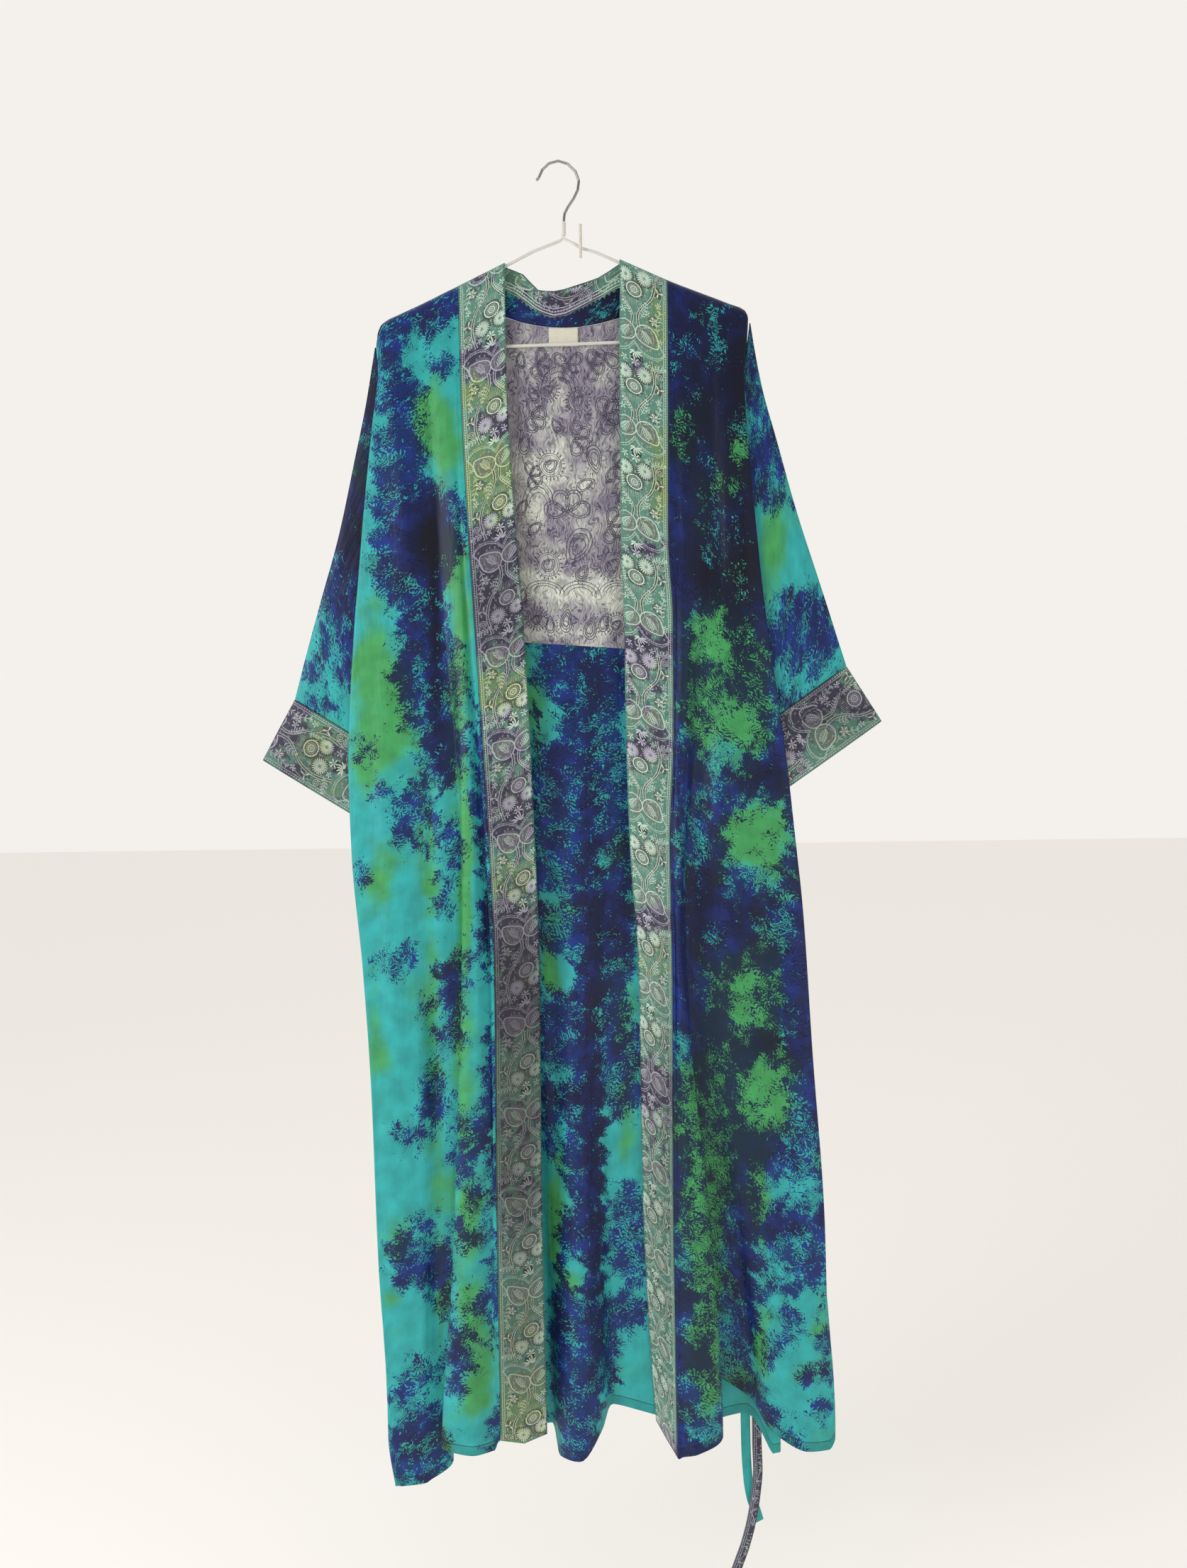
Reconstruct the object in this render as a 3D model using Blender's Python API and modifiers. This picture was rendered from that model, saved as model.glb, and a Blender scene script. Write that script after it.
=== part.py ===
"""Long open kimono robe hanging on a wire hanger, whose arm rests on a small wall hook.

Frame: the origin is the wall hook's root, on the wall plane. +X runs to the viewer's right,
+Z up, and the wall is the plane Y = 0 with the robe in front of it, at negative Y.
The tables are in millimetres. "drop" is a distance below the wall hook and "depth" a distance
in front of the wall, so a point of a table is (x, -depth, -drop). Right and left in a name are
the wearer's, so the right front hangs at negative X.
"""
import math

import bpy
import numpy as np

MM = 0.001

# Cloth
CLOTH = 1.2                     # wall of every cloth piece
SEAM = 0.3                      # gap between two pieces at a seam
STACK = CLOTH + SEAM            # middle of one layer to the middle of the layer on it
SLEEVE_MID = 17.5               # depth halfway between a sleeve's two layers
SLEEVE_PUFF = 5.0               # each sleeve layer stands this far from the middle

# Hanger and wall hook
WIRE_RADIUS = 1.9
WIRE_DEPTH = 16.5
HOOK_WIRE_RADIUS = 1.6
WALL_HOOK_RADIUS = 1.75
WALL_HOOK_REACH = 24.0
WALL_HOOK_HEIGHT = 28.5
ARM_SLOPE = 0.474
RIDGE_LIFT = (WIRE_RADIUS + SEAM + CLOTH / 2) * math.hypot(1.0, ARM_SLOPE) + 0.1
RIDGE_ROUND = 9.0               # the cloth bends over the arm within this drop
RIDGE_GAP = 0.4                 # front and back edges stand this far from the ridge line
NECK_GAP = 0.9                  # the back's neck edge stands this far from the neck band's
NECK_SPREAD = 5.0               # below the neck the lines of the cloth stand at least this far apart
NECK_FADE = 40.0                # and reach that spread within this drop

# The hanger's wire, seen from the front: x and drop. It starts at the neck, runs down the arm
# at negative X, round that tip, along the bar, round the other tip and up the other arm.
HANGER_LEFT_ARM = ((-24.0, -12.6), (-55.8, -0.6), (-87.6, 15.3), (-214.0, 75.2))
HANGER_LEFT_TIP = (-214.0, 94.0, 17.0)        # x, drop and radius of the tip's bend
HANGER_RIGHT_TIP = (178.0, 84.5, 16.5)
HANGER_RIGHT_ARM = ((178.0, 66.9), (118.0, 44.2), (100.0, 37.0), (45.8, 13.1), (17.9, 1.0),
                    (0.0, -4.3), (-7.0, -8.8))
HANGER_NECK_TOP = (-20.5, -15.6)

# The steel hook: x and drop, from the stem up and over to its open end.
STEM = (-19.2, -34.0)
HOOK_POINTS = ((-19.0, -38.0), (-18.2, -43.5), (-14.2, -51.0), (-7.4, -60.6), (-2.6, -70.0),
               (-1.1, -80.5), (-5.0, -91.4), (-14.0, -100.0), (-25.1, -103.3), (-35.6, -100.6),
               (-43.6, -93.4), (-47.8, -84.4), (-50.6, -81.6))

# The line where the cloth bends over the arms: x and drop beyond the arms' straight part.
RIDGE_LEFT = ((-243.0, 108.0), (-239.2, 98.5), (-233.5, 86.4), (-229.0, 80.5), (-222.7, 75.8))
RIDGE_RIGHT = ((185.0, 66.1), (191.9, 70.3), (196.6, 77.0), (198.6, 84.0))

# Front bands: drop, then x and depth of the outer (sewn) edge and of the inner edge.
BAND_RIGHT = (
    (40, -143.5, 23.0, -89.0, 23.0),
    (130, -143.0, 25.0, -89.0, 25.0),
    (300, -138.0, 29.0, -82.0, 29.0),
    (420, -132.0, 31.0, -74.0, 31.0),
    (640, -121.0, 35.0, -65.0, 35.0),
    (850, -114.5, 38.0, -60.0, 38.0),
    (1140, -116.5, 43.0, -61.0, 42.0),
    (1440, -116.0, 47.0, -59.0, 44.0),
)
BAND_LEFT = (
    (40, 101.0, 23.0, 45.5, 23.0),
    (130, 101.0, 25.0, 44.0, 25.0),
    (340, 99.5, 29.0, 43.5, 29.0),
    (430, 104.0, 31.0, 46.0, 31.0),
    (560, 104.0, 33.0, 47.0, 31.5),
    (700, 98.5, 36.0, 50.5, 28.0),
    (850, 100.0, 41.0, 60.0, 20.0),
    (1140, 99.0, 47.0, 63.0, 16.0),
    (1300, 100.0, 50.0, 69.0, 15.0),
    (1470, 101.0, 53.0, 80.0, 14.0),
)
BAND_RIGHT_HEM = (1434.0, 1439.0, 1428.0)     # drop at the outer edge, the middle, the inner edge
BAND_LEFT_HEM = (1455.0, 1445.0, 1432.0)

# Back neck band, from the ridge on the right shoulder round to the left one.
# x, drop and depth of its free top edge, then of the edge sewn to the back.
NECK_STATIONS = (
    (-87.4, 15.0, 12.0, -143.2, 41.4, 12.0),
    (-86.0, 16.2, 10.4, -139.5, 50.5, 8.4),
    (-83.0, 17.2, 10.2, -126.0, 59.0, 8.0),
    (-77.0, 19.5, 10.2, -108.0, 66.0, 8.0),
    (-68.0, 23.5, 10.4, -88.0, 72.0, 8.0),
    (-59.0, 33.0, 10.8, -72.0, 77.5, 8.0),
    (-50.5, 41.5, 11.0, -56.0, 81.0, 8.0),
    (-42.0, 42.7, 11.0, -46.0, 82.6, 8.0),
    (-32.0, 43.0, 11.0, -34.0, 83.8, 8.0),
    (-20.0, 40.8, 11.0, -18.0, 84.3, 8.0),
    (-6.0, 36.5, 10.8, -2.0, 83.5, 8.0),
    (8.0, 32.2, 10.6, 12.0, 81.2, 8.0),
    (20.0, 28.0, 10.4, 24.0, 79.0, 8.0),
    (33.0, 20.5, 10.2, 46.0, 73.5, 8.0),
    (39.0, 16.5, 10.2, 68.0, 65.5, 8.0),
    (42.5, 14.2, 10.2, 86.0, 56.5, 8.0),
    (44.2, 13.2, 10.4, 97.5, 46.0, 8.4),
    (45.6, 11.9, 12.0, 101.0, 37.0, 12.0),
)

# Front panels. A row of COLUMNS is a line of the cloth from the band to the side seam:
# its place across the cloth, its depth at the top edge, and its drop at the hem.
# A row of SECTIONS is a level cut through the panel: drop, then x and depth of each line.
FRONT_RIGHT_COLUMNS = {
    "valley": (0.10, WIRE_DEPTH + RIDGE_GAP, 1446),
    "crest": (0.20, WIRE_DEPTH + RIDGE_GAP, 1443),
    "lip": (0.30, WIRE_DEPTH + RIDGE_GAP, 1440),
    "recess": (0.38, WIRE_DEPTH + RIDGE_GAP, 1478),
    "rise": (0.45, WIRE_DEPTH + RIDGE_GAP, 1496),
    "field": (0.62, WIRE_DEPTH + RIDGE_GAP, 1501),
    "outline": (0.80, WIRE_DEPTH + RIDGE_GAP, 1503),
    "under": (0.83, 18.5, 1502.5),
    "deep": (0.97, 19.8, 1504),
    "seam": (1.00, 20.4, 1504),
}
FRONT_RIGHT_SECTIONS = (
    (40, (-151, 22.5), (-158, 23), (-166, 23), (-178, 22.5), (-187, 22), (-206, 22),
     (-231, 20.5), (-237, 20.5), (-240.5, 20.5), (-242.5, 20.5)),
    (110, (-151, 24.5), (-159, 25), (-167, 25), (-179, 25), (-188, 25), (-210, 25.5),
     (-234.5, 25.6), (-238.2, 25), (-240.2, 24.1), (-240.8, 22.8)),
    (200, (-149, 26.5), (-160, 28), (-168, 28), (-180, 26.5), (-190, 27.5), (-214, 30.5),
     (-246.5, 28.3), (-241, 25.5), (-230, 25.2), (-223.5, 24.2)),
    (300, (-146, 27), (-152, 30), (-160, 29.5), (-173, 27.5), (-186, 28.5), (-219, 31.5),
     (-259, 28.8), (-251, 25.6), (-216, 25.3), (-205.6, 24.2)),
    (385, (-142, 28.5), (-148, 33), (-156, 31.5), (-170, 27.5), (-184, 28.5), (-222, 31.5),
     (-268, 29), (-260, 25.6), (-200, 25.2), (-190, 22.2)),
    (430, (-140, 29), (-146, 34.5), (-155, 32.5), (-168, 27), (-182, 28.5), (-223, 31.5),
     (-273, 29), (-265, 25.6), (-186, 25.2), (-176, 18.2)),
    (620, (-130, 30), (-140, 40), (-150, 36), (-156, 25), (-176, 28), (-225, 31.5),
     (-285, 29), (-277, 25.6), (-186, 25.2), (-176, 18.2)),
    (710, (-126, 31), (-138, 43), (-150, 38), (-153, 22), (-178, 27.5), (-225, 31.5),
     (-283.5, 29), (-276, 25.6), (-198, 25), (-188, 18.2)),
    (850, (-121, 34), (-136, 47), (-153, 40), (-155, 20), (-183, 26), (-219, 30.5),
     (-273.5, 29), (-267, 25.4), (-231, 24), (-222, 18.2)),
    (1000, (-120, 38), (-139, 51), (-160, 42), (-161, 20), (-189, 25), (-216, 30),
     (-267, 29), (-262, 25.2), (-248, 23.5), (-240, 18.2)),
    (1211, (-123, 43), (-146, 56), (-171, 46), (-168, 19.5), (-196, 25), (-216, 29.5),
     (-264, 28.5), (-262.5, 25.8), (-260, 23.4), (-257.5, 20)),
    (1440, (-125, 48), (-152, 62), (-188, 50), (-178, 19.5), (-203, 24), (-217, 27.5),
     (-250, 28.6), (-253, 28.2), (-256.5, 27.2), (-258, 26.2)),
    (1510, (-125, 48), (-152, 62), (-189, 50), (-180, 19.5), (-203, 24), (-214, 27),
     (-243, 28.6), (-246, 28.2), (-248.5, 27.4), (-249.5, 26.6)),
)
FRONT_LEFT_COLUMNS = {
    "valley": (0.08, WIRE_DEPTH + RIDGE_GAP, 1454),
    "crest": (0.16, WIRE_DEPTH + RIDGE_GAP, 1446),
    "lip": (0.26, WIRE_DEPTH + RIDGE_GAP, 1430),
    "recess": (0.34, WIRE_DEPTH + RIDGE_GAP, 1372),
    "basin": (0.44, WIRE_DEPTH + RIDGE_GAP, 1405),
    "lip2": (0.54, WIRE_DEPTH + RIDGE_GAP, 1437),
    "field": (0.66, WIRE_DEPTH + RIDGE_GAP, 1461),
    "outline": (0.80, WIRE_DEPTH + RIDGE_GAP, 1463),
    "under": (0.83, 18.5, 1462),
    "deep": (0.97, 20.0, 1456),
    "seam": (1.00, 20.6, 1451),
}
FRONT_LEFT_SECTIONS = (
    (40, (108, 22.5), (115, 23), (123, 23), (133, 22.5), (146, 22), (158, 22), (172, 22),
     (186, 21.6), (191, 21.4), (195, 21.2), (197.4, 21)),
    (110, (108, 24.5), (117, 25), (125, 25), (135, 25), (148, 25), (160, 25.5), (172, 26),
     (188, 25.8), (191.3, 25.1), (193.2, 23.8), (193.6, 22.2)),
    (200, (108, 27), (119, 28.5), (129, 28), (139, 26.5), (150, 27.5), (162, 29.5), (174, 30.5),
     (192, 28.5), (188, 25.6), (182, 25.2), (177.5, 24.2)),
    (300, (108, 27.5), (121, 30), (132, 29), (142, 27.5), (152, 28.5), (164, 30.5), (181, 31.5),
     (201, 28.8), (194, 25.6), (172, 25.3), (165, 24.2)),
    (385, (108.5, 29), (120, 32), (132, 30), (143, 27.5), (153, 28.5), (166, 30.5), (187, 31.5),
     (209.5, 29), (201, 25.6), (162, 25.2), (154, 22.2)),
    (430, (108.5, 30), (119, 33), (130, 30.5), (141, 27.5), (153, 28.5), (168, 31), (191, 31.5),
     (215, 29), (207, 25.6), (151, 25.2), (141, 18.2)),
    (600, (106, 35), (112, 37), (120, 34), (130, 28.5), (147, 28.5), (172, 31), (208, 31.5),
     (239, 29), (230, 25.6), (151, 25.2), (141, 18.2)),
    (690, (103, 37), (108, 39), (114, 36), (122, 28.5), (145, 28), (174, 30.5), (213, 31.5),
     (249, 29), (241, 25.6), (178, 25), (168, 18.2)),
    (780, (103, 39), (107, 42), (112, 38), (117, 26), (143, 25), (176, 28.5), (217, 31.5),
     (258.5, 29), (250, 25.4), (209, 24.4), (200, 18.2)),
    (950, (104, 44), (111, 50), (122, 42), (123, 23), (150, 20), (182, 25.5), (226, 32),
     (270, 29), (264, 25.2), (241, 24), (234, 18.2)),
    (1190, (105, 50), (121, 57), (145, 47), (144, 21), (175, 17), (197, 28), (240, 34),
     (286.5, 29.5), (285, 27), (282.5, 24.4), (279.5, 20.5)),
    (1440, (107, 55), (126, 62), (157, 50), (156, 20), (199, 15), (220, 30), (262, 37),
     (291, 31.5), (294, 31), (298, 30), (300, 28.8)),
    (1480, (107, 55), (126, 62), (157, 50), (156, 20), (200, 15), (222, 30), (262, 37),
     (290, 31.5), (293, 31), (297, 30), (299, 28.8)),
)

# Back panel, from the side seam at negative X round to the other one.
BACK_COLUMNS = {
    "seam_r": (-0.16, 13.2, 1486),
    "deep_r": (-0.13, 13.2, 1487),
    "under_r": (-0.03, 13.8, 1488),
    "outline_r": (0.00, WIRE_DEPTH - RIDGE_GAP, 1489),
    "field_r": (None, WIRE_DEPTH - RIDGE_GAP, 1458),
    "fold_r": (None, WIRE_DEPTH - RIDGE_GAP, 1446),
    "gap_r": (None, 8.0, 1436),
    "rise_r": (None, 8.0, 1468),
    "crest": (None, 8.0, 1465),
    "rise_l": (None, 8.0, 1437),
    "gap_l": (None, 8.0, 1413),
    "fold_l": (None, WIRE_DEPTH - RIDGE_GAP, 1436),
    "field_l": (None, WIRE_DEPTH - RIDGE_GAP, 1427),
    "outline_l": (1.00, WIRE_DEPTH - RIDGE_GAP, 1482),
    "under_l": (1.03, 13.8, 1481),
    "deep_l": (1.13, 13.2, 1480),
    "seam_l": (1.16, 13.2, 1479),
}
BACK_SECTIONS = (
    (40, (-243, 12.2), (-241.5, 12), (-238, 11), (-231, 9.5), (-190, 9), (-143.6, 8.2), (-80, 8),
     (-48, 8), (-20, 8), (8, 8), (45, 8), (101.4, 8.2), (145, 9), (190, 10),
     (193.5, 11), (196, 12), (197.2, 12.2)),
    (110, (-240.2, 13.2), (-241.2, 12.2), (-241, 10.6), (-238.6, 8.7), (-190, 8), (-143.6, 8), (-80, 8),
     (-48, 8), (-20, 8), (8, 8), (45, 8), (101.4, 8), (145, 8), (190, 8.5),
     (191.8, 10.4), (193.2, 11.4), (193.0, 12.4)),
    (200, (-223.5, 10.9), (-230, 10.5), (-237, 10.4), (-243, 7.6), (-192, 8), (-143.5, 8), (-80, 8),
     (-48, 8), (-20, 8), (8, 8), (45, 8), (101.4, 8), (145, 8), (189, 7.6),
     (186, 10.4), (182, 10.5), (177.5, 10.9)),
    (300, (-205.6, 10.9), (-216, 10.5), (-246, 10.4), (-254, 7.6), (-196, 8), (-143.5, 8), (-80, 8),
     (-48, 8), (-20, 8), (8, 8), (45, 8), (101.5, 8), (148, 8), (197, 7.6),
     (190, 10.4), (172, 10.5), (165, 10.9)),
    (385, (-190, 12.9), (-200, 10.5), (-256, 10.4), (-263, 7.6), (-200, 8), (-143, 8), (-80, 8),
     (-48, 8), (-20, 8), (8, 8), (45, 8), (102, 8), (152, 8), (205, 7.6),
     (197, 10.4), (162, 10.5), (154, 12.9)),
    (430, (-176, 16.8), (-186, 10.5), (-260, 10.4), (-267, 7.6), (-202, 8), (-143, 8.2), (-81, 8),
     (-48, 8), (-20, 8.2), (8, 8), (45, 8), (102, 8.2), (155, 8), (210, 7.6),
     (202, 10.4), (151, 10.5), (141, 16.8)),
    (620, (-176, 16.8), (-186, 10.5), (-270, 10.4), (-278, 7.6), (-206, 8), (-141, 9.5), (-84, 8),
     (-50, 8.5), (-20, 10), (8, 8.5), (45, 8), (105, 9.5), (168, 8), (236, 7.6),
     (228, 10.4), (151, 10.5), (141, 16.8)),
    (710, (-188, 16.8), (-198, 10.4), (-269, 10.4), (-277, 7.6), (-206, 8), (-140, 11), (-84, 8),
     (-49, 9), (-20, 12.5), (8, 9.2), (44, 8), (107, 11), (176, 8), (246, 7.6),
     (238, 10.4), (184, 10.4), (174, 16.8)),
    (850, (-222, 16.8), (-231, 11), (-260, 10.4), (-267, 7.6), (-206, 8), (-140, 13), (-84, 8),
     (-48, 11), (-20, 18), (8, 11.5), (42, 8), (114, 11), (184, 8), (257, 7.6),
     (250, 10.4), (226, 11), (217, 16.8)),
    (1000, (-240, 16.8), (-248, 11.5), (-255, 10), (-261, 7.8), (-206, 8), (-140, 15.5), (-74, 8),
     (-47, 13.5), (-19, 25), (8, 14), (36, 8), (118, 11.5), (192, 8), (266, 7.8),
     (262, 10), (250, 11.5), (243, 16.8)),
    (1200, (-254, 15.5), (-257, 12), (-259, 10), (-260, 8), (-205, 8), (-141, 19.5), (-64, 8),
     (-45, 19), (-18, 34), (8, 19), (30, 8), (124, 12), (198, 8), (281, 8),
     (280, 10), (278, 12), (276, 15)),
    (1440, (-245, 9.5), (-243.5, 9), (-239, 8.4), (-236, 8.2), (-200, 8), (-142, 24), (-54, 8),
     (-43, 26), (-17, 43), (8, 26), (23, 8), (128, 12), (190, 8), (226, 8.2),
     (229, 8.4), (233.5, 9), (235, 9.5)),
    (1490, (-243, 9.5), (-241.5, 9), (-237, 8.4), (-234, 8.2), (-197, 8), (-142, 24), (-53, 8),
     (-43, 27), (-17, 44), (8, 26), (23, 8), (128, 12), (188, 8), (226, 8.2),
     (229, 8.4), (233.5, 9), (235, 9.5)),
)

# Yoke: the panel inside the back. drop, then x of its two side edges.
YOKE_SIDES = ((90, -222, 180), (110, -224, 180), (250, -205, 162), (393, -181, 143), (470, -167, 132))
YOKE_HEM_DROP = 459.0           # at the middle of the back neck
YOKE_HEM_SLOPE = 0.055          # the hem hangs lower to positive X
YOKE_SHOULDER_DROP = 15.0       # it ends this far below the ridge, clear of the hanger's wire
YOKE_NECK_LAP = 1.0             # and this far below the neck band's sewn edge

LABEL_WIDTH = 35.0
LABEL_HEIGHT = 21.5
LABEL_CENTRE = (-21.5, 96.0)    # x and drop
LABEL_WALL = 1.0

# Sleeves: a flattened tube of rings. x and drop of a ring's upper edge, then of its lower edge.
SLEEVE_RIGHT_RINGS = (
    (-243, 108, -192, 393),
    (-256, 177, -192, 425),
    (-270, 237, -192, 456),
    (-291, 325, -192, 502),
    (-315, 404, -192, 548),
    (-336, 474, -192, 590),
    (-349, 520, -192, 619),
)
CUFF_RIGHT_RINGS = ((-349, 520, -192, 619), (-370, 557, -212.5, 656), (-390, 593, -233, 692))
SLEEVE_LEFT_RINGS = (
    (198.5, 84, 156, 397),
    (203.5, 115, 156, 414),
    (213, 162, 156, 434),
    (230, 222, 156, 462),
    (252, 300, 157, 500),
    (284, 398, 158, 548),
    (313, 488, 160.5, 594),
)
CUFF_LEFT_RINGS = ((313, 488, 160.5, 594), (334.5, 521.5, 182, 627.5), (356, 555, 203.5, 661))
CUFF_GAP = 0.7                  # the cuff's path turns at its seam, so its gap is wider
RING_SIDES = 20
RING_FLATNESS = 0.35            # 0.5 is an ellipse, and less is a flatter tube

# Belt: one strip folded in half along its length, hung through a carrier on the back.
BELT_WIDTH = 12.0
BELT_WALL = 1.6
BELT_TURN = (199.0, 552.0, 10.0)              # x, drop and radius of the turn in the carrier
BELT_DEPTH = 4.4
# x, drop, depth and turn (degrees) of each tail below its last hidden stretch.
TAIL_TEAL = ((190.5, 700, 4.4, 0), (190.5, 1100, 3.8, 0), (191.0, 1420, 3.4, 0), (192.0, 1480, 3.2, 10),
             (194.5, 1520, 3.2, 15), (199.0, 1546, 3.2, 15), (204.5, 1561, 3.2, 15), (208.5, 1575, 3.2, 15))
TAIL_BROCADE = ((207.5, 700, 4.4, 0), (207.5, 1100, 3.8, 0), (205.5, 1400, 3.8, 0), (205.5, 1466, 4.6, 0),
                (206.0, 1500, 9.5, 20), (203.5, 1530, 11.5, 35), (198.0, 1566, 11.5, 35),
                (190.0, 1600, 10.5, 35), (181.5, 1626, 9.5, 30), (172.0, 1652, 9.5, 25))
CARRIER_X = 199.0
CARRIER_TOP = 526.0
CARRIER_BOTTOM = 568.0
CARRIER_WIDTH = 5.0

# Rows of the grids, as a share of the way from a panel's top edge to its hem.
ROW_STARTS = (0.0, 1.0, 4.0, RIDGE_ROUND)     # the first rows, by drop below the top edge
LOWER_ROWS = (0.045, 0.09, 0.145, 0.20, 0.232, 0.28, 0.33, 0.368, 0.43, 0.49, 0.53, 0.59, 0.64,
              0.70, 0.76, 0.82, 0.88, 0.94, 1.0)

COLOURS = {
    # linear base colour, roughness, metallic
    "front_right": ((0.05, 0.36, 0.34), 0.55, 0.0),
    "front_left": ((0.02, 0.10, 0.20), 0.55, 0.0),
    "back": ((0.02, 0.12, 0.22), 0.55, 0.0),
    "yoke": ((0.30, 0.27, 0.35), 0.6, 0.0),
    "band": ((0.22, 0.30, 0.28), 0.5, 0.0),
    "sleeve": ((0.03, 0.20, 0.30), 0.55, 0.0),
    "cuff": ((0.14, 0.15, 0.20), 0.5, 0.0),
    "label": ((0.80, 0.78, 0.70), 0.7, 0.0),
    "belt": ((0.06, 0.28, 0.26), 0.55, 0.0),
    "coated_wire": ((0.86, 0.86, 0.84), 0.4, 0.0),
    "steel_wire": ((0.45, 0.45, 0.44), 0.35, 1.0),
    "wall_hook": ((0.74, 0.71, 0.62), 0.5, 0.0),
}


def clear_scene():
    """Remove what the new scene came with."""
    for thing in list(bpy.data.objects):
        bpy.data.objects.remove(thing, do_unlink=True)


def material(name):
    """Plain finish of one kind of piece, made once."""
    if name in bpy.data.materials:
        return bpy.data.materials[name]
    colour, roughness, metallic = COLOURS[name]
    made = bpy.data.materials.new(name)
    made.use_nodes = True
    shader = made.node_tree.nodes["Principled BSDF"]
    shader.inputs["Base Color"].default_value = (*colour, 1.0)
    shader.inputs["Roughness"].default_value = roughness
    shader.inputs["Metallic"].default_value = metallic
    return made


def smooth(knots, values, at):
    """Cubic curves through the rows of values, one a column, which never run past the values."""
    knots = np.asarray(knots, float)
    values = np.asarray(values, float)
    step = np.diff(knots)
    slope = np.diff(values, axis=0) / step[:, None]
    before, after = slope[:-1], slope[1:]
    weight_before = (step[1:] * 2.0 + step[:-1])[:, None]
    weight_after = (step[1:] + step[:-1] * 2.0)[:, None]
    same_way = before * after > 0.0
    safe_before = np.where(same_way, before, 1.0)
    safe_after = np.where(same_way, after, 1.0)
    mean = (weight_before + weight_after) / (weight_before / safe_before + weight_after / safe_after)
    tangent = np.vstack([slope[:1], np.where(same_way, mean, 0.0), slope[-1:]])
    at = np.asarray(at, float)
    if at.ndim == 1:
        at = np.repeat(at[:, None], values.shape[1], axis=1)
    at = np.clip(at, knots[0], knots[-1])
    row = np.clip(np.searchsorted(knots, at, side="right") - 1, 0, len(step) - 1)
    column = np.arange(values.shape[1])[None, :]
    width = step[row]
    t = (at - knots[row]) / width
    start = (2 * t ** 3 - 3 * t ** 2 + 1) * values[row, column]
    leave = (t ** 3 - 2 * t ** 2 + t) * width * tangent[row, column]
    end = (3 * t ** 2 - 2 * t ** 3) * values[row + 1, column]
    arrive = (t ** 3 - t ** 2) * width * tangent[row + 1, column]
    return start + leave + end + arrive


def ridge_drop(x):
    """Drop of the line where the cloth lies over the hanger's arms."""
    line = list(RIDGE_LEFT)
    arms = [HANGER_LEFT_ARM[3], HANGER_LEFT_ARM[2]]
    arms.extend(reversed(HANGER_RIGHT_ARM[:4]))
    for arm_x, arm_drop in arms:
        line.append((arm_x, arm_drop - RIDGE_LIFT))
    line.extend(RIDGE_RIGHT)
    return np.interp(x, [p[0] for p in line], [p[1] for p in line])


def over_the_arm(depth, top_depth, below_top):
    """Bend a sheet over the hanger's arm: a quarter circle in the first drop below its top."""
    fall = np.clip(below_top / RIDGE_ROUND, 0.0, 1.0)
    return top_depth + (depth - top_depth) * np.sqrt(1.0 - (1.0 - fall) ** 2)


def band_edges(table, drop):
    """x and depth of a front band's outer and inner edge at each drop."""
    rows = np.array(table, float)
    return smooth(rows[:, 0], rows[:, 1:], drop)


def band_grid(table, hem_drops, columns=3):
    """Points of a front band, from the shoulder ridge to the hem, outer edge first."""
    across = np.linspace(0.0, 1.0, columns + 1)
    top_x = table[0][1] + (table[0][3] - table[0][1]) * across
    top = ridge_drop(top_x)
    hem = np.interp(across, (0.0, 0.5, 1.0), hem_drops)
    drop = rows_between(top, hem)
    points = np.empty(drop.shape + (3,))
    for column, share in enumerate(across):
        edge = band_edges(table, drop[:, column])
        x = edge[:, 0] + (edge[:, 2] - edge[:, 0]) * share
        depth = edge[:, 1] + (edge[:, 3] - edge[:, 1]) * share
        below = drop[:, column] - top[column]
        bent = over_the_arm(depth, WIRE_DEPTH + RIDGE_GAP, below)
        points[:, column] = np.stack([x, bent, drop[:, column]], axis=1)
    return points


def rows_between(top, hem):
    """Drops of the rows of a panel, one column for each line of the cloth."""
    drops = [top + start for start in ROW_STARTS]
    drops.extend(top + (hem - top) * share for share in LOWER_ROWS)
    return np.array(drops)


def split_table(sections):
    """The drops, the x values and the depths of a table of sections."""
    drops = np.array([row[0] for row in sections], float)
    pairs = np.array([row[1:] for row in sections], float)
    return drops, pairs[:, :, 0], pairs[:, :, 1]


def front_grid(columns, sections, band_table, band_hem_drop, across):
    """Points of a front panel. Its first two lines continue the band's own slope."""
    ridge_depth = WIRE_DEPTH + RIDGE_GAP
    rows = [(0.0, ridge_depth, band_hem_drop), (0.03, ridge_depth, band_hem_drop + 1.0)]
    rows.extend(columns.values())
    place, top_depth, hem = np.array(rows, float).T
    across = np.array(across)
    top_depth = np.interp(across, place, top_depth)
    hem = smooth(place, hem[:, None], across)[:, 0]
    first_row = np.full((1, len(across)), float(sections[0][0]))
    top = ridge_drop(front_lines(sections, band_table, place, across, first_row)[0][0])
    drop = rows_between(top, hem)
    x, depth = front_lines(sections, band_table, place, across, drop)
    depth = over_the_arm(depth, top_depth, drop - top)
    return np.stack([x, depth, drop], axis=2)


def front_lines(sections, band_table, place, across, drop):
    """x and depth of a front panel at places across the cloth and at drops."""
    drops, section_x, section_depth = split_table(sections)
    flat = drop.ravel()
    outer_x, outer_depth, inner_x, inner_depth = band_edges(band_table, flat).T
    run_x = outer_x - inner_x
    run_depth = outer_depth - inner_depth
    run = np.hypot(run_x, run_depth)
    found = []
    for table, start, slope in ((section_x, outer_x, run_x / run),
                                (section_depth, outer_depth, run_depth / run)):
        lines = smooth(drops, table, flat)
        lines = np.column_stack([start + slope * SEAM, start + slope * 3.0, lines])
        where = np.tile(across, len(drop))[None, :]
        found.append(smooth(place, lines.T, where)[0].reshape(drop.shape))
    return found


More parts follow.
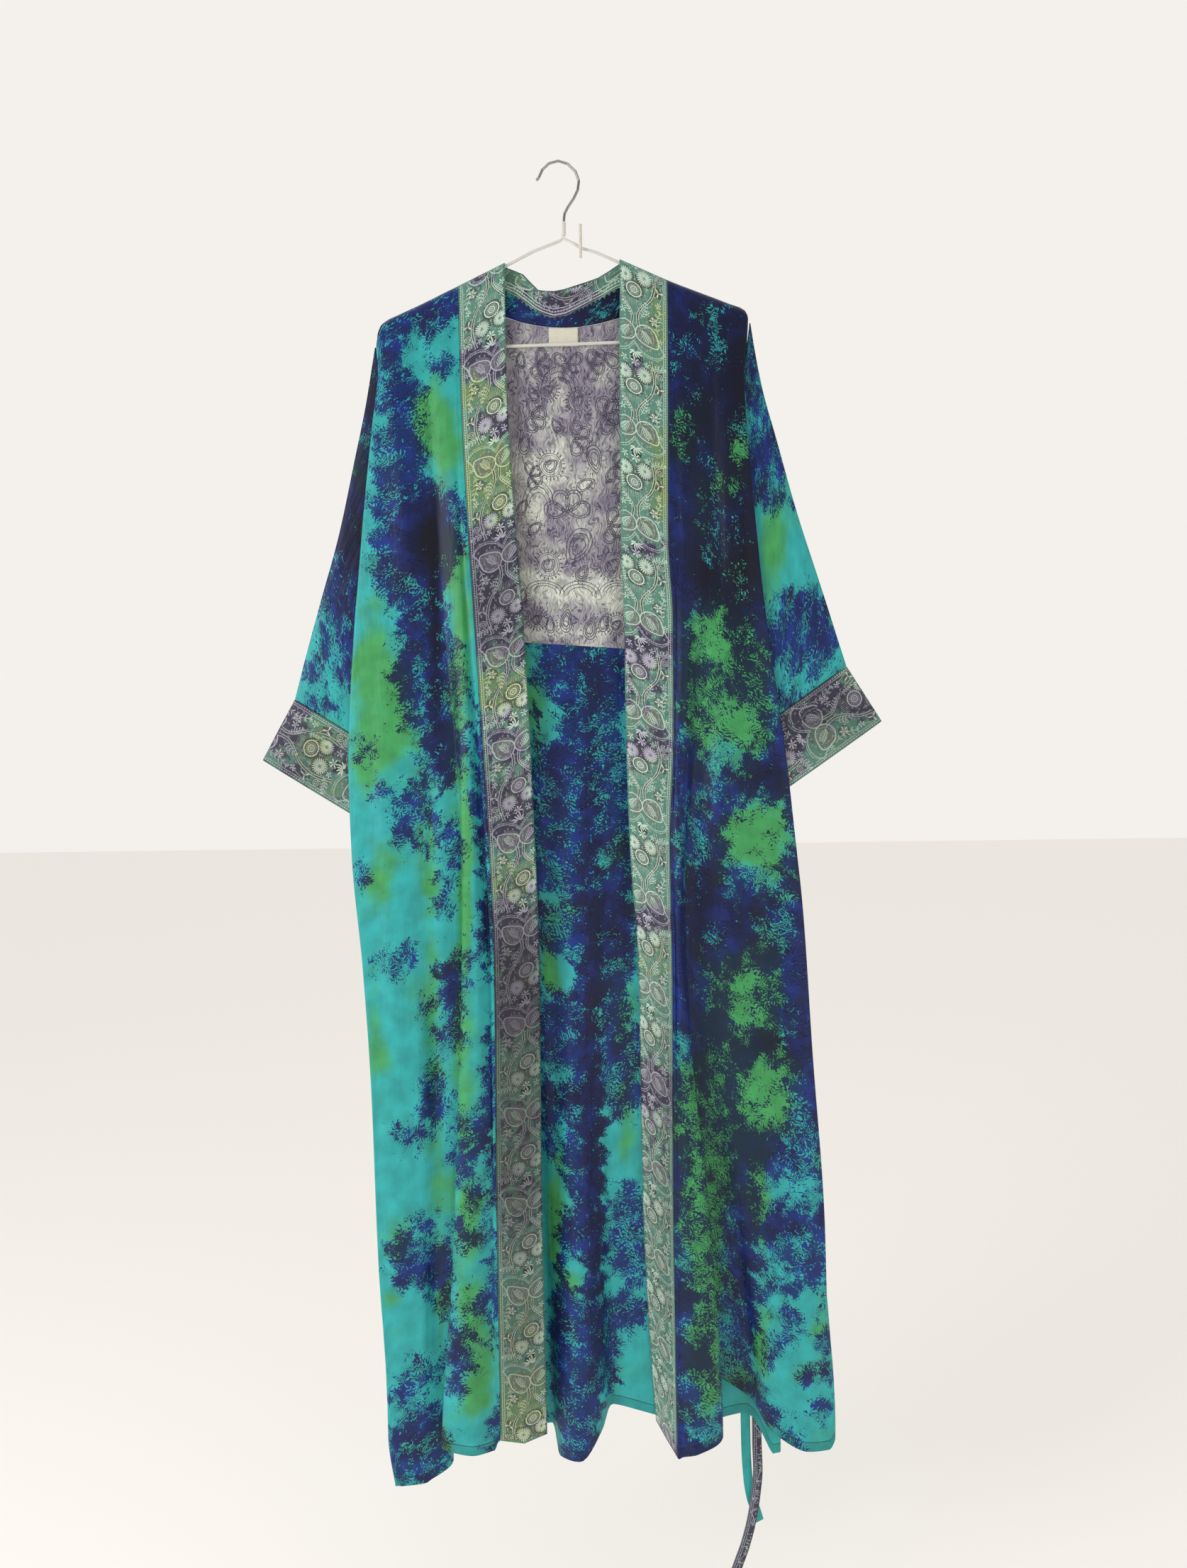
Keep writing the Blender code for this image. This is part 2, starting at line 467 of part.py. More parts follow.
def neck_stations():
    """Top and sewn edge of the back neck band, closed to the ridge at both shoulders."""
    ridge_depth = WIRE_DEPTH - RIDGE_GAP
    first, last = NECK_STATIONS[0], NECK_STATIONS[-1]
    start = (-89.0, ridge_drop(-89.0), ridge_depth, first[3], ridge_drop(first[3]), ridge_depth)
    end = (46.0, ridge_drop(46.0), ridge_depth, last[3], ridge_drop(last[3]), ridge_depth)
    return np.array([start, *NECK_STATIONS, end], float)


def neck_grid(columns=3):
    """Points of the back neck band, one row a station, sewn edge first."""
    stations = neck_stations()
    top_edge = stations[:, None, :3]
    sewn_edge = stations[:, None, 3:]
    share = np.linspace(0.0, 1.0, columns + 1)[None, :, None]
    points = sewn_edge + (top_edge - sewn_edge) * share
    return points[:, :, [0, 2, 1]]


class Back:
    """The back panel's surface, which the yoke and the label also follow."""

    def __init__(self):
        drops, section_x, section_depth = split_table(BACK_SECTIONS)
        place, top_depth, hem = [], [], []
        first = section_x[0, list(BACK_COLUMNS).index("outline_r")]
        last = section_x[0, list(BACK_COLUMNS).index("outline_l")]
        for number, (share, ridge, hem_drop) in enumerate(BACK_COLUMNS.values()):
            if share is None:
                share = (section_x[0, number] - first) / (last - first)
            place.append(share)
            top_depth.append(ridge)
            hem.append(hem_drop)
        self.drops = drops
        self.place = np.array(place)
        self.section_x = section_x
        self.section_depth = section_depth
        self.hem = np.array(hem, float)
        self.first = first
        self.last = last

    def share_of(self, x):
        """Place across the cloth of a line that starts at x on the top edge."""
        return (np.asarray(x, float) - self.first) / (self.last - self.first)

    def surface(self, across, drop):
        """x and depth at places across the cloth and at drops below the wall hook."""
        x_lines = smooth(self.place, self.section_x.T, across).T
        depth_lines = smooth(self.place, self.section_depth.T, across).T
        return smooth(self.drops, x_lines, drop), smooth(self.drops, depth_lines, drop)

    def hem_at(self, across):
        return smooth(self.place, self.hem[:, None], across)[:, 0]


def back_grid(back):
    """Points of the back panel. Its top edge follows the ridge, and the neck band between."""
    stations = neck_stations()
    sewn = stations[:, 3:]
    away = sewn - stations[:, :3]
    away /= np.linalg.norm(away, axis=1)[:, None]
    away[0] = (-1.0, 0.0, 0.0)
    away[-1] = (1.0, 0.0, 0.0)
    neck = sewn + away * NECK_GAP
    left_places = [-0.16, -0.13, -0.08, -0.03, 0.0, 0.03, 0.09, 0.15]
    right_places = [0.88, 0.94, 0.975, 1.0, 1.03, 1.08, 1.13, 1.16]
    spread = neck[:, 0].copy()
    for number in range(4, 0, -1):
        spread[number - 1] = min(spread[number - 1], spread[number] - NECK_SPREAD)
    for number in range(len(spread) - 5, len(spread) - 1):
        spread[number + 1] = max(spread[number + 1], spread[number] + NECK_SPREAD)
    neck_places = back.share_of(spread)
    across = np.concatenate([left_places, neck_places, right_places])
    top_x, _ = back.surface(across, np.full((1, len(across)), back.drops[0]))
    top = ridge_drop(top_x[0])
    ridge_depth = [value[1] for value in BACK_COLUMNS.values()]
    top_depth = np.interp(across, back.place, ridge_depth)
    first, last = len(left_places), len(left_places) + len(neck_places)
    top[first:last] = neck[:, 1]
    top_depth[first:last] = neck[:, 2]
    hem = back.hem_at(across)
    drop = rows_between(top, hem)
    x, depth = back.surface(across, drop)
    shift = np.zeros_like(x)
    fade = np.clip(1.0 - (drop - top) / NECK_FADE, 0.0, 1.0)
    shift[:, first:last] = (neck[:, 0] - x[0, first:last]) * fade[:, first:last]
    depth = over_the_arm(depth, top_depth, drop - top)
    return np.stack([x + shift, depth, drop], axis=2)


def yoke_grid(back):
    """Points of the yoke: the back's own surface, moved towards the viewer."""
    rows = np.array([0.0, 0.08, 0.2, 0.35, 0.5, 0.65, 0.82, 1.0])
    shares = np.linspace(0.0, 1.0, 17)
    sides = np.array(YOKE_SIDES, float)
    stations = neck_stations()
    top_x = sides[0, 1] + (sides[0, 2] - sides[0, 1]) * shares
    neck_drop = np.interp(top_x, stations[:, 3], stations[:, 4]) + YOKE_NECK_LAP
    shoulder_drop = ridge_drop(top_x) + YOKE_SHOULDER_DROP
    outside = (top_x < stations[0, 3]) | (top_x > stations[-1, 3])
    top = np.where(outside, shoulder_drop, np.maximum(neck_drop, shoulder_drop))
    points = np.empty((len(rows), len(shares), 3))
    for number, row in enumerate(rows):
        hem = YOKE_HEM_DROP + YOKE_HEM_SLOPE * (top_x - LABEL_CENTRE[0])
        drop = top + (hem - top) * row
        low = np.interp(drop, sides[:, 0], sides[:, 1])
        high = np.interp(drop, sides[:, 0], sides[:, 2])
        x = low + (high - low) * shares
        across = back.share_of(x)
        found, depth = back.surface(across, drop[None, :])
        points[number] = np.stack([found[0], depth[0] + STACK, drop], axis=1)
    return points


def label_grid(back):
    """Points of the label: the yoke's surface, moved out by one more layer."""
    x = LABEL_CENTRE[0] + LABEL_WIDTH * np.linspace(-0.5, 0.5, 5)
    across = back.share_of(x)
    points = np.empty((4, 5, 3))
    for number, share in enumerate(np.linspace(-0.5, 0.5, 4)):
        drop = np.full((1, 5), LABEL_CENTRE[1] + LABEL_HEIGHT * share)
        found, depth = back.surface(across, drop)
        out = STACK + CLOTH / 2 + SEAM + LABEL_WALL / 2
        points[number] = np.stack([found[0], depth[0] + out, drop[0]], axis=1)
    return points


def tube_rings(rings, steps, start_gap=0.0):
    """Rings of a flattened tube, read smoothly from a short table of rings."""
    table = np.array(rings, float)
    knots = np.arange(len(table))
    reads = np.linspace(0.0, len(table) - 1.0, steps + 1)
    if start_gap:
        length = np.hypot(*(table[1, :2] - table[0, :2]))
        reads[0] = start_gap / length
    edges = smooth(knots, table, reads)
    angle = np.linspace(0.0, 2.0 * math.pi, RING_SIDES, endpoint=False)
    share = (1.0 - np.cos(angle)) / 2.0
    bulge = np.sign(np.sin(angle)) * (4.0 * share * (1.0 - share) + 1e-9) ** RING_FLATNESS
    upper, lower = edges[:, None, :2], edges[:, None, 2:]
    line = upper + (lower - upper) * share[None, :, None]
    depth = np.broadcast_to(SLEEVE_MID + SLEEVE_PUFF * bulge, line.shape[:2])
    return np.stack([line[:, :, 0], depth, line[:, :, 1]], axis=2)


def world(points):
    """Table coordinates (x, depth, drop) in millimetres to metres in the part's frame."""
    points = np.asarray(points, float)
    return points * np.array((MM, -MM, -MM))


def mesh_object(name, vertices, faces, finish, home):
    """A new object from vertices and faces, with its finish, in the part's collection."""
    mesh = bpy.data.meshes.new(name)
    mesh.from_pydata([tuple(v) for v in vertices], [], faces)
    mesh.materials.append(material(finish))
    mesh.shade_smooth()
    made = bpy.data.objects.new(name, mesh)
    home.objects.link(made)
    return made


def solidify(thing, thickness):
    """Give a sheet its wall, half to each side."""
    wall = thing.modifiers.new("wall", "SOLIDIFY")
    wall.thickness = thickness * MM
    wall.offset = 0.0
    wall.use_even_offset = True
    wall.use_quality_normals = True


def sheet(name, grid, finish, home, thickness=CLOTH, closed=False):
    """A cloth piece: a grid of points with a wall. closed joins its last column to its first."""
    rows, columns = grid.shape[:2]
    last = columns if closed else columns - 1
    faces = []
    for row in range(rows - 1):
        for column in range(last):
            after = (column + 1) % columns
            a = row * columns + column
            b = row * columns + after
            faces.append((a, b, b + columns, a + columns))
    thing = mesh_object(name, world(grid).reshape(-1, 3), faces, finish, home)
    solidify(thing, thickness)
    return thing


def wire(name, points, radius, finish, home, cyclic=False, depth=WIRE_DEPTH):
    """A round wire along points of x and drop, or of x, drop and depth."""
    curve = bpy.data.curves.new(name, "CURVE")
    curve.dimensions = "3D"
    curve.bevel_depth = radius * MM
    curve.bevel_resolution = 2
    curve.use_fill_caps = True
    spline = curve.splines.new("POLY")
    spline.points.add(len(points) - 1)
    for place, point in zip(spline.points, points):
        x, drop = point[0], point[1]
        out = point[2] if len(point) > 2 else depth
        place.co = (x * MM, -out * MM, -drop * MM, 1.0)
    spline.use_cyclic_u = cyclic
    spline.use_smooth = True
    curve.materials.append(material(finish))
    made = bpy.data.objects.new(name, curve)
    home.objects.link(made)
    return made


def bend(centre, start_degrees, end_degrees, steps):
    """Points of a wire's bend: x and drop on a circle, angles from +X towards +Z."""
    x, drop, radius = centre
    angles = np.radians(np.linspace(start_degrees, end_degrees, steps))
    return [(x + radius * math.cos(a), drop - radius * math.sin(a)) for a in angles]


def build_hanger(home):
    """White coated wire frame, its coated neck, and the steel hook above it."""
    tip_left = bend(HANGER_LEFT_TIP, 115.4, 271.5, 9)
    tip_right = bend(HANGER_RIGHT_TIP, -88.5, 69.3, 9)
    path = [HANGER_NECK_TOP, *HANGER_LEFT_ARM[:3]]
    path.extend(between(HANGER_LEFT_ARM[2], tip_left[0], 4))
    path.extend(tip_left)
    path.extend(between(tip_left[-1], tip_right[0], 8))
    path.extend(tip_right)
    path.extend(between(tip_right[-1], HANGER_RIGHT_ARM[1], 3))
    path.extend(HANGER_RIGHT_ARM[1:])
    wire("hanger_frame", path, WIRE_RADIUS, "coated_wire", home, cyclic=True)
    neck_bottom = HANGER_NECK_TOP[1] - WIRE_RADIUS - SEAM - 0.6
    wire("hanger_neck", [(STEM[0] - 0.3, neck_bottom), (STEM[0] - 0.1, neck_bottom - 7.0), STEM],
         WIRE_RADIUS + 0.5, "coated_wire", home)
    stem_start = (STEM[0], STEM[1] - SEAM)
    wire("hanger_hook", [stem_start, *HOOK_POINTS], HOOK_WIRE_RADIUS, "steel_wire", home)


def between(start, end, steps):
    """Points strictly between two points of x and drop."""
    return [(start[0] + (end[0] - start[0]) * n / steps, start[1] + (end[1] - start[1]) * n / steps)
            for n in range(1, steps)]


def build_wall_hook(home):
    """L shaped hook of cream wire: a level shank out of the wall and an upright arm."""
    corner = 4.0
    points = [(0.0, 0.0, depth) for depth in (0.0, 7.0, 14.0, WALL_HOOK_REACH - corner)]
    for degrees in (30.0, 60.0, 90.0):
        a = math.radians(degrees)
        points.append((0.0, corner * (math.cos(a) - 1.0), WALL_HOOK_REACH - corner + corner * math.sin(a)))
    points.append((0.0, -WALL_HOOK_HEIGHT, WALL_HOOK_REACH))
    wire("wall_hook", points, WALL_HOOK_RADIUS, "wall_hook", home)


def belt_rows():
    """Middle line of the belt, from one end up, through the carrier and down to the other."""
    turn_x, turn_drop, turn_radius = BELT_TURN
    up = [row for row in reversed(TAIL_TEAL)]
    down = [row for row in TAIL_BROCADE]
    arch = []
    for degrees in (180.0, 150.0, 120.0, 90.0, 60.0, 30.0, 0.0):
        a = math.radians(degrees)
        x = turn_x + turn_radius * math.cos(a)
        arch.append((x, turn_drop - turn_radius * math.sin(a), BELT_DEPTH, 0.0))
    return up, arch, down


def belt_grid():
    """Points across and along the belt, three points wide."""
    up, arch, down = belt_rows()
    side_up = densify(up + arch[:1], 17)
    side_down = densify(arch[-1:] + down, 21)
    path = np.vstack([side_up[:-1], np.array(arch), side_down[1:]])
    middle = path[:, [0, 2, 1]]
    along = np.gradient(middle, axis=0)
    along[:, 1] = 0.0
    along /= np.linalg.norm(along, axis=1)[:, None]
    flat = np.stack([along[:, 2], np.zeros(len(path)), -along[:, 0]], axis=1)
    turn = np.radians(path[:, 3])[:, None]
    width = flat * np.cos(turn) + np.array((0.0, 1.0, 0.0)) * np.sin(turn)
    shares = np.linspace(-0.5, 0.5, 3)[None, :, None]
    return middle[:, None, :] + width[:, None, :] * BELT_WIDTH * shares


def densify(rows, count):
    """More points along a short table, spaced evenly by the table's own length."""
    table = np.array(rows, float)
    length = np.concatenate([[0.0], np.cumsum(np.linalg.norm(np.diff(table[:, :3], axis=0), axis=1))])
    return smooth(length, table, np.linspace(0.0, length[-1], count))


def carrier_grid():
    """Points of the belt carrier: a narrow strip that stands off the back over the belt."""
    share = np.array((0.0, 0.12, 0.22, 0.5, 0.68, 0.84, 1.0))
    drop = CARRIER_TOP + (CARRIER_BOTTOM - CARRIER_TOP) * share
    stand_off = np.array((6.0, 5.6, 2.3, 2.3, 2.3, 5.4, 6.0))
    points = np.empty((7, 2, 3))
    for column, side in enumerate((-0.5, 0.5)):
        x = np.full(7, CARRIER_X + side * CARRIER_WIDTH)
        points[:, column] = np.stack([x, stand_off, drop], axis=1)
    return points


def build_cloth(home):
    """Every cut piece of the robe, in the order in which they are sewn."""
    back = Back()
    right_across = [0.0, 0.03, 0.065, 0.10, 0.15, 0.20, 0.25, 0.30, 0.34, 0.38, 0.45, 0.53, 0.62,
                    0.72, 0.78, 0.80, 0.815, 0.83, 0.90, 0.97, 1.0]
    left_across = [0.0, 0.03, 0.055, 0.08, 0.12, 0.16, 0.21, 0.26, 0.30, 0.34, 0.39, 0.44, 0.49,
                   0.54, 0.60, 0.66, 0.73, 0.78, 0.80, 0.815, 0.83, 0.90, 0.97, 1.0]
    sheet("back", back_grid(back), "back", home)
    sheet("yoke", yoke_grid(back), "yoke", home)
    sheet("label", label_grid(back), "label", home, LABEL_WALL)
    sheet("front_right", front_grid(FRONT_RIGHT_COLUMNS, FRONT_RIGHT_SECTIONS, BAND_RIGHT,
                                    BAND_RIGHT_HEM[0], right_across), "front_right", home)
    sheet("front_left", front_grid(FRONT_LEFT_COLUMNS, FRONT_LEFT_SECTIONS, BAND_LEFT,
                                   BAND_LEFT_HEM[0], left_across), "front_left", home)
    sheet("band_right", band_grid(BAND_RIGHT, BAND_RIGHT_HEM), "band", home)
    sheet("band_left", band_grid(BAND_LEFT, BAND_LEFT_HEM), "band", home)
    sheet("band_neck", neck_grid(), "band", home)
    sheet("sleeve_right", tube_rings(SLEEVE_RIGHT_RINGS, 8), "sleeve", home, closed=True)
    sheet("sleeve_left", tube_rings(SLEEVE_LEFT_RINGS, 8), "sleeve", home, closed=True)
    sheet("cuff_right", tube_rings(CUFF_RIGHT_RINGS, 3, CUFF_GAP), "cuff", home, closed=True)
    sheet("cuff_left", tube_rings(CUFF_LEFT_RINGS, 3, CUFF_GAP), "cuff", home, closed=True)
    sheet("belt", belt_grid(), "belt", home, BELT_WALL)
    sheet("belt_carrier", carrier_grid(), "belt", home)


def main():
    clear_scene()
    home = bpy.data.collections.new("kimono_robe")
    bpy.context.scene.collection.children.link(home)
    build_cloth(home)
    build_hanger(home)
    build_wall_hook(home)


main()
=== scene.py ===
"""Long open kimono robe of dyed silk on a wire hanger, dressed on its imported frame.

Tables are in millimetres. A place on the cloth is (x, depth, drop): x to the viewer's right,
depth out of the wall and drop below the wall hook. Right and left are the wearer's.
"""
import math
from functools import partial

import bpy
import numpy as np
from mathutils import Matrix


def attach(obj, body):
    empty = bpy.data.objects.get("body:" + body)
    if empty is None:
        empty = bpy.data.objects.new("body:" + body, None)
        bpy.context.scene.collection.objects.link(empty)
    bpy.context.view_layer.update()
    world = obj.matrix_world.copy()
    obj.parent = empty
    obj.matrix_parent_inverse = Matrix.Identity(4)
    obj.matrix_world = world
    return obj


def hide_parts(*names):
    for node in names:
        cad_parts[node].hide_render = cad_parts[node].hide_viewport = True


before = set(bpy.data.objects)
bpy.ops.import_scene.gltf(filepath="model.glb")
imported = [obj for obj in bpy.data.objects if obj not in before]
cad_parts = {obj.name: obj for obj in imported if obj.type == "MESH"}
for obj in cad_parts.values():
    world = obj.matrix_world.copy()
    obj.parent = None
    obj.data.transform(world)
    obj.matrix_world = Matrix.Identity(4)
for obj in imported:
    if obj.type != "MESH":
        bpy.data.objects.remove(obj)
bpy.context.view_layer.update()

MM = 0.001


# Camera, floor and light. The photograph was taken from chest height, about 1.4 m away and looking
# slightly down. The floor is plain and pale, and the light soft, mostly from the upper left.
def hex_colour(code, alpha=1.0):
    """sRGB hex, such as 3fa79f, to the linear colour that a shader takes."""
    parts = [int(code[n:n + 2], 16) / 255.0 for n in (0, 2, 4)]
    linear = [p / 12.92 if p <= 0.04045 else ((p + 0.055) / 1.055) ** 2.4 for p in parts]
    return (*linear, alpha)


def add_node(finish, kind, inputs=None, **settings):
    """Add one node to a finish. Each input, by name or number, is a value, a node whose first
    output it takes, or a pair of a node and the output's name or number."""
    tree = finish.node_tree
    made = tree.nodes.new("ShaderNode" + kind)
    for name, value in settings.items():
        setattr(made, name, value)
    for name, value in (inputs or {}).items():
        if isinstance(value, bpy.types.Node):
            value = (value, 0)
        if isinstance(value, tuple) and isinstance(value[0], bpy.types.Node):
            tree.links.new(value[0].outputs[value[1]], made.inputs[name])
        else:
            made.inputs[name].default_value = value
    return made


def new_finish(name, **sockets):
    """A material with one Principled shader, its own sockets set to plain values."""
    made = bpy.data.materials.new(name)
    made.use_nodes = True
    shader = made.node_tree.nodes["Principled BSDF"]
    for socket, value in sockets.items():
        shader.inputs[socket.replace("_", " ")].default_value = value
    return made


CAMERA_PLACE = (-0.00249, -1.44, -0.52791)
CAMERA_PITCH, CAMERA_YAW, CAMERA_ROLL = 3.97, 0.41, 0.68
SENSOR = 34.6
FOCAL_SHARE = 1662.0 / 2212.0

pitch, yaw, roll = (math.radians(a) for a in (CAMERA_PITCH, CAMERA_YAW, CAMERA_ROLL))
look = np.array((math.sin(yaw) * math.cos(pitch), math.cos(yaw) * math.cos(pitch), -math.sin(pitch)))
level = np.array((math.cos(yaw), -math.sin(yaw), 0.0))
upright = np.cross(level, look)
camera_right = level * math.cos(roll) - upright * math.sin(roll)
camera_up = upright * math.cos(roll) + level * math.sin(roll)
camera_data = bpy.data.cameras.new("camera")
camera_data.sensor_width = SENSOR
camera_data.lens = SENSOR * FOCAL_SHARE
camera = bpy.data.objects.new("camera", camera_data)
turned = np.eye(4)
turned[:3, 0], turned[:3, 1], turned[:3, 2], turned[:3, 3] = camera_right, camera_up, -look, CAMERA_PLACE
camera.matrix_world = turned.T.tolist()
bpy.context.scene.collection.objects.link(camera)
bpy.context.scene.camera = camera
bpy.context.scene.view_settings.view_transform = "Standard"

studio = bpy.data.worlds.new("studio")
studio.use_nodes = True
studio_sky = studio.node_tree.nodes["Background"]
studio_sky.inputs["Color"].default_value = hex_colour("f6f3ef")
# The room is bright behind the robe, softer on the photographer's side and brightest overhead.
sky_place = add_node(studio, "TexCoord")
sky_parts = add_node(studio, "SeparateXYZ", {0: (sky_place, "Generated")})
sky_behind = add_node(studio, "MapRange", {0: (sky_parts, 1), 1: -0.3, 2: 0.5, 3: 0.32, 4: 0.98})
sky_overhead = add_node(studio, "MapRange", {0: (sky_parts, 2), 1: 0.5, 2: 1.0, 3: 0.0, 4: 0.9})
sky_strength = add_node(studio, "Math", {0: sky_behind, 1: sky_overhead}, operation="ADD")
studio.node_tree.links.new(sky_strength.outputs[0], studio_sky.inputs["Strength"])
bpy.context.scene.world = studio

# Each light: place, size and power. They aim at the robe's middle.
ROBE_MIDDLE = (0.0, 0.0, -0.7)
LIGHTS = {
    "window_light": ((-1.9, -1.6, -0.2), 1.0, 27.0),
    "room_light": ((1.6, -2.2, -0.6), 1.6, 8.0),
}
for light_name, (light_place, light_size, light_power) in LIGHTS.items():
    lamp = bpy.data.lights.new(light_name, "AREA")
    lamp.size = light_size
    lamp.energy = light_power
    lamp_object = bpy.data.objects.new(light_name, lamp)
    lamp_object.location = light_place
    aim = np.array(ROBE_MIDDLE) - np.array(light_place)
    aim /= np.linalg.norm(aim)
    lamp_object.rotation_euler = (math.acos(-aim[2]), 0.0, math.atan2(-aim[0], aim[1]))
    bpy.context.scene.collection.objects.link(lamp_object)

FLOOR_DROP = 1.80
FLOOR_REACH = 9.0
floor_mesh = bpy.data.meshes.new("floor")
floor_mesh.from_pydata([(FLOOR_REACH * side, FLOOR_REACH * way, -FLOOR_DROP)
                        for side, way in ((-1, -1), (1, -1), (1, 1), (-1, 1))], [], [(0, 1, 2, 3)])
floor = bpy.data.objects.new("floor", floor_mesh)
bpy.context.scene.collection.objects.link(floor)
# Painted board floor, matt: the eye only sees a pale, slightly warm plane.
floor_paint = new_finish("matt_floor_paint", Base_Color=hex_colour("f4f2ee"), Roughness=0.9)
floor_mesh.materials.append(floor_paint)


# Wire hanger and wall hook. The hanger is steel wire in a white plastic coat, its hook bare steel,
# and the wall hook is enamelled in cream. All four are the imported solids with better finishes.
def link_shader(finish, socket, node, output=0):
    """Link a node's output to the Principled shader of a finish."""
    shader = finish.node_tree.nodes["Principled BSDF"]
    finish.node_tree.links.new(node.outputs[output], shader.inputs[socket])


def waver(finish, scale, dark, light, detail=2.0):
    """Let a finish's colour waver between two with a noise over the object, and return the noise."""
    place = add_node(finish, "TexCoord")
    noise = add_node(finish, "TexNoise", {"Vector": (place, "Object"), "Scale": scale, "Detail": detail})
    tone = add_node(finish, "ValToRGB", {"Fac": noise})
    tone.color_ramp.elements[0].color = hex_colour(dark)
    tone.color_ramp.elements[1].color = hex_colour(light)
    link_shader(finish, "Base Color", tone)
    return noise


# The coat is dipped vinyl: softly glossy, with faint waves in it.
vinyl_coat = new_finish("white_vinyl_coat", Roughness=0.32)
coat_wave = waver(vinyl_coat, 90.0, "d3d0ca", "e4e1db")
coat_bump = add_node(vinyl_coat, "Bump", {"Strength": 0.1, "Distance": 0.0004, "Height": coat_wave})
link_shader(vinyl_coat, "Normal", coat_bump)

# The hook is drawn steel wire: grey metal with a fine grain, 0.5 mm across.
drawn_steel = new_finish("drawn_steel", Metallic=1.0, Roughness=0.34)
waver(drawn_steel, 2000.0, "7d7b77", "bcbab5", 3.0)

# The wall hook is baked enamel on wire: cream, even, a little glossy.
cream_enamel = new_finish("cream_enamel", Roughness=0.38)
waver(cream_enamel, 260.0, "cdc7b4", "e6e1d2")

for kept_node, kept_finish in (("hanger_frame", vinyl_coat), ("hanger_neck", vinyl_coat),
                               ("hanger_hook", drawn_steel), ("wall_hook", cream_enamel)):
    kept_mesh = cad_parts[kept_node].data
    kept_mesh.materials.clear()
    kept_mesh.materials.append(kept_finish)


# Back panel. One length of thin dyed silk that hangs from the hanger's arms and the neck band,
# folded forward round both sides and in one deep fold down its middle, and hemmed at the bottom.
CLOTH = 1.2
SEAM = 0.3
STACK = CLOTH + SEAM
WIRE_DEPTH = 16.5
WIRE_RADIUS = 1.9
ARM_SLOPE = 0.474
RIDGE_LIFT = (WIRE_RADIUS + SEAM + CLOTH / 2) * math.hypot(1.0, ARM_SLOPE) + 0.1
RIDGE_ROUND = 9.0
RIDGE_GAP = 0.4
NECK_GAP = 0.9
NECK_SPREAD = 5.0
NECK_CROWDED = 4                # so many stations at each end are spread out
NECK_FADE = 40.0
HEM_TURN = 12.0

# The line where the cloth bends over the hanger, from one sleeve to the other: x and drop of the
# left tip, of the two arms less the wire's lift, and of the right tip.
RIDGE_LEFT = ((-243, 108), (-239.2, 98.5), (-233.5, 86.4), (-229, 80.5), (-222.7, 75.8))
RIDGE_ARMS = ((-214, 75.2), (-87.6, 15.3), (45.8, 13.1), (100, 37), (118, 44.2), (178, 66.9))
RIDGE_RIGHT = ((185, 66.1), (191.9, 70.3), (196.6, 77), (198.6, 84))

# Neck band: x, drop and depth of its free edge, then of the edge sewn to the back.
NECK_STATIONS = (
    (-87.4, 15, 12, -143.2, 41.4, 12), (-86, 16.2, 10.4, -139.5, 50.5, 8.4), (-83, 17.2, 10.2, -126, 59, 8),
    (-77, 19.5, 10.2, -108, 66, 8), (-68, 23.5, 10.4, -88, 72, 8), (-59, 33, 10.8, -72, 77.5, 8),
    (-50.5, 41.5, 11, -56, 81, 8), (-42, 42.7, 11, -46, 82.6, 8), (-32, 43, 11, -34, 83.8, 8),
    (-20, 40.8, 11, -18, 84.3, 8), (-6, 36.5, 10.8, -2, 83.5, 8), (8, 32.2, 10.6, 12, 81.2, 8),
    (20, 28, 10.4, 24, 79, 8), (33, 20.5, 10.2, 46, 73.5, 8), (39, 16.5, 10.2, 68, 65.5, 8),
    (42.5, 14.2, 10.2, 86, 56.5, 8), (44.2, 13.2, 10.4, 97.5, 46, 8.4), (45.6, 11.9, 12, 101, 37, 12),
)

